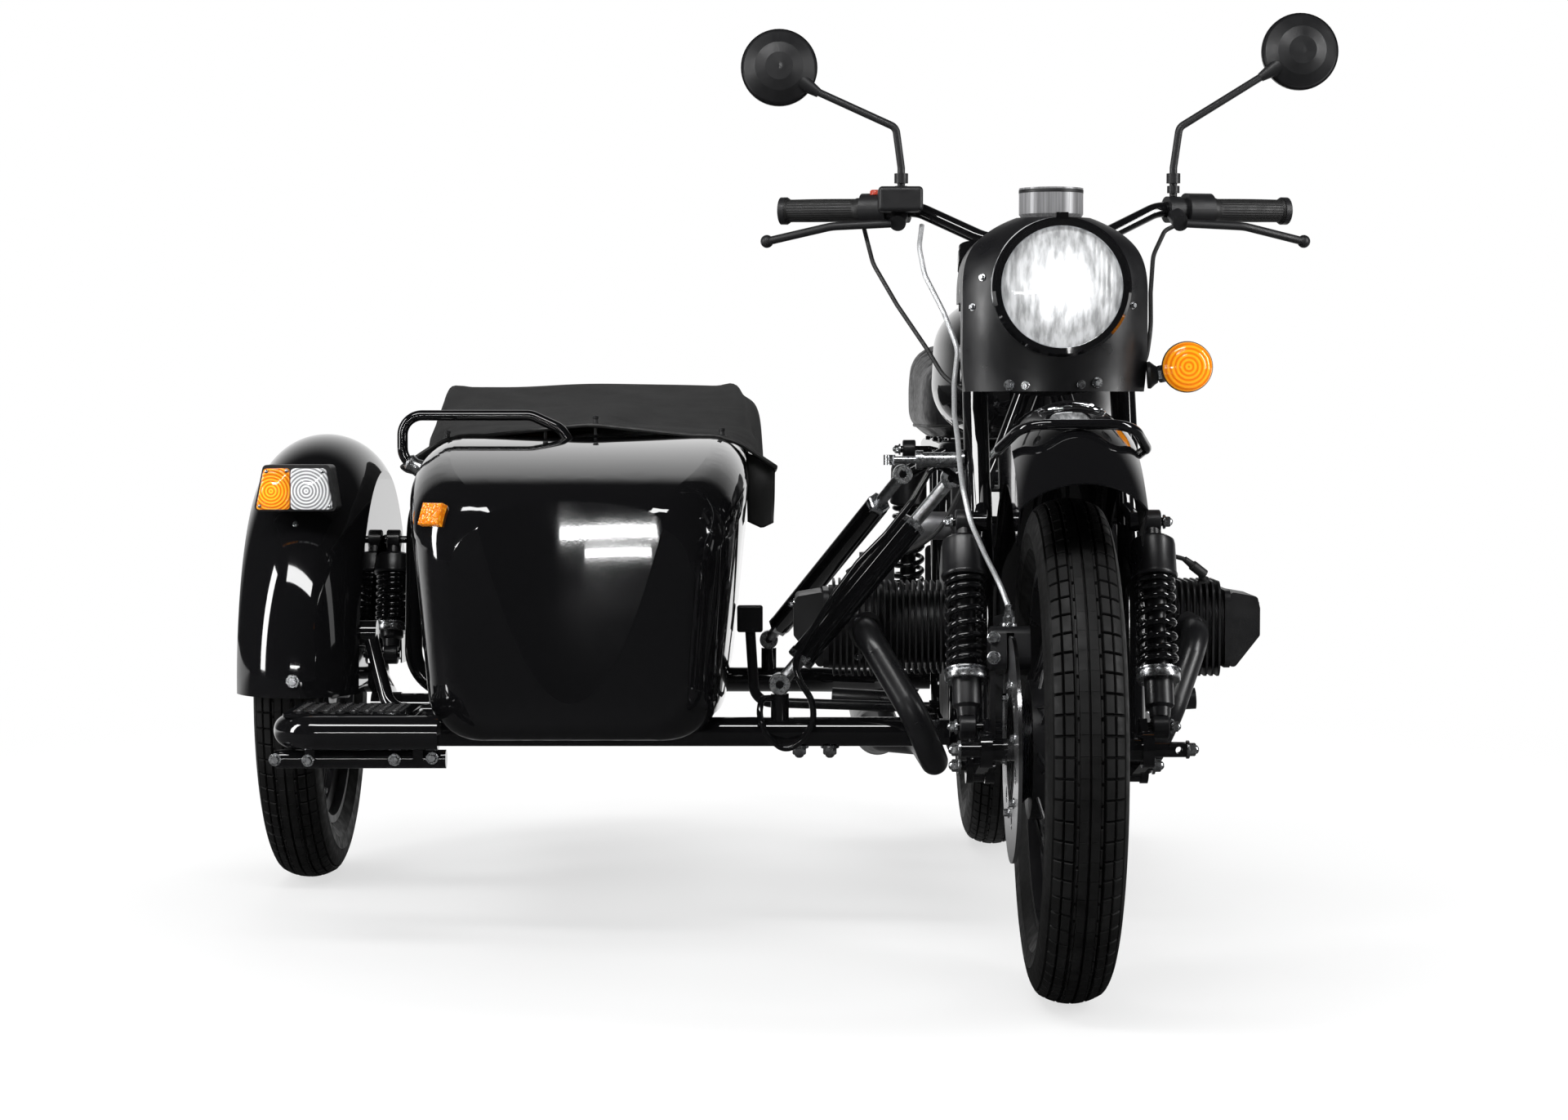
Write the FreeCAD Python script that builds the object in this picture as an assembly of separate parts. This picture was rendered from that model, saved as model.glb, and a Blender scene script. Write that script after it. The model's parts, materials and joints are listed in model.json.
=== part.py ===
import FreeCAD, Part
import math
import os

# Flat-twin motorcycle with a passenger sidecar on its right.
# Lengths are in millimetres. The machine is laid out with its front axle at Y 0, its own middle plane at X 0,
# the ground at Z 0, its front towards -Y and its left towards +X. On export everything is moved by ORIGIN_X
# and ORIGIN_Y, so that the frame's origin is on the ground under the middle of the whole vehicle.

V = FreeCAD.Vector

# General clearances
FIT = 0.06            # a shaft in its own bore, on the radius
SEAT = 0.3            # pieces that rest on each other on a curved face
RUNNING = 6.0         # what turns or swings past a fixed piece

# Wheels, all three alike
TYRE_RADIUS = 326.0
TYRE_WIDTH = 100.0
TREAD_WIDTH = 80.0
TYRE_WALL = 9.0
RIM_RADIUS = 238.0
RIM_WIDTH = 70.0
RIM_WALL = 3.0
RIM_WELL_DEPTH = 22.0
HUB_WIDTH = 120.0
HUB_BARREL_RADIUS = 30.0
DRUM_RADIUS = 90.0
DRUM_WIDTH = 38.0
FLANGE_RADIUS = 58.0
SPOKE_RADIUS = 2.2
SPOKES_A_SIDE = 18
AXLE_RADIUS = 10.0
WHEELBASE = 1495.0
TRACK = 1140.0
SIDE_WHEEL_Y = 1100.0
SIDE_AXLE_END = 18.0
BEAD_DROP = 9.0
BEAD_RISE = 2.0
WIDEST_DROP = 8.0
TREAD_CROWN = 12.0
CARCASS_SHOULDER = 4.0
CARCASS_CROWN = 5.0
WELL_HALF = 14.0
WELL_EDGE = 20.0
SEAT_FALL = 2.0
DRUM_INSET = 10.0
HUB_NECK = (16.0, 46.0)
HUB_NECK_END = 44.0
FLANGE_X = 24.0
FLANGE_THICKNESS = 8.0
SPOKE_DRUM_X = -42.0
SPOKE_FLANGE_X = 28.0
SPOKE_DRUM_INSET = 5.0
SPOKE_FLANGE_INSET = 4.0
SPOKE_TURN_DEG = 24.0
SPOKE_STAGGER = 2.6
NIPPLE_X = 6.0
SPACER_RADIUS = 15.0
SPACER_PLAY = 0.5

# Brake disc and calliper on the right of the front wheel
DISC_RADIUS = 147.0
DISC_THICKNESS = 5.0
DISC_GAP = 8.0
CARRIER_BORE = 34.0
CARRIER_FOOT = 62.0
CARRIER_FOOT_INNER = 54.0
CARRIER_DISH = 78.0
CARRIER_EDGE = 112.0
CARRIER_WALL = 6.0
DISC_WINDOWS = 6
DISC_WINDOW_RADIUS = 11.0
DISC_WINDOW_PITCH = 94.0
CALLIPER_Y = 62.0
CALLIPER_Z = 452.0
CALLIPER_HALF = 26.0
CALLIPER_SLOT = 5.0
CALLIPER_ARM = 7.0

# Steering and fork, in the tilted steering frame: v is square to the axis, w runs up it
RAKE_DEG = 27.0
STEER_GROUND_Y = -70.0
HEAD_LOW_W = 915.0
HEAD_TOP_W = 1062.0
HEAD_RADIUS = 27.0
STEM_RADIUS = 17.0
LEG_X = 102.0
LEG_RADIUS = 17.5
LEG_V = -33.0
CLAMP_THICKNESS = 18.0
BEND_Z = 545.0
PIVOT_Y = 152.0
PIVOT_Z = 288.0
LINK_THICKNESS = 15.0
LINK_X = 104.5
SHOCK_X = 126.0
SHOCK_LOW = (38.0, 352.0)
SHOCK_TOP = (146.0, 616.0)
LEG_TOP_RISE = 38.0
LEG_BEND = 90.0
LEG_FOOT_DROP = 4.0
SHOCK_LUG_OUT = 54.0
SHOCK_LUG_UP = 16.0
SHOCK_LUG_RADIUS = 9.0
SHOCK_BOSS_RADIUS = 13.0
SHOCK_PIN = 6.0
SHOCK_PIN_END = 16.0
PIVOT_BOSS_RADIUS = 24.0
PIVOT_BOSS_INNER = 18.0
PIVOT_BOSS_OUTER = 20.0
PIVOT_PIN_RADIUS = 7.0
PIVOT_SLOT_RADIUS = 32.0
CLAMP_EDGE = 19.0
CLAMP_REAR = 22.0
CLAMP_FRONT = 24.0
CLAMP_NOSE = 30.0
CLAMP_NOSE_HALF = 40.0
CLAMP_HEEL_HALF = 18.0
CLAMP_HEEL = 20.0
CLAMP_CORNER = 14.0
STEM_NUT_RADIUS = 21.0
STEM_NUT_HEIGHT = 8.0
RISER_X = 42.0
RISER_V = 12.0
RISER_RADIUS = 13.0
BAR_CLAMP_HALF = 12.0
BAR_CLAMP_WALL = 9.0
SHROUD_PEGS_W = (930.0, 1010.0)
SHROUD_PEG_RADIUS = 12.0
LINK_EYE_RADIUS = 22.0
LINK_AXLE_EYE_RADIUS = 24.0
LINK_LUG = 10.0
LINK_TAIL = 52.0
LOOP_REACH = 215.0
LOOP_RADIUS = 13.0
LOOP_BEND = 80.0

# Front mudguard, an arc about its own centre
FRONT_GUARD_Y = 20.0
FRONT_GUARD_Z = 372.0
FRONT_GUARD_RADIUS = 404.0
FRONT_GUARD_HALF = 79.0
FRONT_GUARD_SKIRT = 62.0
FRONT_GUARD_FROM = -41.0
FRONT_GUARD_TO = 74.0
GUARD_SHEET = 2.5
HOOP_RADIUS = 6.5
FRONT_GUARD_CROWN = 44.0
GUARD_PADS_W = (668.0, 722.0)
GUARD_PAD_HALF = 14.0
GUARD_PAD_BITE = 1.5
HOOP_TOP_DEG = -24.0
HOOP_LOW_DEG = -12.0
HOOP_DROP = 52.0
HOOP_TOP_INSET = 26.0
HOOP_BEND = 45.0

# Spring units: lengths along the unit as shares of its span, radii as shares of its cover
SPRING_FROM = 0.27
SPRING_TO = 0.76
ROD_SHARE = 0.4
BODY_SHARE = 0.62
COLLAR_SHARE = 0.95
COVER_SHARE = 0.98
COIL_SHARE = 0.8
COIL_WIRE = 3.6
COIL_TURNS = 8
SHOCK_EYE_WALL = 6.0
SHOCK_EYE_LENGTH = 22.0
SHOCK_CAN = 29.0
REAR_SHOCK_CAN = 30.0

# Headlamp, its shroud and the gauge
LAMP_Z = 927.0
LAMP_FACE_Y = 92.0
LAMP_RING_RADIUS = 92.0
LAMP_LENS_RADIUS = 80.0
LAMP_DEPTH = 150.0
SHROUD_HALF = 125.0
SHROUD_FOOT_INSET = 0.4
SHROUD_FRONT_Y = 138.0
SHROUD_LOW_Z = 790.0
SHROUD_SIDE_Z = 972.0
SHROUD_TOP_Z = 1026.0
SHROUD_SHEET = 3.0
SHROUD_BACK_Y = 250.0
WIDE = 200.0              # half the width of a cutting tool across the motorcycle
GAUGE_RADIUS = 44.0
GAUGE_Y = 272.0
GAUGE_TOP_Z = 1068.0
GAUGE_BEZEL = 5.0
GAUGE_FACE_DEPTH = 4.0

# Handlebar
BAR_RADIUS = 11.0
BAR_CLAMP_Y = 447.0
BAR_CLAMP_Z = 1006.0
BAR_END = (364.0, 566.0, 1056.0)
GRIP_LENGTH = 118.0
GRIP_RADIUS = 16.0
GRIP_COLLAR = 4.0
BAR_RISER_X = 76.0
BAR_BEND_X = 172.0
BAR_BEND = 55.0
HOUSING_RADIUS = 24.0
HOUSING_LENGTH = 40.0
LEVER_RADIUS = 6.0
LEVER_BALL = 9.5
LEVER_BRACKET = 12.0
MIRROR_STEM = 5.5
MIRROR_STEM_BEND = 14.0
MIRROR_RADIUS = 55.0
MIRROR_LEFT = (382.0, 520.0, 1284.0)
MIRROR_RIGHT = (373.0, 520.0, 1261.0)

# Tank and seat
TANK_LOW_Z = 726.0
TANK_TOP_Z = 930.0
TANK_HALF = 146.0
TANK_FRONT_Y = 484.0
TANK_REAR_Y = 930.0
SEAT_HALF = 156.0
SEAT_LOW_Z = 720.0
SEAT_TOP_Z = 850.0
SEAT_FRONT_Y = 936.0
SEAT_REAR_Y = 1560.0
TANK_CAP_BACK = 210.0
TANK_CAP_RADIUS = 34.0
TANK_ROWS = (
    # y, half width low down, half width at the top, low z, top z, corner radius
    (TANK_FRONT_Y, 48, 54, 790, 868, 36),
    (TANK_FRONT_Y + 34, 92, 88, 752, 904, 60),
    (TANK_FRONT_Y + 120, 132, 124, TANK_LOW_Z, TANK_TOP_Z - 4, 74),
    (TANK_FRONT_Y + 240, TANK_HALF, 136, TANK_LOW_Z, TANK_TOP_Z, 78),
    (TANK_FRONT_Y + 360, 128, 118, TANK_LOW_Z, TANK_TOP_Z - 22, 66),
    (TANK_REAR_Y, 88, 74, TANK_LOW_Z + 8, TANK_TOP_Z - 76, 44),
)
SEAT_ROWS = (
    # y, half width low down, half width at the top, low z, top z, corner radius
    (SEAT_FRONT_Y, 70, 66, SEAT_LOW_Z + 4, SEAT_TOP_Z - 40, 24),
    (SEAT_FRONT_Y + 90, 140, 132, SEAT_LOW_Z, SEAT_TOP_Z - 8, 34),
    (SEAT_FRONT_Y + 300, SEAT_HALF, 146, SEAT_LOW_Z, SEAT_TOP_Z, 38),
    (SEAT_REAR_Y - 60, SEAT_HALF - 8, 138, SEAT_LOW_Z + 4, SEAT_TOP_Z + 16, 38),
    (SEAT_REAR_Y, SEAT_HALF - 40, 100, SEAT_LOW_Z + 12, SEAT_TOP_Z - 10, 30),
)

# Main frame
FRAME_TUBE = 16.0
BACKBONE_RADIUS = 22.0
TUNNEL_GAP = 22.0
PEG_Y = 945.0
CRADLE_X = 112.0
CRADLE_FRONT_Y = 462.0
CRADLE_Z = 276.0
CRADLE_REAR_Y = 1030.0
RAIL_X = 106.0
RAIL_Z = 704.0
RAIL_REAR_Y = 1624.0
SWING_PIVOT_Y = 1040.0
SWING_PIVOT_Z = 352.0
UNDER_RAIL = 14.0          # the backbone's middle line below the seat rails'
BACKBONE_Y = 520.0
FRAME_BEND = 90.0
NECK_X = 58.0
NECK_Y = 420.0
NECK_Z = 690.0
CRADLE_TOP_Z = 560.0
CRADLE_BEND = 70.0
RAIL_FRONT_X = 20.0
RAIL_FRONT_Y = 880.0
RAIL_JOIN_Y = 960.0
RAIL_BEND = 60.0
REAR_SHOCK_TOP_Y = 1330.0
FRONT_TIE_Z = 304.0
ENGINE_FEET_Y = (530.0, 690.0)
ENGINE_FOOT = 16.0
SEAT_POSTS = (90.0, 300.0)
SEAT_TAIL = 60.0
TANK_PADS_Y = (600.0, 800.0)
TANK_PAD_LENGTH = 24.0
SIDE_LUG_Y = 1044.0
SIDE_LUG_Z = 336.0
SIDE_LUG_X = -128.5
PEG_X = 134.0
PEG_Z = 284.0
PEDAL_Y = 890.0
PEDAL_Z = 297.0
PEDAL_X = -137.0
PEDAL_SEAT_X = -136.7
PEG_TIP_X = 290.0
PEDAL_PAD = (-439.0, -399.0, 818.0, 834.0, 420.0, 462.0)
KICK_X = 112.0
KICK_Y = 880.0
KICK_Z = 420.0
BRAKE_X = 122.0
BRAKE_Y = 900.0
BRAKE_Z = 332.0
PEDAL_TIP_X = 214.0

# Engine
ENGINE_X = -10.0
CYLINDER_Y = 608.0
CYLINDER_Z = 444.0
CASE_HALF = 118.0
CASE_LOW_Z = 305.0
FIN_PITCH = 9.2
FIN_THICKNESS = 3.0
FIN_SIZE = 134.0
BARREL_FINS = 9
HEAD_FINS = 9
BARREL_RADIUS = 54.0
ROCKER_DEPTH = 52.0
ROCKER_HALF_HEIGHT = 57.0
ROCKER_HALF_WIDTH = 68.0
FIN_CORNER = 24.0
HEAD_FIN_EXTRA = 3.0
FIRST_FIN = 6.0
FACE_Z = 430.0             # the height of the timing cover's middle
SUMP_LOW_Z = 252.0
SUMP_FINS = 8
SUMP_FIN_PITCH = 24.0
SUMP_FIN_THICKNESS = 4.0
INLET_X = 221.0
INLET_UP = 28.0
PORT_REACH = 88.0
DUCT_RADIUS = 22.0
DUCT_BACK = 262.0
DUCT_UP = 140.0
DUCT_END_X = 104.5
AIR_BOX_HALF = 104.0
AIR_BOX_FRONT_Y = 846.0
AIR_BOX_REAR_Y = 890.0
AIR_BOX_LOW_Z = 552.0
GEARBOX_ROWS = (
    # y, half width, low z, top z
    (736.0, 108.0, 300.0, 548.0),
    (820.0, 98.0, 306.0, 530.0),
    (960.0, 78.0, 318.0, 500.0),
    (1000.0, 62.0, 330.0, 470.0),
)
ENGINE_HALF = 342.0
PORT_X = 237.0
PIPE_RADIUS = 20.0
MUFFLER_RADIUS = 38.0
MUFFLER_X = 212.0
MUFFLER_Z = 236.0
HEADER_Z = 262.0
HEADER_X = 150.0
HEADER_BEND = 62.0
MUFFLER_Y = 1030.0
MUFFLER_LENGTH = 670.0
MUFFLER_TAIL = 50.0
MUFFLER_CONE = 70.0
MUFFLER_BORE = 20.0
REAR_SHOCK_X = 152.0
REAR_SHOCK_LOW = (-106.0, 38.0)

# Rear mudguard and lamps
REAR_GUARD_RADIUS = 364.0
REAR_GUARD_HALF = 76.0
REAR_GUARD_SKIRT = 60.0
REAR_GUARD_FROM = -62.0
REAR_GUARD_TO = 98.0
REAR_GUARD_Z = 346.0
REAR_GUARD_CROWN = 40.0
SWING_ARM_X = 98.0
SWING_ARM_RADIUS = 17.0
SWING_TIE_RADIUS = 20.0
DRIVE_X = -115.3
DRIVE_PROFILE = ((0.0, 14.0), (0.0, 34.0), (-15.7, 62.0), (-34.7, 84.0), (-52.7, 84.0), (-66.7, 50.0),
                 (-66.7, 0.0), (-14.7, 0.0), (-14.7, 14.0))
TAIL_LAMP_DEG = 58.0

# Number plate bracket
PLATE_OUT = 66.0
PLATE_HALF = 100.0
PLATE_HEIGHT = 150.0
PLATE_SHEET = 2.5
PLATE_HOLE_X = 80.0
PLATE_HOLE_Z = 60.0
PLATE_HOLE_RADIUS = 3.3

# Sidecar chassis
CHASSIS_TUBE = 21.0
CHASSIS_Z = 303.0
CHASSIS_INNER_X = -500.0
CHASSIS_OUTER_X = -852.0
CHASSIS_FRONT_Y = 452.0
CHASSIS_REAR_Y = 1330.0
CHASSIS_TAIL_Y = 1760.0
STRUT_RADIUS = 19.0
STRUT_EYE = 14.0
STRUT_ROD = 9.0
STRUT_LOW = 52.0
STRUT_HIGH = 92.0
STRUTS = (((-372.0, CHASSIS_FRONT_Y, 372.0), (-124.0, 490.0, 667.0)),
          ((-392.0, CHASSIS_REAR_Y, 372.0), (-177.0, 960.0, 663.0)))
ARM_PIVOT_X = -958.0
ARM_PIVOT_Y = 800.0
TOWER_X = -958.0
SIDE_SHOCK_X = -1006.0
SIDE_SHOCK_TOP_Z = 553.0
TOWER_RADIUS = 14.0
TOWER_HALF = 110.0
TOWER_FOOT = 150.0
TOWER_RISE = 51.0
CHASSIS_BEND = 110.0
LUG_END_X = -178.0
POST_RADIUS = 15.0
GUARD_STAYS_Y = ((735.0, 810.0), (1440.0, 1390.0))
GUARD_STAY_Z = 420.0
STUB_X = -1018.0
STUB_RADIUS = 24.0

# Sidecar body
TUB_X = -665.0
TUB_WALL = 4.0
TUB_FLOOR_Z = 334.0
TUB_LIP_Y = 408.0
COCKPIT_FRONT_Y = 770.0
COCKPIT_REAR_Y = 1400.0
COCKPIT_HALF = 205.0
BOOT_FRONT_Y = 1560.0
BOOT_REAR_Y = 1960.0
BOOT_HALF = 150.0
BULKHEAD_Y = 1450.0
LID_GAP = 5.5
HINGE_Y = 1546.0
HINGE_RISE = 10.0
HINGE_X = 80.0
HINGE_HALF = 16.0
HINGE_PIN = 3.0
HINGE_CHEEK = 6.0
HINGE_CHEEK_GAP = 2.0
HINGE_LEAF = 26.0
COCKPIT_CORNER = 70.0
BOOT_CORNER = 50.0
TUB_REACH = 400.0          # half the width of a cutting tool across the body
TUB_REAR_Y = 2040.0
RAIL_Y = 728.0
GRAB_RAIL_RADIUS = 8.0
GRAB_RAIL_BEND = 30.0
GRAB_RAIL_ROUTE = ((-905, 668), (-946, 690), (-946, 757), (-750, 757), (-706, 737), (-688, 712))

# Sidecar mudguard
SIDE_GUARD_RADIUS = 386.0
SIDE_GUARD_Z = 340.0
SIDE_GUARD_X = -1115.0
SIDE_GUARD_HALF = 94.0
SIDE_GUARD_SKIRT = 105.0
SIDE_GUARD_FROM = -92.0
SIDE_GUARD_TO = 92.0
SIDE_GUARD_CROWN = 60.0
SIDE_LAMP_OUTLINE = ((-65, 610), (63, 610), (52, 681), (-50, 681))
BUMPER_RADIUS = 24.0
BUMPER_Y = 268.0
BUMPER_Z = 320.0
BUMPER_INNER_X = -843.0
BUMPER_LEG_X = -894.0
BUMPER_LEG_RADIUS = 20.0
BUMPER_OUTER_X = -1053.0
BUMPER_BEND = 46.0
LOWER_BAR_RADIUS = 13.0
LOWER_BAR_DROP = 39.0
LOWER_BAR_BACK = 26.0
STEP_RISE = 21.0
STEP_PLATE = 5.0

# Cables, hose and damper
HOSE_RADIUS = 3.6
CABLE_RADIUS = 3.2
CONDUIT_RADIUS = 4.6
DAMPER_Z = 697.0

# Where the exported origin lies in the machine's own layout: under the middle of its whole extent
ORIGIN_X = (MIRROR_LEFT[0] + MIRROR_RADIUS - TRACK - HUB_WIDTH / 2 - SIDE_AXLE_END) / 2
ORIGIN_Y = (TUB_REAR_Y - TYRE_RADIUS) / 2

parts = {}


def unit(v):
    """v at length one."""
    w = V(v)
    w.normalize()
    return w


def box(x0, x1, y0, y1, z0, z1):
    """A block between two corners."""
    return Part.makeBox(x1 - x0, y1 - y0, z1 - z0, V(x0, y0, z0))


def softened(shape, radius):
    """The shape with all its edges rounded."""
    return shape.makeFillet(radius, shape.Edges)


def bar(p, q, radius):
    """A round bar from point p to point q."""
    p, q = V(*p), V(*q)
    return Part.makeCylinder(radius, (q - p).Length, p, q - p)


def cone(p, q, radius_p, radius_q):
    """A tapered round bar from p to q."""
    p, q = V(*p), V(*q)
    return Part.makeCone(radius_p, radius_q, (q - p).Length, p, q - p)


def rounded_path(points, bend):
    """A wire of straight runs whose corners are arcs of radius bend, or what the runs leave room for."""
    pts = [V(*p) for p in points]
    edges, start = [], pts[0]
    for before, corner, after in zip(pts, pts[1:], pts[2:]):
        back, ahead = unit(before - corner), unit(after - corner)
        half = back.getAngle(ahead) / 2
        room = 0.45 * min((before - corner).Length, (after - corner).Length)
        leg = min(bend / math.tan(half), room)
        radius = leg * math.tan(half)
        bisector = unit(back + ahead)
        middle = corner + bisector * (radius / math.sin(half) - radius)
        edges.append(Part.LineSegment(start, corner + back * leg).toShape())
        edges.append(Part.Arc(corner + back * leg, middle, corner + ahead * leg).toShape())
        start = corner + ahead * leg
    edges.append(Part.LineSegment(start, pts[-1]).toShape())
    return Part.Wire(edges)


def pipe(points, radius, bend=60.0):
    """A bent round bar along points."""
    start, ahead = V(*points[0]), V(*points[1]) - V(*points[0])
    disc = Part.Face(Part.Wire(Part.Circle(start, ahead, radius).toShape()))
    return rounded_path(points, bend).makePipe(disc)


def turned(profile, centre=(0, 0, 0), axis=(1, 0, 0), angle=360.0):
    """A profile of (along the axis, radius) points turned about an axis through centre."""
    along, centre = unit(V(*axis)), V(*centre)
    out = V(0, 0, 1) if abs(along.z) < 0.9 else V(1, 0, 0)
    pts = [centre + along * a + out * r for a, r in profile]
    return Part.Face(Part.makePolygon(pts + [pts[0]])).revolve(centre, along, angle)


def rounded_outline(points, radius):
    """A closed wire through points in one plane, with each corner rounded."""
    pts = [V(*p) for p in points]
    edges, first, last = [], None, None
    for i, corner in enumerate(pts):
        before, after = pts[i - 1], pts[(i + 1) % len(pts)]
        back, ahead = unit(before - corner), unit(after - corner)
        half = back.getAngle(ahead) / 2
        leg = min(radius / math.tan(half), 0.47 * min((before - corner).Length, (after - corner).Length))
        arc_radius = leg * math.tan(half)
        start, end = corner + back * leg, corner + ahead * leg
        middle = corner + unit(back + ahead) * (arc_radius / math.sin(half) - arc_radius)
        if last is None:
            first = start
        else:
            edges.append(Part.LineSegment(last, start).toShape())
        edges.append(Part.Arc(start, middle, end).toShape())
        last = end
    edges.append(Part.LineSegment(last, first).toShape())
    return Part.Wire(edges)


def plate(points, radius, push):
    """A flat plate with rounded corners, pushed out by the vector push."""
    return Part.Face(rounded_outline(points, radius)).extrude(V(*push))


def loft(sections):
    """A smooth solid through closed wires."""
    return Part.makeLoft(sections, True, False, False, 3)


def upright_section(y, middle_x, half_low, half_top, z0, z1, radius):
    """A rounded outline across the machine at y, wider or narrower at its top."""
    return rounded_outline(
        [(middle_x - half_low, y, z0), (middle_x + half_low, y, z0),
         (middle_x + half_top, y, z1), (middle_x - half_top, y, z1)], radius)


def join(shapes):
    """The shapes as one solid."""
    return shapes[0].fuse(shapes[1:]).removeSplitter()


def top_of(shape, x, y):
    """The height at which a plumb line leaves the shape."""
    plumb = Part.LineSegment(V(x, y, -100), V(x, y, 3000)).toShape()
    return shape.common(plumb).BoundBox.ZMax


def largest(shape):
    """The largest solid that a cut left."""
    return sorted(shape.Solids, key=lambda solid: solid.Volume)[-1]


def mirrored(shape):
    """The same shape on the other side of the motorcycle."""
    return shape.mirror(V(0, 0, 0), V(1, 0, 0))


def keep(name, *shapes):
    """Puts solids under a node's name."""
    parts.setdefault(name, []).extend(shapes)


# Steering frame
TILT = FreeCAD.Rotation(V(1, 0, 0), -RAKE_DEG)
STEER_GROUND = V(0, STEER_GROUND_Y, 0)


def steer_point(x, v, w):
    """A point of the tilted steering frame, as a tuple in the machine's layout."""
    p = STEER_GROUND + TILT.multVec(V(x, v, w))
    return (p.x, p.y, p.z)


def steered(shape):
    """Tilts a shape that was made in the steering frame."""
    moved = shape.copy()
    moved.Placement = FreeCAD.Placement(STEER_GROUND, TILT).multiply(moved.Placement)
    return moved


# Wheels
def tyre():
    """A carcass with a flat tread and round walls, open towards the rim."""
    half, tread, bead = TYRE_WIDTH / 2, TREAD_WIDTH / 2, RIM_WIDTH / 2 - RIM_WALL - SEAT
    low, edge = RIM_RADIUS - BEAD_DROP + SEAT, RIM_RADIUS + BEAD_RISE
    widest = (TYRE_RADIUS + RIM_RADIUS) / 2 - WIDEST_DROP
    shoulder = TYRE_RADIUS - TREAD_CROWN

    def arc(a, b, c):
        return Part.Arc(*[V(x, 0, r) for x, r in (a, b, c)]).toShape()

    def line(a, b):
        return Part.LineSegment(*[V(x, 0, r) for x, r in (a, b)]).toShape()

    t = TYRE_WALL
    inner, crown = tread - CARCASS_SHOULDER, TYRE_RADIUS - t - CARCASS_CROWN
    edges = [
        line((-bead, low), (-bead, edge)),
        arc((-bead, edge), (-half, widest), (-tread, shoulder)),
        arc((-tread, shoulder), (0, TYRE_RADIUS), (tread, shoulder)),
        arc((tread, shoulder), (half, widest), (bead, edge)),
        line((bead, edge), (bead, low)),
        line((bead, low), (bead - t, low)),
        arc((bead - t, low), (half - t, widest), (inner, shoulder - t)),
        arc((inner, shoulder - t), (0, crown), (-inner, shoulder - t)),
        arc((-inner, shoulder - t), (t - half, widest), (t - bead, low)),
        line((t - bead, low), (-bead, low)),
    ]
    return Part.Face(Part.Wire(edges)).revolve(V(0, 0, 0), V(1, 0, 0), 360)


def rim():
    """A rolled rim with a flange each side and a well in the middle."""
    half, t = RIM_WIDTH / 2, RIM_WALL
    seat, well = RIM_RADIUS - BEAD_DROP, RIM_RADIUS - RIM_WELL_DEPTH
    outer = [(-half, RIM_RADIUS), (t - half, RIM_RADIUS), (t - half, seat), (-WELL_EDGE, seat - SEAT_FALL),
             (-WELL_HALF, well)]
    inner = [(-WELL_HALF, well - t), (-WELL_EDGE, seat - SEAT_FALL - t), (-half, seat - t)]

    def other_side(row):
        return [(-x, r) for x, r in reversed(row)]

    return turned(outer + other_side(outer) + other_side(inner) + inner)


def hub():
    """A hub with a brake drum on its right and a spoke flange on its left."""
    half = HUB_WIDTH / 2
    bore = AXLE_RADIUS + FIT
    drum = half - DRUM_INSET
    flange_end = FLANGE_X + FLANGE_THICKNESS
    return turned([
        (-half, bore), (-half, HUB_BARREL_RADIUS), (-drum, HUB_BARREL_RADIUS), (-drum, DRUM_RADIUS),
        (DRUM_WIDTH - drum, DRUM_RADIUS), HUB_NECK, (FLANGE_X, HUB_NECK_END), (FLANGE_X, FLANGE_RADIUS),
        (flange_end, FLANGE_RADIUS), (flange_end, HUB_BARREL_RADIUS), (half, HUB_BARREL_RADIUS),
        (half, bore)])


def spokes():
    """Two rows of crossed spokes, as six-sided rods from the hub's flanges to the rim's well."""
    made = []
    reach = RIM_RADIUS - RIM_WELL_DEPTH - 1
    rows = ((-1, SPOKE_DRUM_X, DRUM_RADIUS - SPOKE_DRUM_INSET),
            (1, SPOKE_FLANGE_X, FLANGE_RADIUS - SPOKE_FLANGE_INSET))
    for side, root_x, root_r in rows:
        for i in range(SPOKES_A_SIDE):
            lean = 1 if i % 2 else -1
            a = math.radians(360.0 / SPOKES_A_SIDE * (i + side / 4))
            b = a + math.radians(SPOKE_TURN_DEG * lean)
            p = V(root_x + SPOKE_STAGGER * lean, root_r * math.sin(a), root_r * math.cos(a))
            q = V(NIPPLE_X * side, reach * math.sin(b), reach * math.cos(b))
            along = unit(q - p)
            across = unit(along.cross(V(1, 0, 0)))
            other = along.cross(across)
            ring = []
            for k in range(7):
                turn = math.radians(60 * k)
                ring.append(p + (across * math.cos(turn) + other * math.sin(turn)) * SPOKE_RADIUS)
            made.append(Part.Face(Part.makePolygon(ring)).extrude(q - p))
    return made


def moved(shape, x, y, z):
    """A copy of shape, shifted."""
    copy = shape.copy()
    copy.translate(V(x, y, z))
    return copy


def wheels():
    """Three interchangeable wheels, each a spoked wheel and a tyre."""
    wheel = join([hub(), rim()] + spokes())
    cover = tyre()
    for name, x, y in (("front", 0, 0), ("rear", 0, WHEELBASE), ("side", -TRACK, SIDE_WHEEL_Y)):
        keep(name + "_wheel", moved(wheel, x, y, TYRE_RADIUS))
        keep(name + "_tyre", moved(cover, x, y, TYRE_RADIUS))


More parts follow.
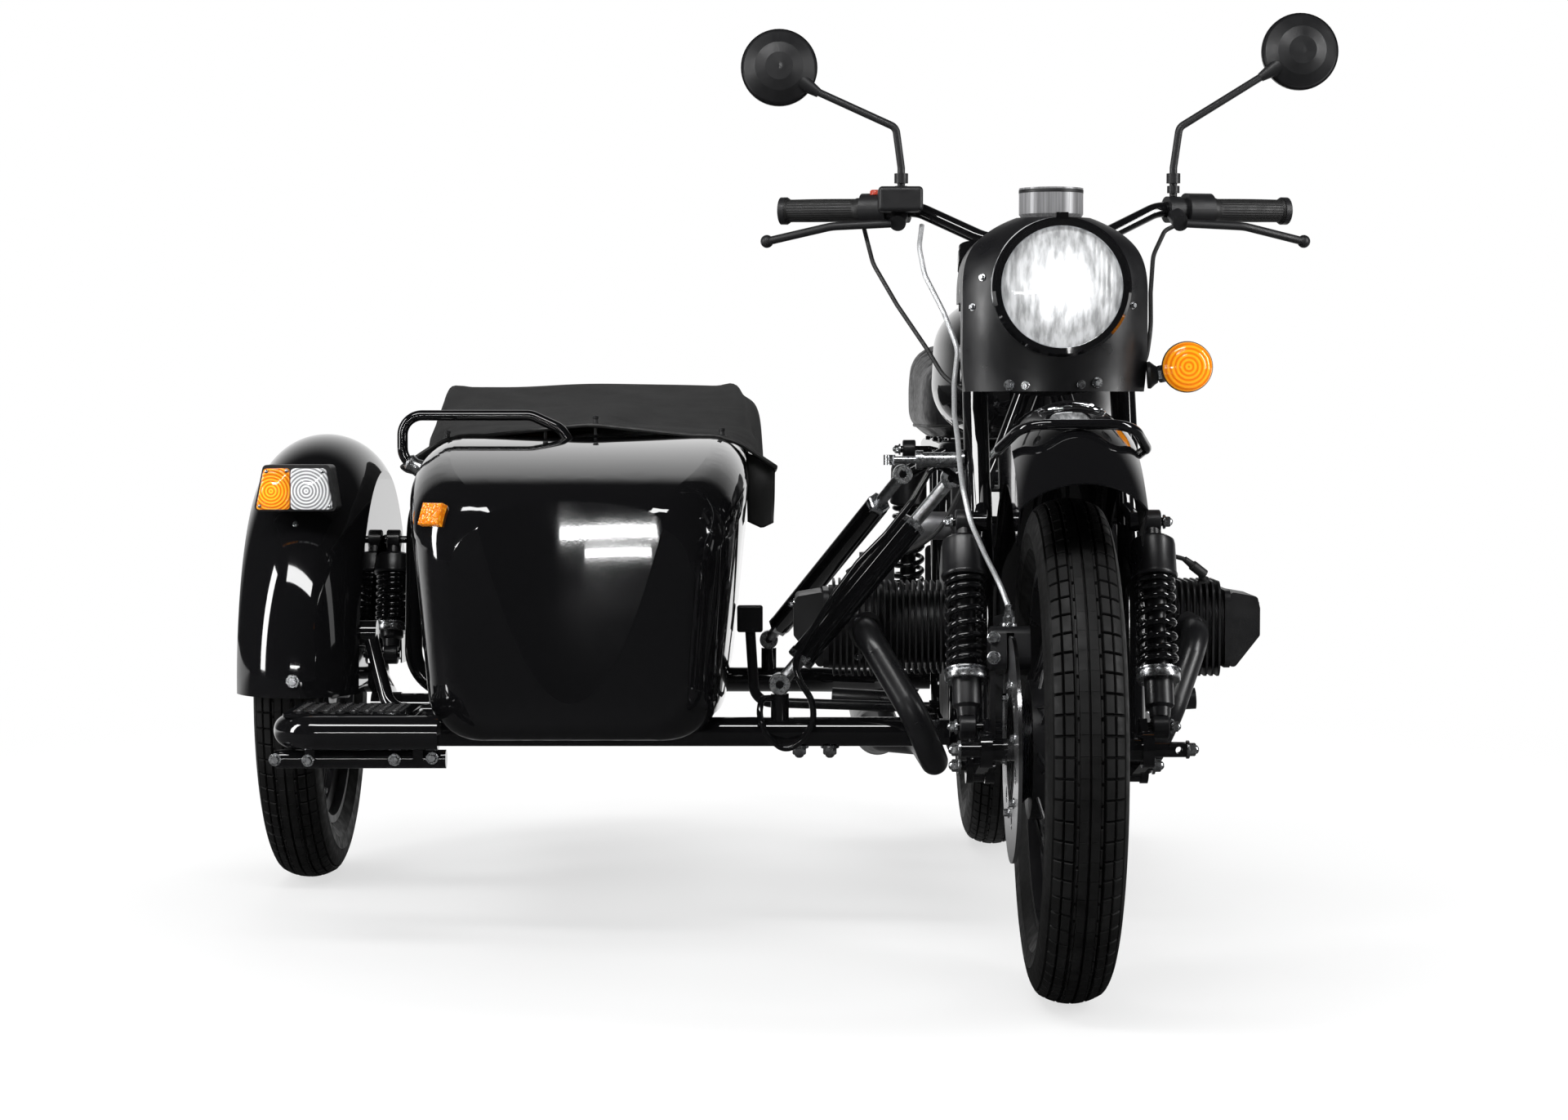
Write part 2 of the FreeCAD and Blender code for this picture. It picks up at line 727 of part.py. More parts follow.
def brake_disc():
    """A flat disc on a dished carrier, bolted to the front hub's right face."""
    face = DRUM_INSET - HUB_WIDTH / 2
    outer = -HUB_WIDTH / 2 - DISC_GAP
    back = outer - DISC_THICKNESS
    carrier = turned([(face, CARRIER_BORE), (face, CARRIER_FOOT), (outer, CARRIER_DISH),
                      (outer, CARRIER_EDGE), (back, CARRIER_EDGE), (back, CARRIER_DISH - CARRIER_WALL),
                      (face - CARRIER_WALL, CARRIER_FOOT_INNER), (face - CARRIER_WALL, CARRIER_BORE)])
    ring = turned([(outer, CARRIER_EDGE), (outer, DISC_RADIUS), (back, DISC_RADIUS), (back, CARRIER_EDGE)])
    windows = []
    for i in range(DISC_WINDOWS):
        a = math.radians(360 / DISC_WINDOWS * i + 15)
        y, z = DISC_WINDOW_PITCH * math.sin(a), DISC_WINDOW_PITCH * math.cos(a)
        windows.append(bar((back - 2, y, z), (outer + 12, y, z), DISC_WINDOW_RADIUS))
    keep("brake_disc", moved(join([carrier, ring]).cut(windows), 0, 0, TYRE_RADIUS))


# Springs
def coil_spring(low, top, radius, wire, turns, sides=12):
    """A coil of square wire between two points, as a closed shell of flat facets."""
    low, top = V(*low), V(*top)
    along = unit(top - low)
    across = unit(along.cross(V(1, 0, 0)))
    other = along.cross(across)
    height = (top - low).Length
    rings = []
    for i in range(turns * sides + 1):
        a = 2 * math.pi * i / sides
        out = across * math.cos(a) + other * math.sin(a)
        middle = low + along * (wire + (height - 2 * wire) * i / (turns * sides))
        rings.append([middle + out * (radius + wire * dr) + along * (wire * dz)
                      for dr, dz in ((1, -1), (1, 1), (-1, 1), (-1, -1))])
    faces = [Part.Face(Part.makePolygon(rings[0] + [rings[0][0]])),
             Part.Face(Part.makePolygon(rings[-1] + [rings[-1][0]]))]
    for one, two in zip(rings, rings[1:]):
        for k in range(4):
            a, b, c, d = one[k], one[(k + 1) % 4], two[(k + 1) % 4], two[k]
            faces.append(Part.Face(Part.makePolygon([a, b, c, a])))
            faces.append(Part.Face(Part.makePolygon([a, c, d, a])))
    solid = Part.Solid(Part.Shell(faces))
    if solid.Volume < 0:
        solid.reverse()
    return solid


def spring_unit(low, top, can):
    """A damper with an eye at each end, a cover at its top, and its spring as a second solid."""
    lo, hi = V(*low), V(*top)
    along = unit(hi - lo)
    span = (hi - lo).Length

    def at(distance):
        p = lo + along * distance
        return (p.x, p.y, p.z)

    def across(end, half, radius):
        return bar((end.x - half, end.y, end.z), (end.x + half, end.y, end.z), radius)

    eye = AXLE_RADIUS + SHOCK_EYE_WALL
    spring_low, spring_top = SPRING_FROM * span, SPRING_TO * span
    pieces = [
        bar(at(eye - 4), at(span - eye + 4), can * ROD_SHARE),
        bar(at(eye + 12), at(spring_low), can * BODY_SHARE),
        bar(at(spring_low - 8), at(spring_low), can * COLLAR_SHARE),
        bar(at(spring_top), at(span - eye - 10), can * COVER_SHARE),
    ]
    damper = join(pieces + [across(end, SHOCK_EYE_LENGTH / 2, eye) for end in (lo, hi)])
    for end in (lo, hi):
        damper = damper.cut(across(end, SHOCK_EYE_LENGTH, SHOCK_PIN + FIT))
    spring = coil_spring(at(spring_low + SEAT), at(spring_top - SEAT), can * COIL_SHARE, COIL_WIRE,
                         COIL_TURNS)
    return damper, spring


# Fork, links and front suspension
def leg_w(z):
    """How far up the steering axis a fork leg's middle line passes the height z."""
    rake = math.radians(RAKE_DEG)
    return (z + LEG_V * math.sin(rake)) / math.cos(rake)


def leg_path(side):
    """A fork leg's middle line, from the top clamp down to the link's pivot."""
    top = steer_point(side * LEG_X, LEG_V, HEAD_TOP_W + LEG_TOP_RISE)
    bend = steer_point(side * LEG_X, LEG_V, leg_w(BEND_Z))
    return [top, bend, (side * LEG_X, PIVOT_Y, PIVOT_Z - LEG_FOOT_DROP)]


def fork():
    """Two bowed legs in an upper and a lower clamp, with the stem that turns in the steering head."""
    pieces = []
    shock_y, shock_z = SHOCK_TOP
    for side in (-1, 1):
        pieces.append(pipe(leg_path(side), LEG_RADIUS, LEG_BEND))
        pieces.append(bar((side * (LEG_X - 4), shock_y + SHOCK_LUG_OUT, shock_z + SHOCK_LUG_UP),
                          (side * (LEG_X + 2), shock_y, shock_z), SHOCK_LUG_RADIUS))
        pieces.append(bar((side * (LEG_X - 6), shock_y, shock_z), (side * (SHOCK_X - 12), shock_y, shock_z),
                          SHOCK_BOSS_RADIUS))
        pieces.append(bar((side * (LEG_X + 2), shock_y, shock_z),
                          (side * (SHOCK_X + SHOCK_PIN_END), shock_y, shock_z), SHOCK_PIN))
        pieces.append(bar((side * (LEG_X - PIVOT_BOSS_INNER), PIVOT_Y, PIVOT_Z),
                          (side * (LEG_X + PIVOT_BOSS_OUTER), PIVOT_Y, PIVOT_Z), PIVOT_BOSS_RADIUS))
    edge, rear, front = LEG_X + CLAMP_EDGE, LEG_V + CLAMP_REAR, LEG_V - CLAMP_FRONT
    for w in (HEAD_LOW_W - RUNNING - CLAMP_THICKNESS, HEAD_TOP_W + RUNNING):
        outline = [(-edge, rear, w), (-edge, front, w), (-CLAMP_NOSE_HALF, LEG_V - CLAMP_NOSE, w),
                   (CLAMP_NOSE_HALF, LEG_V - CLAMP_NOSE, w), (edge, front, w), (edge, rear, w),
                   (CLAMP_HEEL_HALF, CLAMP_HEEL, w), (-CLAMP_HEEL_HALF, CLAMP_HEEL, w)]
        pieces.append(steered(plate(outline, CLAMP_CORNER, (0, 0, CLAMP_THICKNESS))))
    stem = Part.makeCylinder(STEM_RADIUS, HEAD_TOP_W - HEAD_LOW_W + 2 * RUNNING + 12,
                             V(0, 0, HEAD_LOW_W - RUNNING - 2))
    nut = Part.makeCylinder(STEM_NUT_RADIUS, STEM_NUT_HEIGHT, V(0, 0, HEAD_TOP_W + RUNNING + CLAMP_THICKNESS))
    pieces += [steered(stem), steered(nut)]
    for side in (-1, 1):
        foot = steer_point(side * RISER_X, RISER_V, HEAD_TOP_W + RUNNING + 4)
        pieces.append(bar(foot, (side * RISER_X, BAR_CLAMP_Y, BAR_CLAMP_Z), RISER_RADIUS))
        pieces.append(bar((side * RISER_X - BAR_CLAMP_HALF, BAR_CLAMP_Y, BAR_CLAMP_Z),
                          (side * RISER_X + BAR_CLAMP_HALF, BAR_CLAMP_Y, BAR_CLAMP_Z),
                          BAR_RADIUS + BAR_CLAMP_WALL))
        for w in SHROUD_PEGS_W:
            y, z = steer_point(0, LEG_V, w)[1:]
            pieces.append(bar((side * LEG_X, y, z), (side * (SHROUD_HALF - SHROUD_SHEET - SEAT), y, z),
                              SHROUD_PEG_RADIUS))
    made = join(pieces)
    pivot = bar((-160, PIVOT_Y, PIVOT_Z), (160, PIVOT_Y, PIVOT_Z), PIVOT_PIN_RADIUS + FIT)
    clamp_bore = bar((-80, BAR_CLAMP_Y, BAR_CLAMP_Z), (80, BAR_CLAMP_Y, BAR_CLAMP_Z), BAR_RADIUS + FIT)
    half = LINK_THICKNESS / 2 + SEAT
    slots = []
    for side in (-1, 1):
        slots.append(bar((side * (LINK_X - half), PIVOT_Y, PIVOT_Z),
                         (side * (LINK_X + half), PIVOT_Y, PIVOT_Z), PIVOT_SLOT_RADIUS))
    keep("fork", made.cut([pivot, clamp_bore] + slots))


def front_links():
    """Leading links that carry the front axle ahead of the fork's pivot, joined by a loop behind the tyre."""
    pieces = []
    low_y, low_z = SHOCK_LOW
    for side in (-1, 1):
        x = side * LINK_X
        inner, outer = x - LINK_THICKNESS / 2, x + LINK_THICKNESS / 2
        pieces.append(bar((inner, PIVOT_Y, PIVOT_Z), (outer, PIVOT_Y, PIVOT_Z), LINK_EYE_RADIUS))
        pieces.append(bar((inner, 0, TYRE_RADIUS), (outer, 0, TYRE_RADIUS), LINK_AXLE_EYE_RADIUS))
        pieces.append(plate([(inner, PIVOT_Y, PIVOT_Z - 17), (inner, PIVOT_Y, PIVOT_Z + 17),
                             (inner, 0, TYRE_RADIUS + 18), (inner, 0, TYRE_RADIUS - 18)], 6,
                            (LINK_THICKNESS, 0, 0)))
        lug_x = min(side * (LINK_X - LINK_THICKNESS / 2), side * (LINK_X - LINK_THICKNESS / 2 + LINK_LUG))
        pieces.append(plate([(lug_x, -14, TYRE_RADIUS + 10), (lug_x, 62, TYRE_RADIUS - 8),
                             (lug_x, low_y + 13, low_z + 10), (lug_x, low_y - 12, low_z + 12)], 8,
                            (LINK_LUG, 0, 0)))
        pieces.append(bar((x, low_y, low_z), (side * (SHOCK_X + 15), low_y, low_z), SHOCK_PIN))
        pieces.append(box(inner, outer, PIVOT_Y, PIVOT_Y + LINK_TAIL, PIVOT_Z - 12, PIVOT_Z + 12))
    loop = pipe([(-LINK_X, PIVOT_Y + 40, PIVOT_Z), (-LINK_X, PIVOT_Y + LOOP_REACH, PIVOT_Z + 8),
                 (LINK_X, PIVOT_Y + LOOP_REACH, PIVOT_Z + 8), (LINK_X, PIVOT_Y + 40, PIVOT_Z)],
                LOOP_RADIUS, LOOP_BEND)
    axle = bar((-LINK_X - 34, 0, TYRE_RADIUS), (LINK_X + 38, 0, TYRE_RADIUS), AXLE_RADIUS)
    head = box(LINK_X + 28, LINK_X + 52, -9, 9, TYRE_RADIUS - 9, TYRE_RADIUS + 9)
    spacers, pins = [], []
    for side in (-1, 1):
        spacers.append(bar((side * (HUB_WIDTH / 2 + SPACER_PLAY), 0, TYRE_RADIUS),
                           (side * (LINK_X - 5), 0, TYRE_RADIUS), SPACER_RADIUS))
        pins.append(bar((side * (LEG_X - 20), PIVOT_Y, PIVOT_Z), (side * (LEG_X + 28), PIVOT_Y, PIVOT_Z),
                        PIVOT_PIN_RADIUS))
    made = join(pieces + [loop, axle, head] + spacers + pins)
    hole = bar((LINK_X + 40, -20, TYRE_RADIUS), (LINK_X + 40, 20, TYRE_RADIUS), 4.5)
    keep("front_links", made.cut(hole))


def front_shocks():
    """A spring unit each side, from the link up to the fork leg's lug."""
    for x in (-SHOCK_X, SHOCK_X):
        keep("front_shocks", *spring_unit((x, *SHOCK_LOW), (x, *SHOCK_TOP), SHOCK_CAN))


def brake_calliper():
    """A four-piston calliper over the disc, on a bracket from the right link."""
    middle = -HUB_WIDTH / 2 - DISC_GAP - DISC_THICKNESS / 2
    x, y, z = middle - CALLIPER_HALF, CALLIPER_Y, CALLIPER_Z
    body = plate([(x, y - 42, z - 22), (x, y + 38, z - 40), (x, y + 44, z + 14), (x, y - 22, z + 34)], 14,
                 (2 * CALLIPER_HALF, 0, 0))
    low, high = middle - CALLIPER_SLOT, middle + CALLIPER_SLOT
    slot = turned([(low, 40), (low, DISC_RADIUS + 6), (high, DISC_RADIUS + 6), (high, 40)])
    arm = plate([(x, y - 18, z - 20), (x, y + 20, z - 30), (x, 84, TYRE_RADIUS - 12),
                 (x, 44, TYRE_RADIUS - 2)], 5, (CALLIPER_ARM, 0, 0))
    keep("brake_calliper", join([body.cut(moved(slot, 0, 0, TYRE_RADIUS)), arm]))


# Mudguards
def guard_arc(radius, half, skirt, start_deg, end_deg, crown):
    """A mudguard as a rolled sheet: a round crown and straight skirts, turned through an arc.

    Zero degrees is straight up and positive turns towards the rear.
    """
    def outline(inset):
        edge = half - inset
        top = radius - inset
        low = radius - crown - skirt
        return [(-edge, low), (-edge, radius - crown), (0, top), (edge, radius - crown), (edge, low)]

    def points(row):
        return [V(x, 0, r) for x, r in row]

    out, inn = points(outline(0)), points(outline(GUARD_SHEET))
    edges = [
        Part.LineSegment(out[0], out[1]).toShape(),
        Part.Arc(out[1], out[2], out[3]).toShape(),
        Part.LineSegment(out[3], out[4]).toShape(),
        Part.LineSegment(out[4], inn[4]).toShape(),
        Part.LineSegment(inn[4], inn[3]).toShape(),
        Part.Arc(inn[3], inn[2], inn[1]).toShape(),
        Part.LineSegment(inn[1], inn[0]).toShape(),
        Part.LineSegment(inn[0], out[0]).toShape(),
    ]
    face = Part.Face(Part.Wire(edges))
    face.rotate(V(0, 0, 0), V(1, 0, 0), -start_deg)
    return face.revolve(V(0, 0, 0), V(1, 0, 0), start_deg - end_deg)


def guard_point(centre_y, centre_z, radius, degrees):
    """The (y, z) of a point on a mudguard's arc."""
    a = math.radians(degrees)
    return centre_y + radius * math.sin(a), centre_z + radius * math.cos(a)


def front_mudguard():
    """A deep mudguard carried by the fork legs, with a tube hoop round its nose."""
    sheet = guard_arc(FRONT_GUARD_RADIUS, FRONT_GUARD_HALF, FRONT_GUARD_SKIRT, FRONT_GUARD_FROM,
                      FRONT_GUARD_TO, FRONT_GUARD_CROWN)
    sheet = moved(sheet, 0, FRONT_GUARD_Y, FRONT_GUARD_Z)
    low, high = [V(*steer_point(0, LEG_V, w)) for w in GUARD_PADS_W]
    pads = []
    for side in (-1, 1):
        x0, x1 = sorted((side * (FRONT_GUARD_HALF - GUARD_PAD_BITE), side * (LEG_X - LEG_RADIUS - SEAT)))
        pads.append(plate([(x0, low.y - GUARD_PAD_HALF, low.z), (x0, low.y + GUARD_PAD_HALF, low.z),
                           (x0, high.y + GUARD_PAD_HALF, high.z), (x0, high.y - GUARD_PAD_HALF, high.z)], 8,
                          (x1 - x0, 0, 0)))
    keep("front_mudguard", join([sheet] + pads))
    hoop_radius = FRONT_GUARD_RADIUS + HOOP_RADIUS + SEAT
    top_y, top_z = guard_point(FRONT_GUARD_Y, FRONT_GUARD_Z, hoop_radius, HOOP_TOP_DEG)
    low_y, low_z = guard_point(FRONT_GUARD_Y, FRONT_GUARD_Z, FRONT_GUARD_RADIUS - HOOP_DROP, HOOP_LOW_DEG)
    half = FRONT_GUARD_HALF + HOOP_RADIUS + 8
    top_half = half - HOOP_TOP_INSET
    hoop = pipe([(-half, low_y + 60, low_z - 8), (-half, low_y - 20, low_z), (-top_half, top_y, top_z),
                 (top_half, top_y, top_z), (half, low_y - 20, low_z), (half, low_y + 60, low_z - 8)],
                HOOP_RADIUS, HOOP_BEND)
    keep("mudguard_hoop", hoop)


# Headlamp, shroud, gauge and front indicator
def headlamp():
    """A round lamp bucket with its ring, and the lens as a node of its own."""
    face, r, lens = LAMP_FACE_Y, LAMP_RING_RADIUS, LAMP_LENS_RADIUS
    body = turned([(face, lens + SEAT), (face - 3, r - 4), (face + 4, r), (face + 26, r), (face + 26, r - 4),
                   (face + 64, r - 4), (face + 110, r - 24), (face + LAMP_DEPTH, 40), (face + LAMP_DEPTH, 0),
                   (face + LAMP_DEPTH - 4, 0), (face + LAMP_DEPTH - 4, 36), (face + 106, r - 30),
                   (face + 40, r - 14), (face + 8, lens + SEAT)], (0, 0, LAMP_Z), (0, 1, 0))
    tab = box(-8, 8, face + 2, face + 22, LAMP_Z + r - 3, LAMP_Z + r + 6)
    keep("headlamp", join([body, tab]))
    glass = turned([(face - 12, 0), (face - 10, lens * 0.5), (face - 4, lens * 0.86), (face + 4, lens),
                    (face + 8, lens), (face + 8, 0)], (0, 0, LAMP_Z), (0, 1, 0))
    keep("headlamp_lens", glass)


SHROUD_ROWS = (
    # z, half width, how far the front lies behind the foremost line
    (SHROUD_LOW_Z, 121.0, 6.0),
    (SHROUD_LOW_Z + 70, SHROUD_HALF, 0.0),
    (LAMP_Z, SHROUD_HALF, 0.0),
    (SHROUD_SIDE_Z, 118.0, 16.0),
    (SHROUD_SIDE_Z + 32, 92.0, 44.0),
    (SHROUD_TOP_Z, 50.0, 74.0),
)
SHROUD_REAR_Y = 392.0
SHROUD_BOW = 62.0


def shroud_section(z, half, front, rear):
    """The shroud's outline at height z: straight sides and a bowed front."""
    side_front = front + SHROUD_BOW * half / SHROUD_HALF
    edges = [
        Part.LineSegment(V(half, rear, z), V(half, side_front, z)).toShape(),
        Part.Arc(V(half, side_front, z), V(0, front, z), V(-half, side_front, z)).toShape(),
        Part.LineSegment(V(-half, side_front, z), V(-half, rear, z)).toShape(),
        Part.LineSegment(V(-half, rear, z), V(half, rear, z)).toShape(),
    ]
    return Part.Wire(edges)


def shroud_form(inset):
    """The shroud's outer form, or the same form a sheet's thickness inside it and open below."""
    rear = SHROUD_REAR_Y + 12 * inset
    rows = []
    for z, half, back in SHROUD_ROWS:
        drop = 10 * inset if z == SHROUD_LOW_Z else inset if z == SHROUD_TOP_Z else 0
        rows.append(shroud_section(z - drop, half - inset, SHROUD_FRONT_Y + back + inset, rear))
    return loft(rows)


def lamp_shroud():
    """A sheet shroud with round shoulders over the lamp and the fork's top, open behind and below."""
    shell = shroud_form(0).cut(shroud_form(SHROUD_SHEET))
    opening = bar((0, 60, LAMP_Z), (0, SHROUD_FRONT_Y + 100, LAMP_Z), LAMP_RING_RADIUS - 4 + SEAT)
    behind = box(-WIDE, WIDE, SHROUD_BACK_Y, 460, SHROUD_LOW_Z - 60, SHROUD_SIDE_Z - 60)
    wedge = plate([(-WIDE, SHROUD_BACK_Y, 700), (-WIDE, 352, 900), (-WIDE, 344, 1100), (-WIDE, 500, 1100),
                   (-WIDE, 500, 700)], 1, (2 * WIDE, 0, 0))
    keep("lamp_shroud", largest(shell.cut([opening, behind, wedge])))


def gauge():
    """A round gauge pod behind the shroud's top."""
    low = SHROUD_TOP_Z + SEAT
    height = GAUGE_TOP_Z - low
    face = GAUGE_RADIUS - GAUGE_BEZEL
    pod = turned([(0, 0), (0, GAUGE_RADIUS - 4), (6, GAUGE_RADIUS), (height, GAUGE_RADIUS), (height, face),
                  (height - GAUGE_FACE_DEPTH, face), (height - GAUGE_FACE_DEPTH, 0)],
                 (0, GAUGE_Y, low), (0, 0, 1))
    keep("gauge", pod)


def indicator(name, base, tip, radius, depth):
    """A round turn lamp on a stalk, from base to tip, facing along Y."""
    stalk = bar(base, tip, 7)
    bowl = turned([(-depth, 0), (-depth + 4, radius * 0.7), (-6, radius), (6, radius),
                   (depth * 0.6, radius * 0.8), (depth, radius * 0.45), (depth, 0)], tip, (0, 1, 0))
    keep(name, join([stalk, bowl]))


# Handlebar and controls
def bar_path():
    """Half of the handlebar's middle line, from the middle to the left end."""
    x, y, z = BAR_END
    return [(BAR_RISER_X, BAR_CLAMP_Y, BAR_CLAMP_Z), (BAR_BEND_X, y - 66, z - 2), (x, y, z)]


def handlebar():
    """One bent tube through the fork's clamps."""
    half = bar_path()
    points = [(-x, y, z) for x, y, z in reversed(half)] + half
    keep("handlebar", pipe(points, BAR_RADIUS, BAR_BEND))


def hand_controls():
    """Grips, switch housings, lever brackets and levers, one set each side."""
    end, inner = V(*BAR_END), V(*bar_path()[1])
    along = unit(inner - end)

    def on_bar(distance, dx=0.0, dy=0.0, dz=0.0):
        p = end + along * distance
        return (p.x + dx, p.y + dy, p.z + dz)

    grip = join([bar(on_bar(-4), on_bar(GRIP_LENGTH), GRIP_RADIUS),
                 bar(on_bar(-6), on_bar(3), GRIP_RADIUS + GRIP_COLLAR)])
    housing = join([bar(on_bar(GRIP_LENGTH + SEAT), on_bar(GRIP_LENGTH + HOUSING_LENGTH), HOUSING_RADIUS),
                    bar(on_bar(GRIP_LENGTH + 39), on_bar(GRIP_LENGTH + 50), 17),
                    bar(on_bar(GRIP_LENGTH + 48), on_bar(GRIP_LENGTH + 70), 19)])
    bore = pipe([(20, BAR_CLAMP_Y, BAR_CLAMP_Z)] + bar_path(), BAR_RADIUS + SEAT, BAR_BEND)
    keep("hand_controls", grip.cut(bore), mirrored(grip.cut(bore)))
    lever_root = on_bar(GRIP_LENGTH + 44, 0, -40, -22)
    lever_mid = on_bar(70, 0, -48, -26)
    lever_tip = on_bar(-22, 6, -34, -46)
    bracket = bar(on_bar(GRIP_LENGTH + 58, 0, -2, -4), on_bar(GRIP_LENGTH + 52, 0, -40, -22), LEVER_BRACKET)
    lever = join([pipe([lever_root, lever_mid, lever_tip], LEVER_RADIUS),
                  Part.makeSphere(LEVER_BALL, V(*lever_tip))])
    clutch = join([housing, bracket, lever]).cut(bore)
    px, py, pz = on_bar(GRIP_LENGTH + 54)
    tank = softened(box(px - 34, px + 30, py - 62, py - 14, pz - 6, pz + 30), 6)
    brake = mirrored(join([housing, bracket, lever, tank]).cut(bore))
    keep("hand_controls", clutch, brake)


def mirror(centre):
    """A round mirror on a bent stem, screwed into the left control housing."""
    end, inner = V(*BAR_END), V(*bar_path()[1])
    foot = end + unit(inner - end) * (GRIP_LENGTH + 59)
    x, y, z = centre
    base = (foot.x, foot.y, foot.z + 19)
    knee = (foot.x + 8, foot.y - 2, foot.z + 118)
    neck = (x - 52, y + 6, z - 34)
    stem = pipe([base, (foot.x, foot.y, foot.z + 60), knee, neck], MIRROR_STEM, MIRROR_STEM_BEND)
    nuts = [bar((foot.x, foot.y, foot.z + 24), (foot.x, foot.y, foot.z + 34), 9),
            bar((foot.x, foot.y, foot.z + 38), (foot.x, foot.y, foot.z + 52), 10)]
    socket = cone((x - 58, y + 6, z - 38), (x - 30, y + 4, z - 20), 6.5, 13)
    shell = turned([(0, 0), (0, MIRROR_RADIUS - 4), (-4, MIRROR_RADIUS), (-12, MIRROR_RADIUS - 4),
                    (-26, MIRROR_RADIUS - 20), (-32, 20), (-33, 0)], (x, y + 16, z), (0, 1, 0))
    return join([stem, socket, shell] + nuts)


def mirrors():
    """Two round mirrors; the left one stands a little higher and further out."""
    keep("mirrors", mirror(MIRROR_LEFT), mirrored(mirror(MIRROR_RIGHT)))


# Main frame
def backbone_path(rear_y):
    """The backbone's middle line, from the steering head to rear_y."""
    z = RAIL_Z - UNDER_RAIL
    return [steer_point(0, 4, HEAD_TOP_W - 34), (0, BACKBONE_Y, z), (0, rear_y, z)]


def guard_round(radius, half):
    """A drum as large as a mudguard's outside and a seat's clearance, turned about the X axis."""
    return turned([(-half, 0), (-half, radius + SEAT), (half, radius + SEAT), (half, 0)])


def frame_tubes():
    """The steering head, the backbone, the twin cradle, the seat rails and the rear braces."""
    head = steered(Part.makeCylinder(HEAD_RADIUS, HEAD_TOP_W - HEAD_LOW_W, V(0, 0, HEAD_LOW_W)))
    head_low = steer_point(0, 4, HEAD_LOW_W + 50)
    pieces = [head, pipe(backbone_path(900), BACKBONE_RADIUS, FRAME_BEND)]
    for side in (-1, 1):
        x, rail_x = side * CRADLE_X, side * RAIL_X
        pieces.append(pipe([head_low, (side * NECK_X, NECK_Y, NECK_Z), (x, CRADLE_FRONT_Y, CRADLE_TOP_Z),
                            (x, CRADLE_FRONT_Y, CRADLE_Z), (x, CRADLE_REAR_Y, CRADLE_Z),
                            (rail_x, CRADLE_REAR_Y + 90, RAIL_Z - 6)], FRAME_TUBE, CRADLE_BEND))
        pieces.append(pipe([(side * RAIL_FRONT_X, RAIL_FRONT_Y, RAIL_Z - UNDER_RAIL),
                            (rail_x, RAIL_JOIN_Y, RAIL_Z), (rail_x, RAIL_REAR_Y, RAIL_Z)],
                           FRAME_TUBE - 3, RAIL_BEND))
        pieces.append(bar((x, CRADLE_REAR_Y + 20, 360), (rail_x, REAR_SHOCK_TOP_Y, RAIL_Z - 6),
                          FRAME_TUBE - 4))
    for y, z in ((CRADLE_FRONT_Y, FRONT_TIE_Z), (CRADLE_REAR_Y - 60, CRADLE_Z)):
        pieces.append(bar((-CRADLE_X, y, z), (CRADLE_X, y, z), FRAME_TUBE - 2))
    for y in (REAR_SHOCK_TOP_Y, RAIL_REAR_Y - 8):
        pieces.append(bar((-RAIL_X, y, RAIL_Z), (RAIL_X, y, RAIL_Z), 10))
    return pieces


def frame_lugs():
    """What the frame carries other pieces by: pins, pegs, feet, posts and the sidecar's lugs."""
    front_eye, rear_eye = STRUTS[0][1], STRUTS[1][1]
    pieces = [
        bar((-110, SIDE_LUG_Y, SIDE_LUG_Z), (SIDE_LUG_X, SIDE_LUG_Y, SIDE_LUG_Z), 17),
        bar((-66, 428, 668), (front_eye[0] + 8, front_eye[1] - 6, front_eye[2]), 11),
        bar((-98, rear_eye[1], RAIL_Z - 2), (rear_eye[0] + 6, rear_eye[1], rear_eye[2] + 2), 11),
        bar((-CRADLE_X, PEDAL_Y, PEDAL_Z), (PEDAL_SEAT_X, PEDAL_Y, PEDAL_Z), 11),
    ]
    for side in (-1, 1):
        pieces.append(bar((side * (RAIL_X - 8), REAR_SHOCK_TOP_Y, RAIL_Z - 6),
                          (side * (REAR_SHOCK_X + SHOCK_PIN_END), REAR_SHOCK_TOP_Y, RAIL_Z - 6), SHOCK_PIN))
        pieces.append(bar((side * CRADLE_X, PEG_Y, PEG_Z), (side * (PEG_X - SEAT), PEG_Y, PEG_Z), 12))
        inner, outer = sorted((side * (CRADLE_X - 10), side * (CRADLE_X + 5)))
        for y in ENGINE_FEET_Y:
            pieces.append(box(inner, outer, y - ENGINE_FOOT, y + ENGINE_FOOT, CRADLE_Z, CASE_LOW_Z - SEAT))
        for y in [SEAT_FRONT_Y + post for post in SEAT_POSTS] + [SEAT_REAR_Y - SEAT_TAIL]:
            pieces.append(bar((side * RAIL_X, y, RAIL_Z), (side * RAIL_X, y, SEAT_LOW_Z - SEAT), 10))
    crown = moved(guard_round(REAR_GUARD_RADIUS, 30), 0, WHEELBASE, REAR_GUARD_Z)
    for y in (REAR_SHOCK_TOP_Y, RAIL_REAR_Y - 8):
        pieces.append(bar((0, y, RAIL_Z), (0, y, RAIL_Z - 60), 12).cut(crown))
    pad_z, pad_radius = RAIL_Z - UNDER_RAIL, BACKBONE_RADIUS + TUNNEL_GAP - SEAT
    for y in TANK_PADS_Y:
        pieces.append(bar((0, y, pad_z), (0, y + TANK_PAD_LENGTH, pad_z), pad_radius))
    return pieces


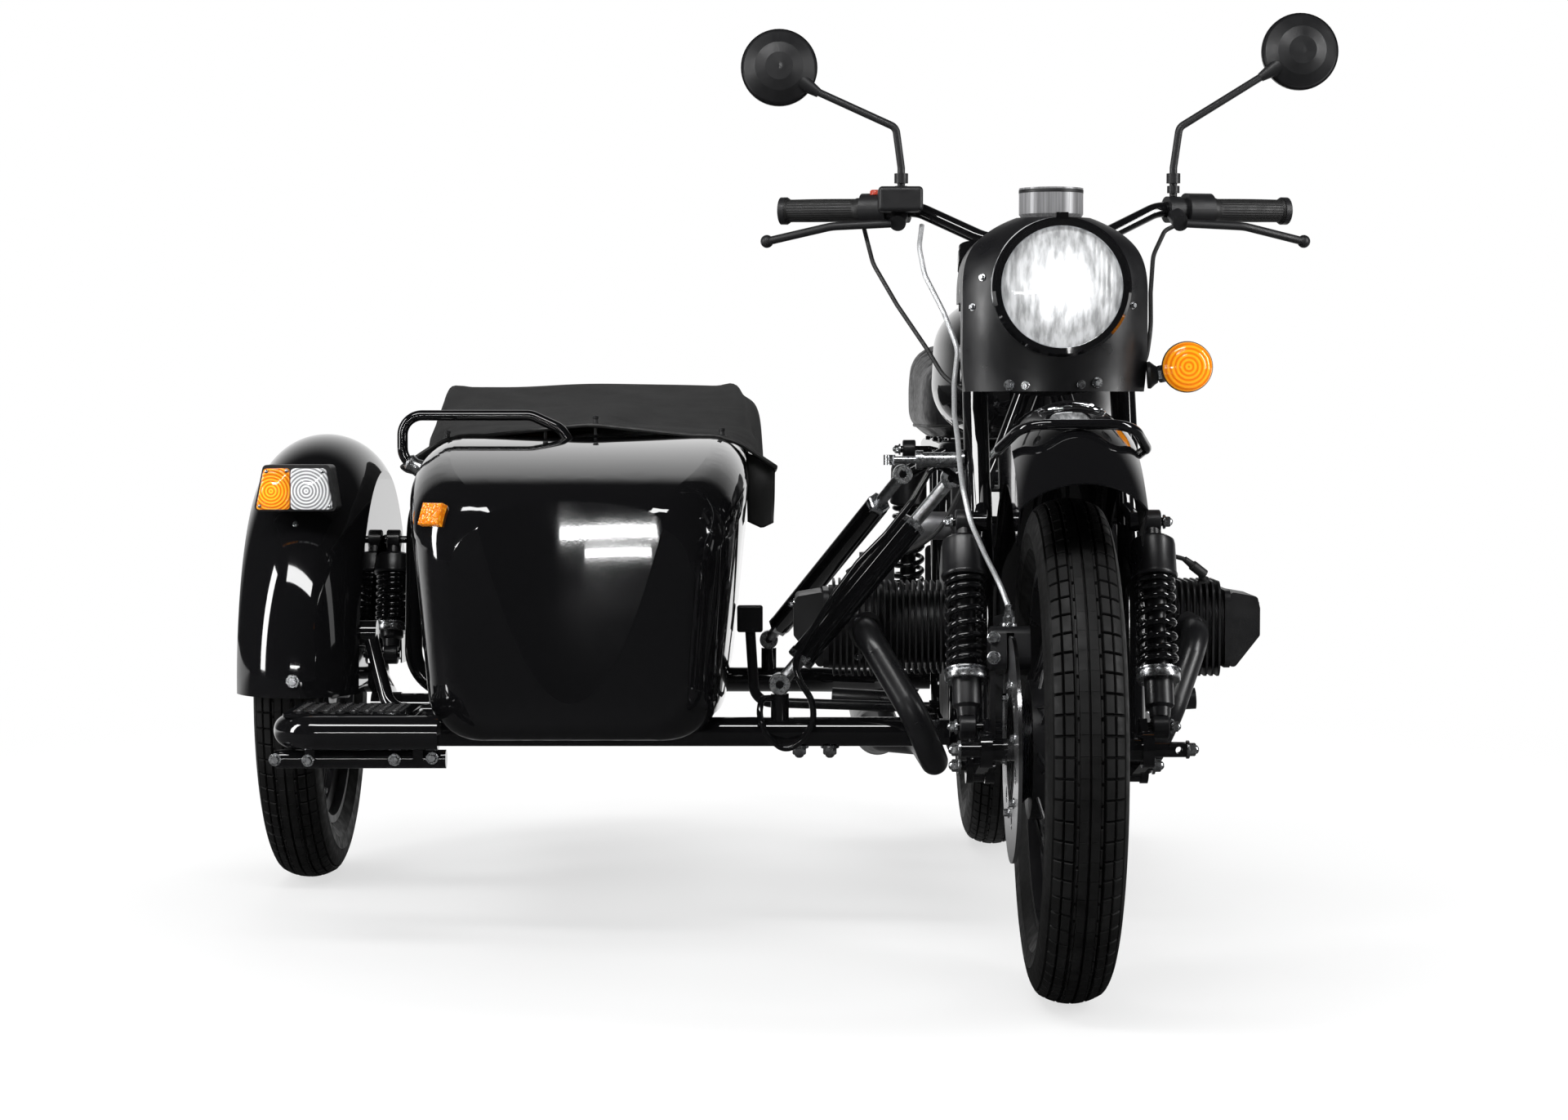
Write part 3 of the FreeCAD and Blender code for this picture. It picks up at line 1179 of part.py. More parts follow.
def main_frame():
    """The tube frame with its lugs, bored for the steering stem and hollowed round the struts' eyes."""
    made = join(frame_tubes() + frame_lugs())
    bore = Part.makeCylinder(STEM_RADIUS + FIT, HEAD_TOP_W - HEAD_LOW_W + 80, V(0, 0, HEAD_LOW_W - 40))
    cuts = [steered(bore)]
    half = STRUT_EYE + SEAT
    for lower, (x, y, z) in STRUTS:
        cuts.append(bar((x, y - half, z), (x, y + half, z), half))
    keep("main_frame", made.cut(cuts))


# Engine
def crankcase():
    """The crankcase with its timing cover and finned sump, a solid block."""
    half = CASE_HALF
    case = plate([(ENGINE_X - half, 486, CASE_LOW_Z), (ENGINE_X - half, 740, CASE_LOW_Z),
                  (ENGINE_X - half, 752, 520), (ENGINE_X - half, 700, 560),
                  (ENGINE_X - half, 560, 566), (ENGINE_X - half, 494, 520)], 26, (2 * half, 0, 0))
    front = join([bar((0, 466, FACE_Z), (0, 500, FACE_Z), 84), bar((0, 458, FACE_Z), (0, 470, FACE_Z), 62)])
    sump = box(-88, 88, 520, 716, SUMP_LOW_Z, CASE_LOW_Z + 1)
    fins = []
    for i in range(SUMP_FINS):
        y = 528 + SUMP_FIN_PITCH * i
        fins.append(box(-88, 88, y, y + SUMP_FIN_THICKNESS, SUMP_LOW_Z - 6, SUMP_LOW_Z + 8))
    return join([case, front, sump] + fins)


def fin(x, half, push):
    """One cooling fin, a square plate with round corners across the cylinder's axis."""
    y, z = CYLINDER_Y, CYLINDER_Z
    return plate([(x, y - half, z - half), (x, y + half, z - half), (x, y + half, z + half),
                  (x, y - half, z + half)], FIN_CORNER, (push, 0, 0))


def cylinder(side):
    """A finned barrel and head with a flanged exhaust port in front and an inlet port behind."""
    def on_side(x, dy=0.0, dz=0.0):
        return (ENGINE_X + side * x, CYLINDER_Y + dy, CYLINDER_Z + dz)

    start, end = CASE_HALF + SEAT, ENGINE_HALF - ROCKER_DEPTH
    head_x = start + FIRST_FIN + FIN_PITCH * BARREL_FINS
    pieces = [
        bar(on_side(start), on_side(end), BARREL_RADIUS),
        bar(on_side(head_x), on_side(end), BARREL_RADIUS + 8),
        bar(on_side(PORT_X, -40), on_side(PORT_X, -PORT_REACH), 25),
        bar(on_side(INLET_X, 40, INLET_UP), on_side(INLET_X, 92, INLET_UP), 22),
    ]
    for i in range(BARREL_FINS + HEAD_FINS):
        size = FIN_SIZE / 2 + (HEAD_FIN_EXTRA if i >= BARREL_FINS else 0)
        pieces.append(fin(ENGINE_X + side * (start + FIRST_FIN + FIN_PITCH * i), size, side * FIN_THICKNESS))
    face = 7 - PORT_REACH
    flange = [on_side(PORT_X - 30, face, -12), on_side(PORT_X + 12, face, -34),
              on_side(PORT_X + 30, face, 12), on_side(PORT_X - 12, face, 34)]
    pieces.append(plate(flange, 16, (0, -7, 0)))
    return join(pieces)


def rocker_cover(side):
    """A rocker cover: deepest along a ridge at half height, and slanted inwards below it."""
    def at(x, y, z):
        return (ENGINE_X + side * x, y, z)

    inner, outer = ENGINE_HALF - ROCKER_DEPTH + SEAT, ENGINE_HALF
    low, high = CYLINDER_Z - ROCKER_HALF_HEIGHT, CYLINDER_Z + ROCKER_HALF_HEIGHT
    y0, y1 = CYLINDER_Y - ROCKER_HALF_WIDTH, CYLINDER_Y + ROCKER_HALF_WIDTH
    front = y0 + 4
    body = plate([at(inner + 7, front, low + 2), at(inner + 7, front, high - 2),
                  at(outer - 4, front, high - 9), at(outer, front, high - 26),
                  at(outer, front, low + 48), at(outer - 36, front, low + 2)], 6, (0, y1 - y0 - 8, 0))
    flange = plate([at(inner, y0, low), at(inner, y1, low), at(inner, y1, high), at(inner, y0, high)], 14,
                   (side * 8, 0, 0))
    return join([body, flange])


def gearbox(case):
    """The gearbox behind the crankcase, with bosses for the kick starter and the brake pedal."""
    body = loft([upright_section(y, 0, half, half, z0, z1, 34) for y, half, z0, z1 in GEARBOX_ROWS])
    bosses = [bar((60, KICK_Y, KICK_Z), (KICK_X - SEAT, KICK_Y, KICK_Z), 18),
              bar((60, BRAKE_Y, BRAKE_Z), (BRAKE_X - SEAT, BRAKE_Y, BRAKE_Z), 13)]
    return join([body] + bosses).cut(case)


def induction(side):
    """A carburettor and the duct from it to the air box."""
    def on_side(x, dy, dz):
        return (ENGINE_X + side * x, CYLINDER_Y + dy, CYLINDER_Z + dz)

    body = join([bar(on_side(INLET_X, 92 + SEAT, INLET_UP), on_side(INLET_X, 122, INLET_UP), 24),
                 bar(on_side(INLET_X, 112, INLET_UP), on_side(212, 190, 72), 23),
                 bar(on_side(214, 140, 16), on_side(214, 140, 104), 27)])
    back_y, high_z = CYLINDER_Y + DUCT_BACK, CYLINDER_Z + DUCT_UP
    duct = pipe([on_side(212, 194, 74), on_side(204, 252, 98), (side * 150, back_y, high_z),
                 (side * DUCT_END_X, back_y, high_z)], DUCT_RADIUS, 40)
    return body, duct


def engine():
    """Crankcase, gearbox, cylinders, rocker covers, carburettors with their ducts, and the air box."""
    case = crankcase()
    keep("engine_case", case)
    keep("gearbox", gearbox(case))
    for side in (-1, 1):
        keep("cylinders", cylinder(side))
        keep("rocker_covers", rocker_cover(side))
        keep("carburettors", *induction(side))
    high = RAIL_Z - UNDER_RAIL - BACKBONE_RADIUS - SEAT
    x, y0, y1 = -AIR_BOX_HALF, AIR_BOX_FRONT_Y, AIR_BOX_REAR_Y
    keep("air_box", plate([(x, y0, AIR_BOX_LOW_Z), (x, y1, AIR_BOX_LOW_Z), (x, y1, high), (x, y0, high)], 12,
                          (-2 * x, 0, 0)))


def exhausts():
    """A header from each head's front, bent down and back to a long silencer."""
    for side in (-1, 1):
        y = CYLINDER_Y - PORT_REACH - SEAT
        port, can_x = ENGINE_X + side * PORT_X, side * MUFFLER_X
        header = pipe([(port, y, CYLINDER_Z), (port, y - 72, CYLINDER_Z), (side * 182, y - 124, 336),
                       (side * HEADER_X, y - 106, HEADER_Z), (side * HEADER_X, 880, HEADER_Z - 20),
                       (can_x, 990, MUFFLER_Z), (can_x, MUFFLER_Y + 30, MUFFLER_Z)], PIPE_RADIUS, HEADER_BEND)
        shoulder = MUFFLER_LENGTH - MUFFLER_TAIL
        can = turned([(0, 0), (0, PIPE_RADIUS + 2), (MUFFLER_CONE, MUFFLER_RADIUS),
                      (shoulder, MUFFLER_RADIUS), (MUFFLER_LENGTH, 30), (MUFFLER_LENGTH, MUFFLER_BORE),
                      (shoulder, MUFFLER_BORE), (shoulder, 0)], (can_x, MUFFLER_Y, MUFFLER_Z), (0, 1, 0))
        keep("exhausts", join([header, can]))


# Tank and seat
def tank():
    """A teardrop tank over the backbone."""
    body = loft([upright_section(y, 0, low, top, z0, z1, r) for y, low, top, z0, z1, r in TANK_ROWS])
    cap_y = TANK_FRONT_Y + TANK_CAP_BACK
    cap = bar((0, cap_y, TANK_TOP_Z - 6), (0, cap_y + 4, TANK_TOP_Z + 12), TANK_CAP_RADIUS)
    tunnel = pipe(backbone_path(990), BACKBONE_RADIUS + TUNNEL_GAP, FRAME_BEND)
    keep("fuel_tank", join([body, cap]).cut(tunnel))


def seat():
    """A long bench seat, a closed solid."""
    rows = [upright_section(y, 0, low, top, z0, z1, r) for y, low, top, z0, z1, r in SEAT_ROWS]
    keep("bench_seat", loft(rows))


# Rear end
def swinging_arm(shock_y, shock_z):
    """Two bowed arms on a cross tube, with the rear axle and the spring units' pins."""
    axle_y, tie_y = WHEELBASE, SWING_PIVOT_Y + 12
    pieces = [bar((-93, tie_y, SWING_PIVOT_Z), (93, tie_y, SWING_PIVOT_Z), SWING_TIE_RADIUS),
              bar((-128, axle_y, TYRE_RADIUS), (132, axle_y, TYRE_RADIUS), AXLE_RADIUS)]
    for side in (-1, 1):
        x = side * SWING_ARM_X
        pieces.append(pipe([(side * 72, tie_y, SWING_PIVOT_Z), (x, SWING_PIVOT_Y + 110, SWING_PIVOT_Z - 4),
                            (x, axle_y, TYRE_RADIUS)], SWING_ARM_RADIUS))
        pieces.append(bar((x - side * 10, axle_y, TYRE_RADIUS), (x + side * 10, axle_y, TYRE_RADIUS), 26))
        pieces.append(bar((x, shock_y, TYRE_RADIUS + 4), (x, shock_y, shock_z + 8), 13))
        pieces.append(bar((side * 92, shock_y, shock_z),
                          (side * (REAR_SHOCK_X + SHOCK_PIN_END), shock_y, shock_z), SHOCK_PIN))
        pieces.append(bar((side * (HUB_WIDTH / 2 + SPACER_PLAY), axle_y, TYRE_RADIUS),
                          (side * 92, axle_y, TYRE_RADIUS), SPACER_RADIUS))
    keep("swinging_arm", join(pieces))


def tail():
    """The rear mudguard with the lamp on it and the number plate's bracket under the lamp."""
    axle_y = WHEELBASE
    sheet = guard_arc(REAR_GUARD_RADIUS, REAR_GUARD_HALF, REAR_GUARD_SKIRT, REAR_GUARD_FROM, REAR_GUARD_TO,
                      REAR_GUARD_CROWN)
    keep("rear_mudguard", moved(sheet, 0, axle_y, REAR_GUARD_Z))
    y, z = guard_point(axle_y, REAR_GUARD_Z, REAR_GUARD_RADIUS, TAIL_LAMP_DEG)
    around = moved(guard_round(REAR_GUARD_RADIUS, 120), 0, axle_y, REAR_GUARD_Z)
    lamp = join([box(-46, 46, y - 10, y + 34, z - 22, z + 30), box(-30, 30, y + 33, y + 46, z - 10, z + 20)])
    keep("tail_lamp", lamp.cut(around))
    face_y, top_z = y + PLATE_OUT, z - 28
    low_z, middle_z = top_z - PLATE_HEIGHT, top_z - PLATE_HEIGHT / 2
    bracket = plate([(-PLATE_HALF, face_y, top_z), (PLATE_HALF, face_y, top_z), (PLATE_HALF, face_y, low_z),
                     (-PLATE_HALF, face_y, low_z)], 10, (0, PLATE_SHEET, 0))
    studs = [bar((0, face_y + 1, z - drop), (0, y, z - drop), 9) for drop in (60, 120)]
    holes = []
    for x in (-PLATE_HOLE_X, PLATE_HOLE_X):
        for hole_z in (middle_z - PLATE_HOLE_Z, middle_z + PLATE_HOLE_Z):
            holes.append(bar((x, face_y - 5, hole_z), (x, face_y + 10, hole_z), PLATE_HOLE_RADIUS))
    keep("plate_bracket", join([bracket] + studs).cut([around] + holes))


def rear_end():
    """Swinging arm with the bevel box, spring units, mudguard, lamp and plate bracket."""
    axle_y = WHEELBASE
    shock_y, shock_z = axle_y + REAR_SHOCK_LOW[0], TYRE_RADIUS + REAR_SHOCK_LOW[1]
    swinging_arm(shock_y, shock_z)
    profile = [(DRIVE_X + x, radius) for x, radius in DRIVE_PROFILE]
    nose = cone((-150, axle_y - 60, TYRE_RADIUS - 8), (-146, axle_y - 128, TYRE_RADIUS - 6), 34, 20)
    keep("final_drive", join([turned(profile, (0, axle_y, TYRE_RADIUS)), nose]))
    for side in (-1, 1):
        keep("rear_shocks", *spring_unit((side * REAR_SHOCK_X, shock_y, shock_z),
                                         (side * REAR_SHOCK_X, REAR_SHOCK_TOP_Y, RAIL_Z - 6), REAR_SHOCK_CAN))
    tail()


# Foot controls
def foot_controls():
    """Footrests, gear pedal, kick starter and brake pedal."""
    for side in (-1, 1):
        keep("foot_controls", join([
            bar((side * PEG_X, PEG_Y, PEG_Z), (side * 152, PEG_Y, PEG_Z), 9),
            bar((side * 146, PEG_Y, PEG_Z), (side * 192, PEG_Y, 300), 9),
            bar((side * 190, PEG_Y, 300), (side * PEG_TIP_X, PEG_Y, 306), 17)]))
    keep("foot_controls", join([
        pipe([(PEDAL_X, PEDAL_Y, PEDAL_Z), (-160, PEDAL_Y, PEDAL_Z), (-412, 880, 306), (-419, 826, 430)],
             8, 30),
        softened(box(*PEDAL_PAD), 4)]))
    keep("foot_controls", join([
        bar((BRAKE_X, BRAKE_Y, BRAKE_Z), (158, BRAKE_Y, BRAKE_Z), 9),
        bar((154, BRAKE_Y, BRAKE_Z), (160, 790, BRAKE_Z), 7),
        bar((150, 790, BRAKE_Z), (PEDAL_TIP_X, 790, BRAKE_Z), 11)]))
    keep("foot_controls", join([
        bar((KICK_X, KICK_Y, KICK_Z), (146, KICK_Y, KICK_Z), 11),
        bar((140, KICK_Y, KICK_Z), (146, 930, 560), 9),
        bar((140, 930, 560), (PEDAL_TIP_X, 930, 560), 10)]))


# Sidecar chassis
def spring_tower(top):
    """A hoop of tube beside the side wheel, with the pin that the spring unit hangs from."""
    x, y, foot_x, foot_z = TOWER_X, SIDE_WHEEL_Y, CHASSIS_OUTER_X + 5, CHASSIS_Z + 1
    knee_z = CHASSIS_Z + 30
    hoop = pipe([(foot_x, y - TOWER_FOOT, foot_z), (x, y - TOWER_FOOT, knee_z), (x, y - TOWER_HALF, top),
                 (x, y + TOWER_HALF, top), (x, y + TOWER_FOOT, knee_z), (foot_x, y + TOWER_FOOT, foot_z)],
                TOWER_RADIUS, 70)
    post = bar((x, y, top - 3), (x, y, SIDE_SHOCK_TOP_Z - 10), 11)
    pin = bar((x + 3, y, SIDE_SHOCK_TOP_Z), (SIDE_SHOCK_X - 15, y, SIDE_SHOCK_TOP_Z), SHOCK_PIN)
    return [hoop, post, pin]


def sidecar_frame():
    """A ladder of round tube under the body, with the swinging arm's pivot and a tower for its spring."""
    z, r = CHASSIS_Z, CHASSIS_TUBE
    end_x = BUMPER_LEG_X - BUMPER_LEG_RADIUS
    pieces = [
        bar((-176, CHASSIS_FRONT_Y, z), (end_x, CHASSIS_FRONT_Y, z), r),
        pipe([(-158, SIDE_LUG_Y, SIDE_LUG_Z), (-176, 1190, 312), (-300, CHASSIS_REAR_Y, z),
              (end_x, CHASSIS_REAR_Y, z)], r, CHASSIS_BEND),
        bar((SIDE_LUG_X - 0.5, SIDE_LUG_Y, SIDE_LUG_Z), (LUG_END_X, SIDE_LUG_Y, SIDE_LUG_Z), 24),
        box(LUG_END_X, SIDE_LUG_X - 0.1, CHASSIS_FRONT_Y - 12, CHASSIS_FRONT_Y + 12, z - 18, z + 18),
    ]
    for (x, y, eye_z), upper in STRUTS:
        pieces.append(bar((x, y, z), (x, y, eye_z - STRUT_EYE - SEAT), 13))
    for x in (CHASSIS_INNER_X, CHASSIS_OUTER_X):
        pieces.append(bar((x, CHASSIS_FRONT_Y + 3, z), (x, CHASSIS_TAIL_Y, z), r - 2))
        for y in (CHASSIS_FRONT_Y + 160, 1000, 1600):
            pieces.append(bar((x, y, z + 4), (x, y, TUB_FLOOR_Z - SEAT), POST_RADIUS))
    tail_y = CHASSIS_TAIL_Y - 24
    pieces.append(bar((CHASSIS_INNER_X - 3, tail_y, z), (CHASSIS_OUTER_X + 3, tail_y, z), r - 4))
    pieces.append(bar((CHASSIS_OUTER_X + 4, ARM_PIVOT_Y, z), (ARM_PIVOT_X + SEAT, ARM_PIVOT_Y, z), 24))
    pieces += spring_tower(SIDE_SHOCK_TOP_Z + TOWER_RISE)
    skirt_x = SIDE_GUARD_X + SIDE_GUARD_HALF + SEAT
    for y, pad_y in GUARD_STAYS_Y:
        pieces.append(pipe([(CHASSIS_OUTER_X + 4, y, z + 2), (skirt_x + 52, y, z + 2),
                            (skirt_x + 12, pad_y, GUARD_STAY_Z)], 11, 40))
        pieces.append(bar((skirt_x, pad_y, GUARD_STAY_Z), (skirt_x + 24, pad_y, GUARD_STAY_Z), 20))
    keep("sidecar_frame", join(pieces))


def sidecar_arm():
    """A trailing arm with the stub axle, and its spring unit."""
    y, outer = SIDE_WHEEL_Y, -TRACK - HUB_WIDTH / 2
    low_y, low_z = y - 46, TYRE_RADIUS + 42
    lug_x = SIDE_SHOCK_X - 24
    pieces = [
        bar((ARM_PIVOT_X, ARM_PIVOT_Y, CHASSIS_Z), (ARM_PIVOT_X - 46, ARM_PIVOT_Y, CHASSIS_Z), 26),
        pipe([(ARM_PIVOT_X - 23, ARM_PIVOT_Y + 4, CHASSIS_Z), (ARM_PIVOT_X - 47, y - 120, CHASSIS_Z + 4),
              (STUB_X - 16, y, TYRE_RADIUS)], 19, 80),
        bar((STUB_X, y, TYRE_RADIUS), (HUB_WIDTH / 2 + SPACER_PLAY - TRACK, y, TYRE_RADIUS), STUB_RADIUS),
        bar((STUB_X - 2, y, TYRE_RADIUS), (outer - SIDE_AXLE_END, y, TYRE_RADIUS), AXLE_RADIUS),
        bar((outer - 1, y, TYRE_RADIUS), (outer - 16, y, TYRE_RADIUS), 17),
        plate([(lug_x, low_y - 18, low_z - 54), (lug_x, low_y + 18, low_z - 50),
               (lug_x, low_y + 14, low_z + 14), (lug_x, low_y - 14, low_z + 14)], 8, (11, 0, 0)),
        bar((SIDE_SHOCK_X - 20, low_y, low_z), (SIDE_SHOCK_X + 15, low_y, low_z), SHOCK_PIN),
    ]
    keep("sidecar_arm", join(pieces))
    keep("sidecar_shock", *spring_unit((SIDE_SHOCK_X, low_y, low_z), (SIDE_SHOCK_X, y, SIDE_SHOCK_TOP_Z),
                                       SHOCK_CAN))


def struts():
    """Two adjustable struts, each a tube with a threaded eye at both ends."""
    for low, top in STRUTS:
        a, b = V(*low), V(*top)
        along = unit(b - a)

        def at(distance):
            p = a + along * distance
            return (p.x, p.y, p.z)

        span = (b - a).Length
        strut = [bar(at(STRUT_LOW), at(span - STRUT_HIGH), STRUT_RADIUS), bar(at(0), at(span), STRUT_ROD),
                 bar(at(STRUT_LOW - 8), at(STRUT_LOW + 4), 17),
                 bar(at(span - STRUT_HIGH - 4), at(span - STRUT_HIGH + 8), 16)]
        for x, y, z in (low, top):
            strut.append(bar((x, y - STRUT_EYE, z), (x, y + STRUT_EYE, z), STRUT_EYE))
        keep("struts", join(strut))
    keep("struts", pipe(CONDUIT_ROUTE, CONDUIT_RADIUS, 40))


# Sidecar body
TUB_ROWS = (
    # y, half width at the floor, half width at the top, low z, top z, corner radius
    (332.0, 150.0, 172.0, 330.0, 604.0, 60.0),
    (346.0, 178.0, 202.0, 304.0, 638.0, 72.0),
    (384.0, 198.0, 230.0, 298.0, 662.0, 70.0),
    (450.0, 205.0, 244.0, 300.0, 682.0, 62.0),
    (770.0, 208.0, 250.0, 306.0, 724.0, 58.0),
    (1120.0, 208.0, 250.0, 308.0, 716.0, 58.0),
    (1450.0, 206.0, 246.0, 310.0, 738.0, 60.0),
    (1750.0, 188.0, 224.0, 322.0, 690.0, 66.0),
    (1950.0, 150.0, 184.0, 368.0, 600.0, 62.0),
    (TUB_REAR_Y, 104.0, 126.0, 424.0, 540.0, 44.0),
)
NOSE_DISH_RADIUS = 732.0
NOSE_DISH_DEPTH = 12.0


def tub_loft(inset):
    """The body's outer form, or the same form a wall's thickness inside it."""
    rows = []
    for i, (y, low, top, z0, z1, r) in enumerate(TUB_ROWS):
        end = 1 if i == 0 else -1 if i == len(TUB_ROWS) - 1 else 0
        rows.append(upright_section(y + end * inset, TUB_X, low - inset, top - inset, z0 + inset, z1 - inset,
                                    max(r - inset, 10)))
    return loft(rows)


def nose_dish(inset):
    """The shallow upright hollow in the nose's face, or the same for the wall's inner side."""
    face = TUB_ROWS[0][0] + NOSE_DISH_DEPTH + inset
    middle = face - NOSE_DISH_RADIUS
    return bar((TUB_X, middle - 20, 200), (TUB_X, middle + 8, 800), NOSE_DISH_RADIUS)


def upward(half, front_y, rear_y, z, corner, height):
    """A block with rounded upright edges, on the body's middle plane."""
    return plate([(TUB_X - half, front_y, z), (TUB_X + half, front_y, z), (TUB_X + half, rear_y, z),
                  (TUB_X - half, rear_y, z)], corner, (0, 0, height))


def tub():
    """A hollow sheet body with a cockpit, a bulkhead and a boot, and the boot's lid from the same form."""
    left, right = TUB_X - TUB_REACH, TUB_X + TUB_REACH
    step = box(left, right, TUB_LIP_Y, 2200, 200, TUB_FLOOR_Z)
    step_in = box(left, right, TUB_LIP_Y - TUB_WALL, 2200, 200, TUB_FLOOR_Z + TUB_WALL)
    outer = tub_loft(0).cut([step, nose_dish(0)])
    inner = tub_loft(TUB_WALL).cut([step_in, nose_dish(TUB_WALL)])
    shell = outer.cut(inner)
    cockpit = upward(COCKPIT_HALF, COCKPIT_FRONT_Y, COCKPIT_REAR_Y, 560, COCKPIT_CORNER, 400)
    bulkhead = inner.common(box(left, right, BULKHEAD_Y, BULKHEAD_Y + TUB_WALL, 200, 900))

    def boot(grow):
        return upward(BOOT_HALF + grow, BOOT_FRONT_Y - grow, BOOT_REAR_Y + grow, 480, BOOT_CORNER + grow, 500)

    body = shell.cut([cockpit, boot(LID_GAP)]).fuse(bulkhead)
    lid = largest(shell.common(boot(0)))
    top = top_of(outer, TUB_X, HINGE_Y)
    hinge_z = top + HINGE_RISE
    knuckle_end, leaf_end = HINGE_HALF + HINGE_CHEEK_GAP + HINGE_CHEEK, BOOT_FRONT_Y + HINGE_LEAF
    fixed, swinging, bores = [], [], []

    def hinge_bar(x, half, radius):
        return bar((x - half, HINGE_Y, hinge_z), (x + half, HINGE_Y, hinge_z), radius)

    for x in (TUB_X - HINGE_X, TUB_X + HINGE_X):
        near, far = x - HINGE_HALF, x + HINGE_HALF
        for cheek in (x - knuckle_end, far + HINGE_CHEEK_GAP):
            fixed.append(box(cheek, cheek + HINGE_CHEEK, HINGE_Y - 8, HINGE_Y + 6, top - 3, hinge_z + 6))
        fixed.append(hinge_bar(x, knuckle_end, HINGE_PIN))
        swinging.append(hinge_bar(x, HINGE_HALF, HINGE_PIN + 3))
        swinging.append(box(near, far, HINGE_Y, leaf_end, hinge_z - 2, hinge_z + 3))
        leaf_z = top_of(outer, x, leaf_end) - 2.5
        swinging.append(box(near, far, leaf_end - 20, leaf_end, leaf_z, hinge_z + 3))
        bores.append(hinge_bar(x, 50, HINGE_PIN + FIT))
    keep("tub", join([body] + fixed))
    keep("boot_lid", join([lid] + swinging).cut(bores))
    print("lid hinge", HINGE_Y, round(hinge_z, 2))


TONNEAU_ROWS = (
    # y, half width, lowest z at the sides, z of the shoulders, rise of the middle, shoulder radius
    (764.0, 252.0, 668.0, 708.0, 22.0, 16.0),
    (900.0, 254.0, 664.0, 726.0, 26.0, 30.0),
    (1120.0, 258.0, 656.0, 762.0, 14.0, 44.0),
    (1340.0, 264.0, 652.0, 800.0, 4.0, 52.0),
    (1404.0, 262.0, 652.0, 798.0, 4.0, 52.0),
    (1444.0, 256.0, 664.0, 762.0, 4.0, 40.0),
)
TONNEAU_SHEET = 4.0


def cover_section(y, half, low, shoulder, rise, radius, inset):
    """The cover across the body at y: upright sides, round shoulders and a slightly raised middle."""
    h, top = half - inset, shoulder - inset
    return rounded_outline([(TUB_X - h, y, low), (TUB_X + h, y, low), (TUB_X + h - 6, y, top),
                            (TUB_X, y, top + rise), (TUB_X - h + 6, y, top)], max(radius - inset, 6))


def tonneau():
    """A fabric cover over the cockpit, a thin closed sheet that rises to a bow behind the seat."""
    outer = loft([cover_section(*row, 0) for row in TONNEAU_ROWS])
    inner = loft([cover_section(*row, TONNEAU_SHEET) for row in TONNEAU_ROWS])
    cover = outer.cut([tub_loft(-SEAT), inner])
    keep("tonneau", largest(cover))


def grab_rail():
    """A bent rail over the right half of the cowl."""
    route = [(x, RAIL_Y, z) for x, z in GRAB_RAIL_ROUTE]
    keep("grab_rail", pipe(route, GRAB_RAIL_RADIUS, GRAB_RAIL_BEND).cut(tub_loft(0)))


def sidecar_mudguard():
    """The side wheel's mudguard and its lamps: amber and clear in front, red behind."""
    x, centre_y, centre_z = SIDE_GUARD_X, SIDE_WHEEL_Y, SIDE_GUARD_Z
    sheet = guard_arc(SIDE_GUARD_RADIUS, SIDE_GUARD_HALF, SIDE_GUARD_SKIRT, SIDE_GUARD_FROM, SIDE_GUARD_TO,
                      SIDE_GUARD_CROWN)
    keep("sidecar_mudguard", moved(sheet, x, centre_y, centre_z))
    around = moved(guard_round(SIDE_GUARD_RADIUS, 120), x, centre_y, centre_z)
    front_y = guard_point(centre_y, centre_z, SIDE_GUARD_RADIUS + 4, -50)[0] - 34
    outline = [(x + dx, front_y, z) for dx, z in SIDE_LAMP_OUTLINE]
    keep("sidecar_lamps", plate(outline, 7, (0, 60, 0)).cut(around))
    y, z = guard_point(centre_y, centre_z, SIDE_GUARD_RADIUS + 4, 60)
    rear = softened(box(x - 40, x + 40, y - 20, y + 40, z - 26, z + 26), 5)
    keep("sidecar_lamps", rear.cut(around))


def bumper():
    """A thick tube bent round the step's front, a lower bar hung from it and the step's plate on top."""
    x0, x1, y, z = BUMPER_OUTER_X, BUMPER_INNER_X, BUMPER_Y, BUMPER_Z
    end_y = CHASSIS_FRONT_Y - CHASSIS_TUBE - SEAT
    tube = pipe([(x1, y, z), (x0, y, z), (x0, end_y + 60, z)], BUMPER_RADIUS, BUMPER_BEND)
    leg = bar((BUMPER_LEG_X, y, z), (BUMPER_LEG_X, end_y, z), BUMPER_LEG_RADIUS)
    low_y, low_z = y + LOWER_BAR_BACK, z - LOWER_BAR_DROP
    lower = bar((x1 + 8, low_y, low_z), (x0 - 18, low_y, low_z), LOWER_BAR_RADIUS)
    hangers = [box(x - 7, x + 7, low_y - 14, low_y + 14, low_z - 3, z - 12) for x in (x1 - 30, x0 + 30)]
    left, right, step_z = x0 - 6, x1 - 40, z + STEP_RISE
    step = plate([(left, y, step_z), (right, y, step_z), (right, end_y, step_z), (left, end_y, step_z)], 8,
                 (0, 0, STEP_PLATE))
    keep("bumper", join([tube, leg, lower, step] + hangers))


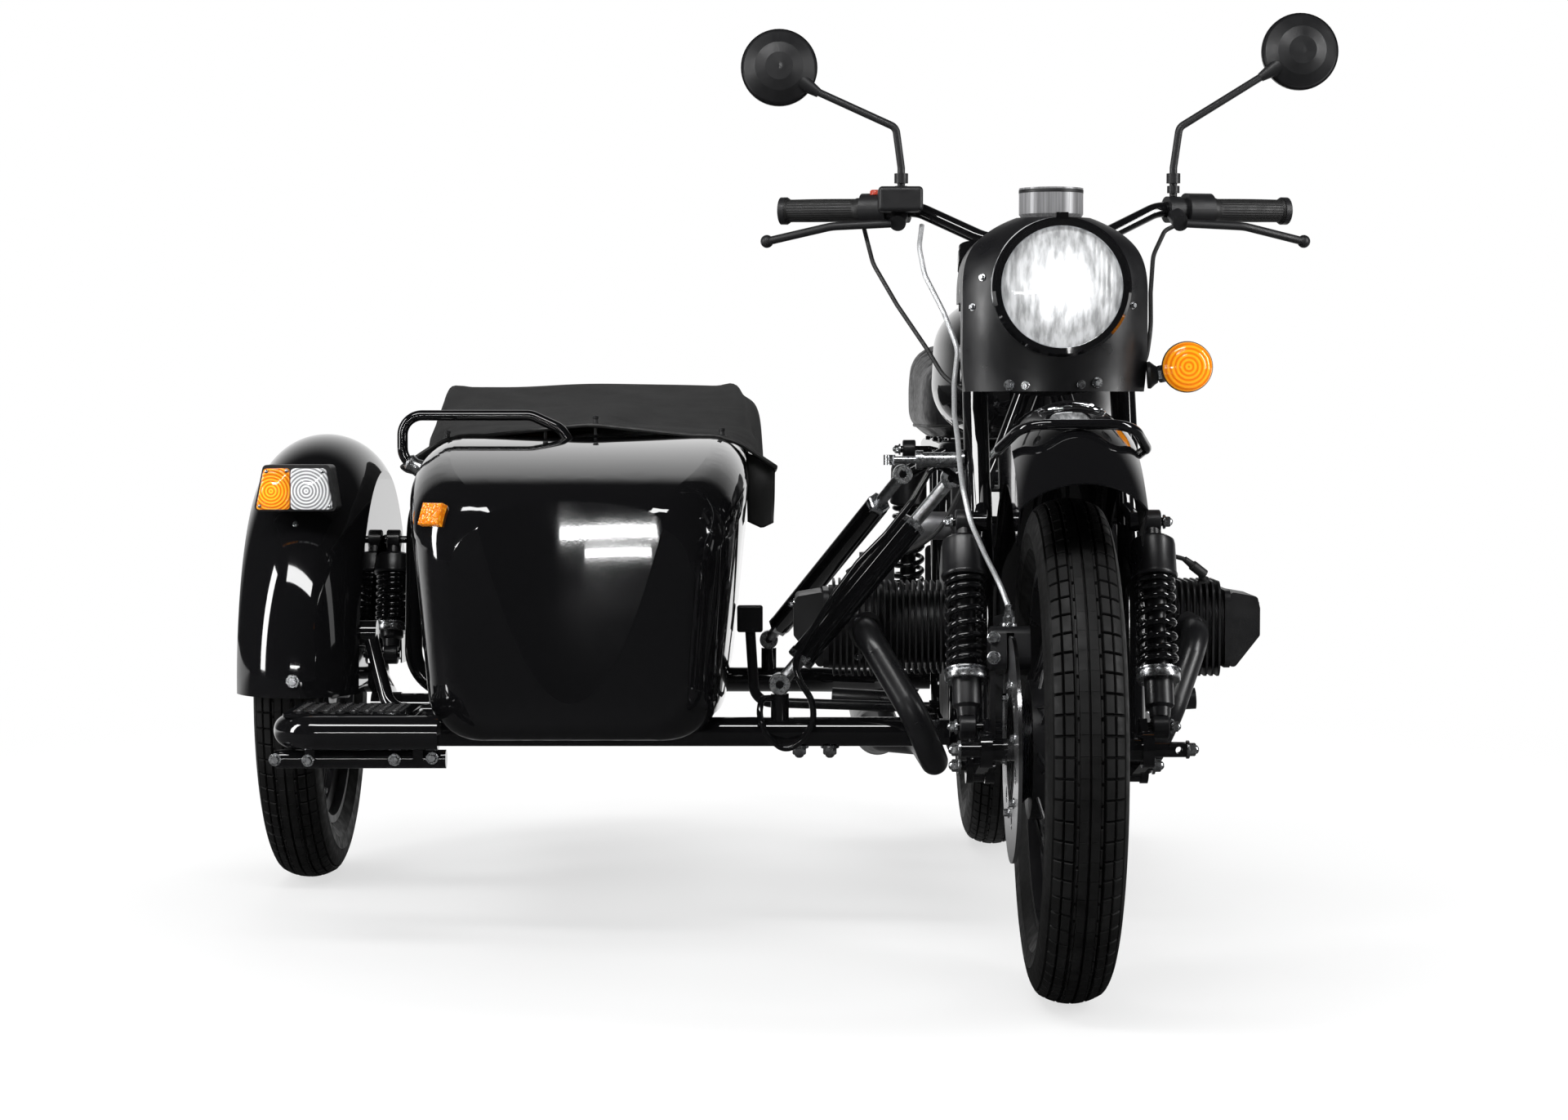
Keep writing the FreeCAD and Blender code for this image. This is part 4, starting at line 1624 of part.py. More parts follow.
# Cables, hose and damper
HOSE_ROUTE = ((-168, 478, 1030), (-173, 452, 998), (-166, 430, 957), (-140, 402, 903), (-122, 366, 850),
              (-129, 330, 802), (-131, 284, 760), (-129, 230, 722), (-129, 172, 686), (-127, 132, 657),
              (-119, 112, 618), (-99, 104, 572), (-80, 94, 534), (-70.5, 72, 506), (-70.5, 68, 484))
THROTTLE_ROUTE = ((-250.8, 488.2, 1026.5), (-246, 505, 1010), (-238, 478, 975), (-205, 440, 915),
                  (-163, 398, 850), (-142, 366, 812), (-112, 346, 790), (-106.5, 329.8, 798.2))
CLUTCH_ROUTE = ((191.8, 471.2, 1027.7), (180, 470, 1022), (160, 440, 985), (152, 400, 930), (148, 360, 880),
                (140, 350, 830), (112, 350, 800), (106.8, 334.5, 807.8))
CONDUIT_ROUTE = ((-122.1, 475.5, 671.9), (-150, 452, 690), (-182, 456, 634), (-219, 450, 588),
                 (-260, 440, 547), (-297, 430, 497), (-330, 424, 443), (-351, 420, 406),
                 (-344, 416, 379), (-326, 416, 352), (-323, 418, 324),
                 (-337, 420, 296), (-364, 422, 277), (-391, 422, 300), (-402, 424, 330), (-398, 440, 352),
                 (-384.1, 446.5, 352))


def cables():
    """The brake hose and the throttle and clutch cables, as far as they turn with the handlebar."""
    keep("cables", pipe(HOSE_ROUTE, HOSE_RADIUS), pipe(THROTTLE_ROUTE, CABLE_RADIUS, 70),
         pipe(CLUTCH_ROUTE, CABLE_RADIUS, 70))


def steering_damper():
    """A damper clamped to the right fork leg; its rod's eye is free."""
    y, z = steer_point(0, LEG_V, leg_w(DAMPER_Z))[1:]
    x = -LEG_X - LEG_RADIUS - SEAT
    pieces = [bar((x - 2, y, z), (x - 58, y, z), 10.5), bar((x, y, z), (x - 4, y, z), 14),
              bar((x - 56, y, z), (x - 66, y, z), 13), bar((x - 60, y, z), (x - 98, y, z), 5),
              bar((x - 102, y, z - 7), (x - 102, y, z + 7), 8)]
    keep("steering_damper", join(pieces))


def save():
    """Writes each node as one STEP file, moved to the exported origin."""
    os.makedirs("parts", exist_ok=True)
    for name, shapes in parts.items():
        shape = shapes[0] if len(shapes) == 1 else Part.makeCompound(shapes)
        shape = shape.copy()
        shape.translate(V(-ORIGIN_X, -ORIGIN_Y, 0))
        shape.exportStep("parts/" + name + ".step")
        for solid in shapes:
            if not solid.isValid() or len(solid.Solids) != 1:
                print("look at", name, solid.Volume, len(solid.Solids))
    box_of_all = Part.makeCompound([solid for shapes in parts.values() for solid in shapes]).BoundBox
    size = (box_of_all.XLength, box_of_all.YLength, box_of_all.ZLength)
    print("nodes", len(parts), "size", [round(length, 2) for length in size])


wheels()
brake_disc()
fork()
front_links()
front_shocks()
brake_calliper()
front_mudguard()
headlamp()
lamp_shroud()
gauge()
handlebar()
hand_controls()
mirrors()
main_frame()
engine()
exhausts()
tank()
seat()
rear_end()
foot_controls()
sidecar_frame()
sidecar_arm()
struts()
tub()
tonneau()
grab_rail()
sidecar_mudguard()
bumper()
indicator("front_indicator", (SHROUD_HALF - SHROUD_FOOT_INSET, 200, 812), (176, 190, 823), 33.5, 27)
cables()
steering_damper()
save()
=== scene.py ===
# %% [markdown]
# # A motorcycle with a sidecar, dressed for a studio picture
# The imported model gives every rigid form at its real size. This lesson adds what a camera notices: tyre treads, coil
# springs, cables, bolts, lamps, a padded seat and a fabric cover, and a material for each finish. The first lines
# load that model. Nothing in it is moved: new pieces are built round it, in the same metres.

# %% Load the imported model
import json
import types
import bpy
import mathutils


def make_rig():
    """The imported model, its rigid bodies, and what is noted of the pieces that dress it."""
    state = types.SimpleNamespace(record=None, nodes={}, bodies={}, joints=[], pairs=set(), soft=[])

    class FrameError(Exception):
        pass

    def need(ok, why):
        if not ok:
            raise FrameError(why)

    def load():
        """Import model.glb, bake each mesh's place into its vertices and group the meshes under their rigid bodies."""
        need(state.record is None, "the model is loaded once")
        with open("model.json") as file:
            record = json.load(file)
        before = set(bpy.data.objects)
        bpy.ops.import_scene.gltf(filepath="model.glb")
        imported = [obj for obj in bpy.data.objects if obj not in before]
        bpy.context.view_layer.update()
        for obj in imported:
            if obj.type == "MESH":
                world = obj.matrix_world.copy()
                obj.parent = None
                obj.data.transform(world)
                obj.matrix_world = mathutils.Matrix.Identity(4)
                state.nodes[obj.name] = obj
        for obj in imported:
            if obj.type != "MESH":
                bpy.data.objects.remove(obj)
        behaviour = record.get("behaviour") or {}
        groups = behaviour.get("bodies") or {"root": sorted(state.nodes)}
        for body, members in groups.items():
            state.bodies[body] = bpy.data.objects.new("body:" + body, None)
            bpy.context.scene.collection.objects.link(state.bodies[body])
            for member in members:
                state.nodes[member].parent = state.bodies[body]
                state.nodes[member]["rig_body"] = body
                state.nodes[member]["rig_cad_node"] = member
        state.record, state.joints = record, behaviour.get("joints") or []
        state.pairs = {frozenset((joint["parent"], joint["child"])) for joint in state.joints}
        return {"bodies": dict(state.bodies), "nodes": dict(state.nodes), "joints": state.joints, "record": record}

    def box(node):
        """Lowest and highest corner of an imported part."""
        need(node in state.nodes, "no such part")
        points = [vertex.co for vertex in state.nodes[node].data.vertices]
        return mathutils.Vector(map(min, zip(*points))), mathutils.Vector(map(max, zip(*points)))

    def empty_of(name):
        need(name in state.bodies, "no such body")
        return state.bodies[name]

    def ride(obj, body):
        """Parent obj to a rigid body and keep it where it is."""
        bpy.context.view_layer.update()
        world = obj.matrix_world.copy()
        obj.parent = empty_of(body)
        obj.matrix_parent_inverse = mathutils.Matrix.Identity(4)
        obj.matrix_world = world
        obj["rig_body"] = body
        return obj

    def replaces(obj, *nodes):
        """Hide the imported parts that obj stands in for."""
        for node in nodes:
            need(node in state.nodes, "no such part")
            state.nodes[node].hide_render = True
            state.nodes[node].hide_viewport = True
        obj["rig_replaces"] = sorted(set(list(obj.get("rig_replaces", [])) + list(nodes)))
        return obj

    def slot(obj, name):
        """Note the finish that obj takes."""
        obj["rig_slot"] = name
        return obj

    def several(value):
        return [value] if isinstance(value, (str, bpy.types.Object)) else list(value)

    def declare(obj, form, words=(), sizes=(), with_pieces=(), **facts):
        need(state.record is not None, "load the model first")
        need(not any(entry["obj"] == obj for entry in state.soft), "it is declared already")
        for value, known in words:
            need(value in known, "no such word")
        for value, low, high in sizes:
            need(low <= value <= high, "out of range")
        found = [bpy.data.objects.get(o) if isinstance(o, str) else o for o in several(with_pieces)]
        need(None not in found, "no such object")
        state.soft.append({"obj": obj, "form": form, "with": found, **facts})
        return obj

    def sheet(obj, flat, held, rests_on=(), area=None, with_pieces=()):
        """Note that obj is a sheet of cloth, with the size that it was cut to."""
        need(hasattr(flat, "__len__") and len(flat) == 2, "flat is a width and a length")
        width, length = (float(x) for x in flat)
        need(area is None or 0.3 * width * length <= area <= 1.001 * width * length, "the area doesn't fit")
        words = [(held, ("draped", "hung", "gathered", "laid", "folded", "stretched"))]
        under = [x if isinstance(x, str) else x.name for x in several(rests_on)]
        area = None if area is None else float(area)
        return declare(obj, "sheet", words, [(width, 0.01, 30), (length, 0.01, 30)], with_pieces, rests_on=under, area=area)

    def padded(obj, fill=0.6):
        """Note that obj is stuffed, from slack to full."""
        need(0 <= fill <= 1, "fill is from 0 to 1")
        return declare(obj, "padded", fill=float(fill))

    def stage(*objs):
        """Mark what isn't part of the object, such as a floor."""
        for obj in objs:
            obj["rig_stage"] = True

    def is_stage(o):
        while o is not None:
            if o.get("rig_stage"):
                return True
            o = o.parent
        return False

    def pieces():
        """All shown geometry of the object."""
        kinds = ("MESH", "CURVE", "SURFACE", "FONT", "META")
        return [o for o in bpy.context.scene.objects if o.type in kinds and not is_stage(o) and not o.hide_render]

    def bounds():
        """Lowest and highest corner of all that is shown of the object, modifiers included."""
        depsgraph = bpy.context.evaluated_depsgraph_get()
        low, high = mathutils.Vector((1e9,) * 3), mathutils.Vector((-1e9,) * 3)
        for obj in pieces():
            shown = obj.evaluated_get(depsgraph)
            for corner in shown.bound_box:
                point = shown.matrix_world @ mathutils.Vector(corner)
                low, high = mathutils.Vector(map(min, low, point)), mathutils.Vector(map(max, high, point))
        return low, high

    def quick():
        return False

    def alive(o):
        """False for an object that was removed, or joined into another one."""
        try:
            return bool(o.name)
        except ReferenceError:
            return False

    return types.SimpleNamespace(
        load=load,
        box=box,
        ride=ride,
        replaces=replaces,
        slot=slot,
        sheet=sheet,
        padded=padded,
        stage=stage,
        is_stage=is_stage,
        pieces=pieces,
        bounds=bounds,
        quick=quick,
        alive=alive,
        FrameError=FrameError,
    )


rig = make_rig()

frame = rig.load()

import bmesh
import bpy
import json
import math
from mathutils import Matrix, Vector
from mathutils.bvhtree import BVHTree

cad_box = [list(corner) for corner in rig.bounds()]
print("solids:", len(frame["nodes"]), "bodies:", list(frame["bodies"]))

# %% [markdown]
# Every place on the machine was measured in millimetres from the ground under the front axle: x to the rider's left,
# y to the rear, z up. The model's own zero is under the middle of the whole outfit, so one function turns the first
# kind of number into the second. All later cells call it, and no offset is ever typed twice.

# %% Places on the machine
MIDDLE_X, MIDDLE_Y = -390.5, 857.0
WHEEL_RADIUS = 326.0
FRONT_AXLE = (0.0, 0.0, WHEEL_RADIUS)
REAR_AXLE = (0.0, 1495.0, WHEEL_RADIUS)
SIDE_AXLE = (-1140.0, 1100.0, WHEEL_RADIUS)
WHEELS = (("front", FRONT_AXLE), ("rear", REAR_AXLE), ("side", SIDE_AXLE))


def at(x, y, z):
    """A place on the machine, in metres."""
    return Vector(((x - MIDDLE_X) / 1000, (y - MIDDLE_Y) / 1000, z / 1000))


print("front axle at", [round(c, 3) for c in at(*FRONT_AXLE)])

# %% [markdown]
# The camera comes first, so that each render can be laid over the photograph. Its place was solved from the tyres,
# whose size is known, and from where the three wheels touch the ground. It stands low and far off, a little to the
# sidecar's side, and looks down by under three degrees, which keeps upright lines upright.

# %% Camera
PHOTO_SIZE = (1920, 1371)
FOCAL_PIXELS = 3850.0
HORIZON_ROW = 502.0
CAMERA_PLACE = (-366.0, -4056.0, 765.0)
FILM_WIDTH = 36.0
camera_data = bpy.data.cameras.new("studio_camera")
camera = bpy.data.objects.new("studio_camera", camera_data)
bpy.context.scene.collection.objects.link(camera)
bpy.context.scene.camera = camera
camera_data.sensor_width = FILM_WIDTH
camera_data.lens = FOCAL_PIXELS / PHOTO_SIZE[0] * FILM_WIDTH
camera_data.clip_end = 60.0
look_down = math.atan((PHOTO_SIZE[1] / 2 - HORIZON_ROW) / FOCAL_PIXELS)
camera.location = at(*CAMERA_PLACE)
camera.rotation_euler = (math.pi / 2 - look_down, 0, 0)
print("lens", round(camera_data.lens, 1), "mm, looking down", round(math.degrees(look_down), 2), "degrees")

# %% [markdown]
# A black, glossy machine is drawn by what it mirrors. What it mirrors of the room is bright straight behind it, which
# draws pale rims along its upper edges, and nearly black elsewhere, which keeps its faces black. The room's light
# falls on it mostly from behind too. The camera itself sees plain white, and so do rays that pass through glass. Wide
# soft lamps light the rest; the one behind isn't mirrored, or it would draw a hard band across the cowl. Two narrow
# lamps in front draw the two bright bars on the sidecar's nose.

# %% Studio
scene = bpy.context.scene
scene.view_settings.view_transform = "Standard"
world = bpy.data.worlds.new("studio_room")
scene.world = world
world.use_nodes = True
tree = world.node_tree
tree.nodes.clear()


def ramp(tree, source, low, high, dim, bright):
    """A value that rises smoothly from dim to bright as the source goes from low to high."""
    rise = tree.nodes.new("ShaderNodeMapRange")
    rise.interpolation_type = "SMOOTHSTEP"
    for name, value in (("From Min", low), ("From Max", high), ("To Min", dim), ("To Max", bright)):
        rise.inputs[name].default_value = value
    tree.links.new(source, rise.inputs["Value"])
    return rise.outputs["Result"]


def added(tree, one, other):
    """The sum of two shares, one at most."""
    total = tree.nodes.new("ShaderNodeMath")
    total.operation = "ADD"
    total.use_clamp = True
    tree.links.new(one, total.inputs[0])
    tree.links.new(other, total.inputs[1])
    return total.outputs[0]


def blended(tree, share, first, second):
    """A value between two, by a share."""
    mix = tree.nodes.new("ShaderNodeMix")
    for value, socket in ((share, "Factor"), (first, "A"), (second, "B")):
        if isinstance(value, (int, float)):
            mix.inputs[socket].default_value = value
        else:
            tree.links.new(value, mix.inputs[socket])
    return mix.outputs["Result"]


path = tree.nodes.new("ShaderNodeLightPath")
coords = tree.nodes.new("ShaderNodeTexCoord")
split = tree.nodes.new("ShaderNodeSeparateXYZ")
tree.links.new(coords.outputs["Generated"], split.inputs[0])
for_light = ramp(tree, split.outputs["Y"], low=-0.6, high=0.5, dim=0.22, bright=0.85)
for_mirrors = ramp(tree, split.outputs["Y"], low=0.62, high=1.0, dim=0.012, bright=0.85)
room_level = blended(tree, path.outputs["Is Glossy Ray"], for_light, for_mirrors)
plain = added(tree, path.outputs["Is Camera Ray"], path.outputs["Is Transmission Ray"])
room = tree.nodes.new("ShaderNodeBackground")
room.inputs["Color"].default_value = (1, 1, 1, 1)
tree.links.new(blended(tree, plain, room_level, 1.0), room.inputs["Strength"])
tree.links.new(room.outputs[0], tree.nodes.new("ShaderNodeOutputWorld").inputs[0])


def soft_lamp(name, place, aim, size, watts, mirrored):
    """A rectangular soft lamp that faces a point on the machine, mirrored by it or not."""
    data = bpy.data.lights.new(name, "AREA")
    data.shape = "RECTANGLE"
    data.size, data.size_y = size
    data.energy = watts
    lamp = bpy.data.objects.new(name, data)
    scene.collection.objects.link(lamp)
    lamp.location = at(*place)
    lamp.rotation_euler = (at(*aim) - lamp.location).to_track_quat("-Z", "Y").to_euler()
    lamp.visible_glossy = mirrored


LAMPS = (
    # name, place and aim in mm, width and height in metres, watts, mirrored
    ("over_front", (-1100, -1500, 3000), (-500, 500, 500), (2.6, 0.5), 60, True),
    ("left_side", (2600, -900, 1700), (0, 500, 600), (0.5, 2.4), 60, True),
    ("right_side", (-3600, -600, 1600), (-700, 700, 500), (0.5, 2.4), 60, True),
    ("over_back", (-400, 3600, 2900), (-400, 700, 600), (3.2, 1.4), 80, False),
    ("high_bar", (-1390, -3500, 804), (-615, 340, 595), (1.2, 0.030), 6, True),
    ("low_bar", (-1500, -3500, 750), (-600, 340, 566), (0.8, 0.020), 2.5, True),
)
for lamp in LAMPS:
    soft_lamp(*lamp)
print("lamps:", [o.name for o in scene.objects if o.type == "LIGHT"])
# %% [markdown]
# The floor is one broad pale plane. Under the machine the camera sees it by two thirds of its own glow and one third
# of the lamps' light, so that it reads as white paper and still shows where the tyres stand. Further off the glow
# takes over, and the floor runs into the white room with no line between them. In front of the machine, glossy paint
# mirrors it dim, as if a dark cloth lay there out of view. The floor is marked as stage, since it isn't part of the
# machine.

# %% Floor
def mesh_object(name, points, faces):
    """A new object from places in metres and the corners of its faces."""
    mesh = bpy.data.meshes.new(name)
    mesh.from_pydata([tuple(p) for p in points], [], faces)
    mesh.update()
    made = bpy.data.objects.new(name, mesh)
    scene.collection.objects.link(made)
    return made


FLOOR_HALF = 30.0
MIRRORED_GLOW = 0.96
floor_corners = [(x * FLOOR_HALF, y * FLOOR_HALF, 0) for x, y in ((-1, -1), (1, -1), (1, 1), (-1, 1))]
floor = mesh_object("studio_floor", floor_corners, [(0, 1, 2, 3)])
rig.stage(floor)
paper = bpy.data.materials.new("pale_paper")
paper.use_nodes = True
tree = paper.node_tree
tree.nodes.clear()
path = tree.nodes.new("ShaderNodeLightPath")
place = tree.nodes.new("ShaderNodeTexCoord")
away = tree.nodes.new("ShaderNodeVectorMath")
away.operation = "LENGTH"
tree.links.new(place.outputs["Object"], away.inputs[0])
split = tree.nodes.new("ShaderNodeSeparateXYZ")
tree.links.new(place.outputs["Object"], split.inputs[0])
for_camera = ramp(tree, away.outputs["Value"], low=1.2, high=3.4, dim=0.66, bright=1.0)
camera_share = blended(tree, path.outputs["Is Camera Ray"], 0.0, for_camera)
mirror_share = blended(tree, path.outputs["Is Glossy Ray"], 0.0, MIRRORED_GLOW)
mirror_level = ramp(tree, split.outputs["Y"], low=-0.2, high=2.4, dim=0.01, bright=0.95)
glow = tree.nodes.new("ShaderNodeEmission")
tree.links.new(blended(tree, path.outputs["Is Glossy Ray"], 1.0, mirror_level), glow.inputs["Strength"])
lit = tree.nodes.new("ShaderNodeBsdfDiffuse")
lit.inputs["Color"].default_value = (0.86, 0.86, 0.86, 1)
both = tree.nodes.new("ShaderNodeMixShader")
tree.links.new(added(tree, camera_share, mirror_share), both.inputs[0])
tree.links.new(lit.outputs[0], both.inputs[1])
tree.links.new(glow.outputs[0], both.inputs[2])
tree.links.new(both.outputs[0], tree.nodes.new("ShaderNodeOutputMaterial").inputs[0])
floor.data.materials.append(paper)
print("floor", round(floor.dimensions.x), "m across")

# %% [markdown]
# All finishes share a few small tools. One makes a surface with its plain values. Two read a cloudy or a cell pattern
# in the piece's own coordinates. The others mix two colours by a pattern, let a value wander between two limits, or
# raise a relief. Real paint and rubber are never quite even, and these small changes are what the eye takes for a
# real surface.

# %% Tools for materials
def shader_of(material):
    """The material's one shader."""
    return material.node_tree.nodes["Principled BSDF"]


def surface(name, colour, roughness, metallic=0.0):
    """A material with one shader and its plain values."""
    material = bpy.data.materials.new(name)
    material.use_nodes = True
    shader = shader_of(material)
    shader.inputs["Base Color"].default_value = (*colour, 1)
    shader.inputs["Roughness"].default_value = roughness
    shader.inputs["Metallic"].default_value = metallic
    material.diffuse_color = (*colour, 1)
    return material


def place_node(material, stretch=(1, 1, 1)):
    """The piece's own coordinates in metres, stretched by three factors."""
    nodes, links = material.node_tree.nodes, material.node_tree.links
    coords = nodes.new("ShaderNodeTexCoord")
    mapping = nodes.new("ShaderNodeMapping")
    mapping.inputs["Scale"].default_value = stretch
    links.new(coords.outputs["Object"], mapping.inputs["Vector"])
    return mapping.outputs[0]


def noise(material, scale, detail=3.0, stretch=(1, 1, 1)):
    """A cloudy pattern, scale being its spots to a metre."""
    node = material.node_tree.nodes.new("ShaderNodeTexNoise")
    node.inputs["Scale"].default_value = scale
    node.inputs["Detail"].default_value = detail
    material.node_tree.links.new(place_node(material, stretch), node.inputs["Vector"])
    return node.outputs["Fac"]


def grains(material, scale, feature="F1", stretch=(1, 1, 1)):
    """A cell pattern, scale being its cells to a metre."""
    node = material.node_tree.nodes.new("ShaderNodeTexVoronoi")
    node.feature = feature
    node.inputs["Scale"].default_value = scale
    material.node_tree.links.new(place_node(material, stretch), node.inputs["Vector"])
    return node.outputs["Distance"]


def wander(material, source, socket, low, high):
    """Lets one of the shader's values follow a pattern between two limits."""
    node = material.node_tree.nodes.new("ShaderNodeMapRange")
    node.inputs["From Min"].default_value = 0.3
    node.inputs["From Max"].default_value = 0.7
    node.inputs["To Min"].default_value = low
    node.inputs["To Max"].default_value = high
    material.node_tree.links.new(source, node.inputs["Value"])
    material.node_tree.links.new(node.outputs["Result"], shader_of(material).inputs[socket])


def two_tones(material, source, dark, light, low=0.35, high=0.65):
    """Mixes two colours by a pattern."""
    nodes, links = material.node_tree.nodes, material.node_tree.links
    span = nodes.new("ShaderNodeMapRange")
    span.inputs["From Min"].default_value = low
    span.inputs["From Max"].default_value = high
    links.new(source, span.inputs["Value"])
    mix = nodes.new("ShaderNodeMix")
    mix.data_type = "RGBA"
    mix.inputs["A"].default_value = (*dark, 1)
    mix.inputs["B"].default_value = (*light, 1)
    links.new(span.outputs["Result"], mix.inputs["Factor"])
    links.new(mix.outputs["Result"], shader_of(material).inputs["Base Color"])


def relief(material, source, millimetres, strength=1.0):
    """Raises a pattern from the surface; several reliefs add up."""
    nodes, links = material.node_tree.nodes, material.node_tree.links
    bump = nodes.new("ShaderNodeBump")
    bump.inputs["Distance"].default_value = millimetres / 1000
    bump.inputs["Strength"].default_value = strength
    links.new(source, bump.inputs["Height"])
    normal = shader_of(material).inputs["Normal"]
    if normal.is_linked:
        links.new(normal.links[0].from_socket, bump.inputs["Normal"])
    links.new(bump.outputs[0], normal)


print("tools for materials are ready")

# %% [markdown]
# Most of the machine wears gloss black enamel. Its colour is nearly black and its shine comes from a clear coat, with
# the faint ripple that sprayed paint keeps and a little dust that dulls it in places. Tubes and brackets that work
# hard have a tougher satin coat, and castings show the grain of the mould under thin paint. The gauge's housing is
# brushed metal, so its noise is drawn out along its height.

# %% Paints and castings
enamel = surface("gloss_enamel", (0.0045, 0.0045, 0.005), 0.10)
shader_of(enamel).inputs["Specular IOR Level"].default_value = 0.45
shader_of(enamel).inputs["Coat Weight"].default_value = 0.6
shader_of(enamel).inputs["Coat Roughness"].default_value = 0.02
wander(enamel, noise(enamel, 9, 5), "Roughness", 0.03, 0.08)
relief(enamel, noise(enamel, 260, 1), 0.03, 0.25)

satin = surface("satin_coat", (0.008, 0.008, 0.009), 0.30)
wander(satin, noise(satin, 30, 4), "Roughness", 0.26, 0.40)
relief(satin, noise(satin, 900, 2), 0.05, 0.35)

casting = surface("painted_casting", (0.014, 0.014, 0.015), 0.42)
two_tones(casting, noise(casting, 14, 5), (0.006, 0.006, 0.007), (0.014, 0.014, 0.015))
wander(casting, noise(casting, 40, 4), "Roughness", 0.34, 0.52)
relief(casting, grains(casting, 900), 0.12, 0.6)

BRUSHED = (1, 1, 0.02)
housing = surface("brushed_housing", (0.28, 0.28, 0.285), 0.36, 0.30)
two_tones(housing, noise(housing, 300, 3, BRUSHED), (0.20, 0.20, 0.205), (0.34, 0.34, 0.35))
relief(housing, noise(housing, 900, 2, BRUSHED), 0.03, 0.5)

plastic = surface("moulded_plastic", (0.010, 0.010, 0.011), 0.42)
wander(plastic, noise(plastic, 60, 3), "Roughness", 0.38, 0.52)
relief(plastic, grains(plastic, 1500), 0.05, 0.5)
print("paints:", enamel.name, satin.name, casting.name, housing.name, plastic.name)

# %% [markdown]
# Bare metal is a metallic shader, so its colour is that of its reflections. Plated bolts are bright with a fine,
# slightly cloudy skin. A ground disc shows rings from the stone that ground it: a wave pattern in rings about the
# axle does that. Chrome keeps almost nothing but its mirror.

# %% Metals
zinc = surface("zinc_plate", (0.62, 0.63, 0.65), 0.26, 1.0)
two_tones(zinc, noise(zinc, 120, 4), (0.48, 0.49, 0.51), (0.70, 0.71, 0.72))
wander(zinc, noise(zinc, 200, 3), "Roughness", 0.18, 0.36)
relief(zinc, noise(zinc, 1500, 2), 0.03, 0.3)

chrome = surface("bright_chrome", (0.80, 0.81, 0.83), 0.06, 1.0)
wander(chrome, noise(chrome, 60, 3), "Roughness", 0.04, 0.11)
relief(chrome, noise(chrome, 400, 1), 0.01, 0.2)

ground = surface("ground_steel", (0.56, 0.56, 0.57), 0.24, 1.0)
rings = ground.node_tree.nodes.new("ShaderNodeTexWave")
rings.wave_type = "RINGS"
rings.rings_direction = "X"
rings.inputs["Scale"].default_value = 160
rings.inputs["Distortion"].default_value = 1.5
shift = ground.node_tree.nodes.new("ShaderNodeMapping")
shift.inputs["Location"].default_value = -at(*FRONT_AXLE)
ground.node_tree.links.new(place_node(ground), shift.inputs["Vector"])
ground.node_tree.links.new(shift.outputs[0], rings.inputs["Vector"])
wander(ground, rings.outputs["Fac"], "Roughness", 0.16, 0.34)
relief(ground, rings.outputs["Fac"], 0.02, 0.4)

cast_metal = surface("bare_casting", (0.34, 0.34, 0.35), 0.42, 0.85)
two_tones(cast_metal, noise(cast_metal, 40, 5), (0.24, 0.24, 0.25), (0.40, 0.40, 0.41))
wander(cast_metal, noise(cast_metal, 90, 3), "Roughness", 0.34, 0.55)
relief(cast_metal, grains(cast_metal, 800), 0.1, 0.6)
print("metals:", zinc.name, chrome.name, ground.name, cast_metal.name)

# %% [markdown]
# Tyre rubber is almost as black as the paint but scatters the light, so it needs a rough surface and a dull specular
# level. Its colour wanders a little where the tread has been handled. Soft parts of rubber, such as grips and leads,
# are smoother. The seat's cover has the fine pebble of coated cloth.

# %% Rubber and seat cover
tread_rubber = surface("tread_rubber", (0.005, 0.005, 0.005), 0.58)
two_tones(tread_rubber, noise(tread_rubber, 25, 5), (0.003, 0.003, 0.003), (0.007, 0.007, 0.007))
wander(tread_rubber, noise(tread_rubber, 70, 4), "Roughness", 0.46, 0.68)
relief(tread_rubber, noise(tread_rubber, 700, 3), 0.12, 0.5)
shader_of(tread_rubber).inputs["Specular IOR Level"].default_value = 0.28

soft_rubber = surface("soft_rubber", (0.012, 0.012, 0.012), 0.48)
wander(soft_rubber, noise(soft_rubber, 90, 3), "Roughness", 0.40, 0.58)
relief(soft_rubber, noise(soft_rubber, 900, 2), 0.05, 0.4)

pebbled = surface("pebbled_cover", (0.010, 0.010, 0.011), 0.40)
two_tones(pebbled, noise(pebbled, 18, 4), (0.008, 0.008, 0.009), (0.016, 0.016, 0.017))
wander(pebbled, noise(pebbled, 120, 3), "Roughness", 0.34, 0.50)
relief(pebbled, grains(pebbled, 620), 0.16, 0.7)
print("soft finishes:", tread_rubber.name, soft_rubber.name, pebbled.name)

# %% [markdown]
# Turned and bent forms make up most of a motorcycle. One tool turns a profile about a line between two places, as a
# lathe does. Another sweeps a round bar along a path, as a tube bender does. Both give points and faces, so that
# several forms can be joined into one piece.

# %% Tools for shapes
def frame_along(start, end):
    """A matrix whose z runs from start to end."""
    along = (end - start).normalized()
    turn = Vector((0, 0, 1)).rotation_difference(along)
    return Matrix.Translation(start) @ turn.to_matrix().to_4x4()


def ring_faces(rings, sides):
    """The faces between rings of points, each ring with as many points as there are sides."""
    faces = []
    for low in range(0, (rings - 1) * sides, sides):
        high = low + sides
        for i in range(sides):
            j = (i + 1) % sides
            faces.append((low + i, low + j, high + j, high + i))
    return faces


def net_faces(rows, columns):
    """The faces of a net of points, row after row."""
    return [(a, a + 1, a + 1 + columns, a + columns)
            for row in range(rows - 1) for a in range(row * columns, (row + 1) * columns - 1)]


def parts_of(mesh):
    """The points and faces of a mesh."""
    return [v.co.copy() for v in mesh.vertices], [tuple(p.vertices) for p in mesh.polygons]


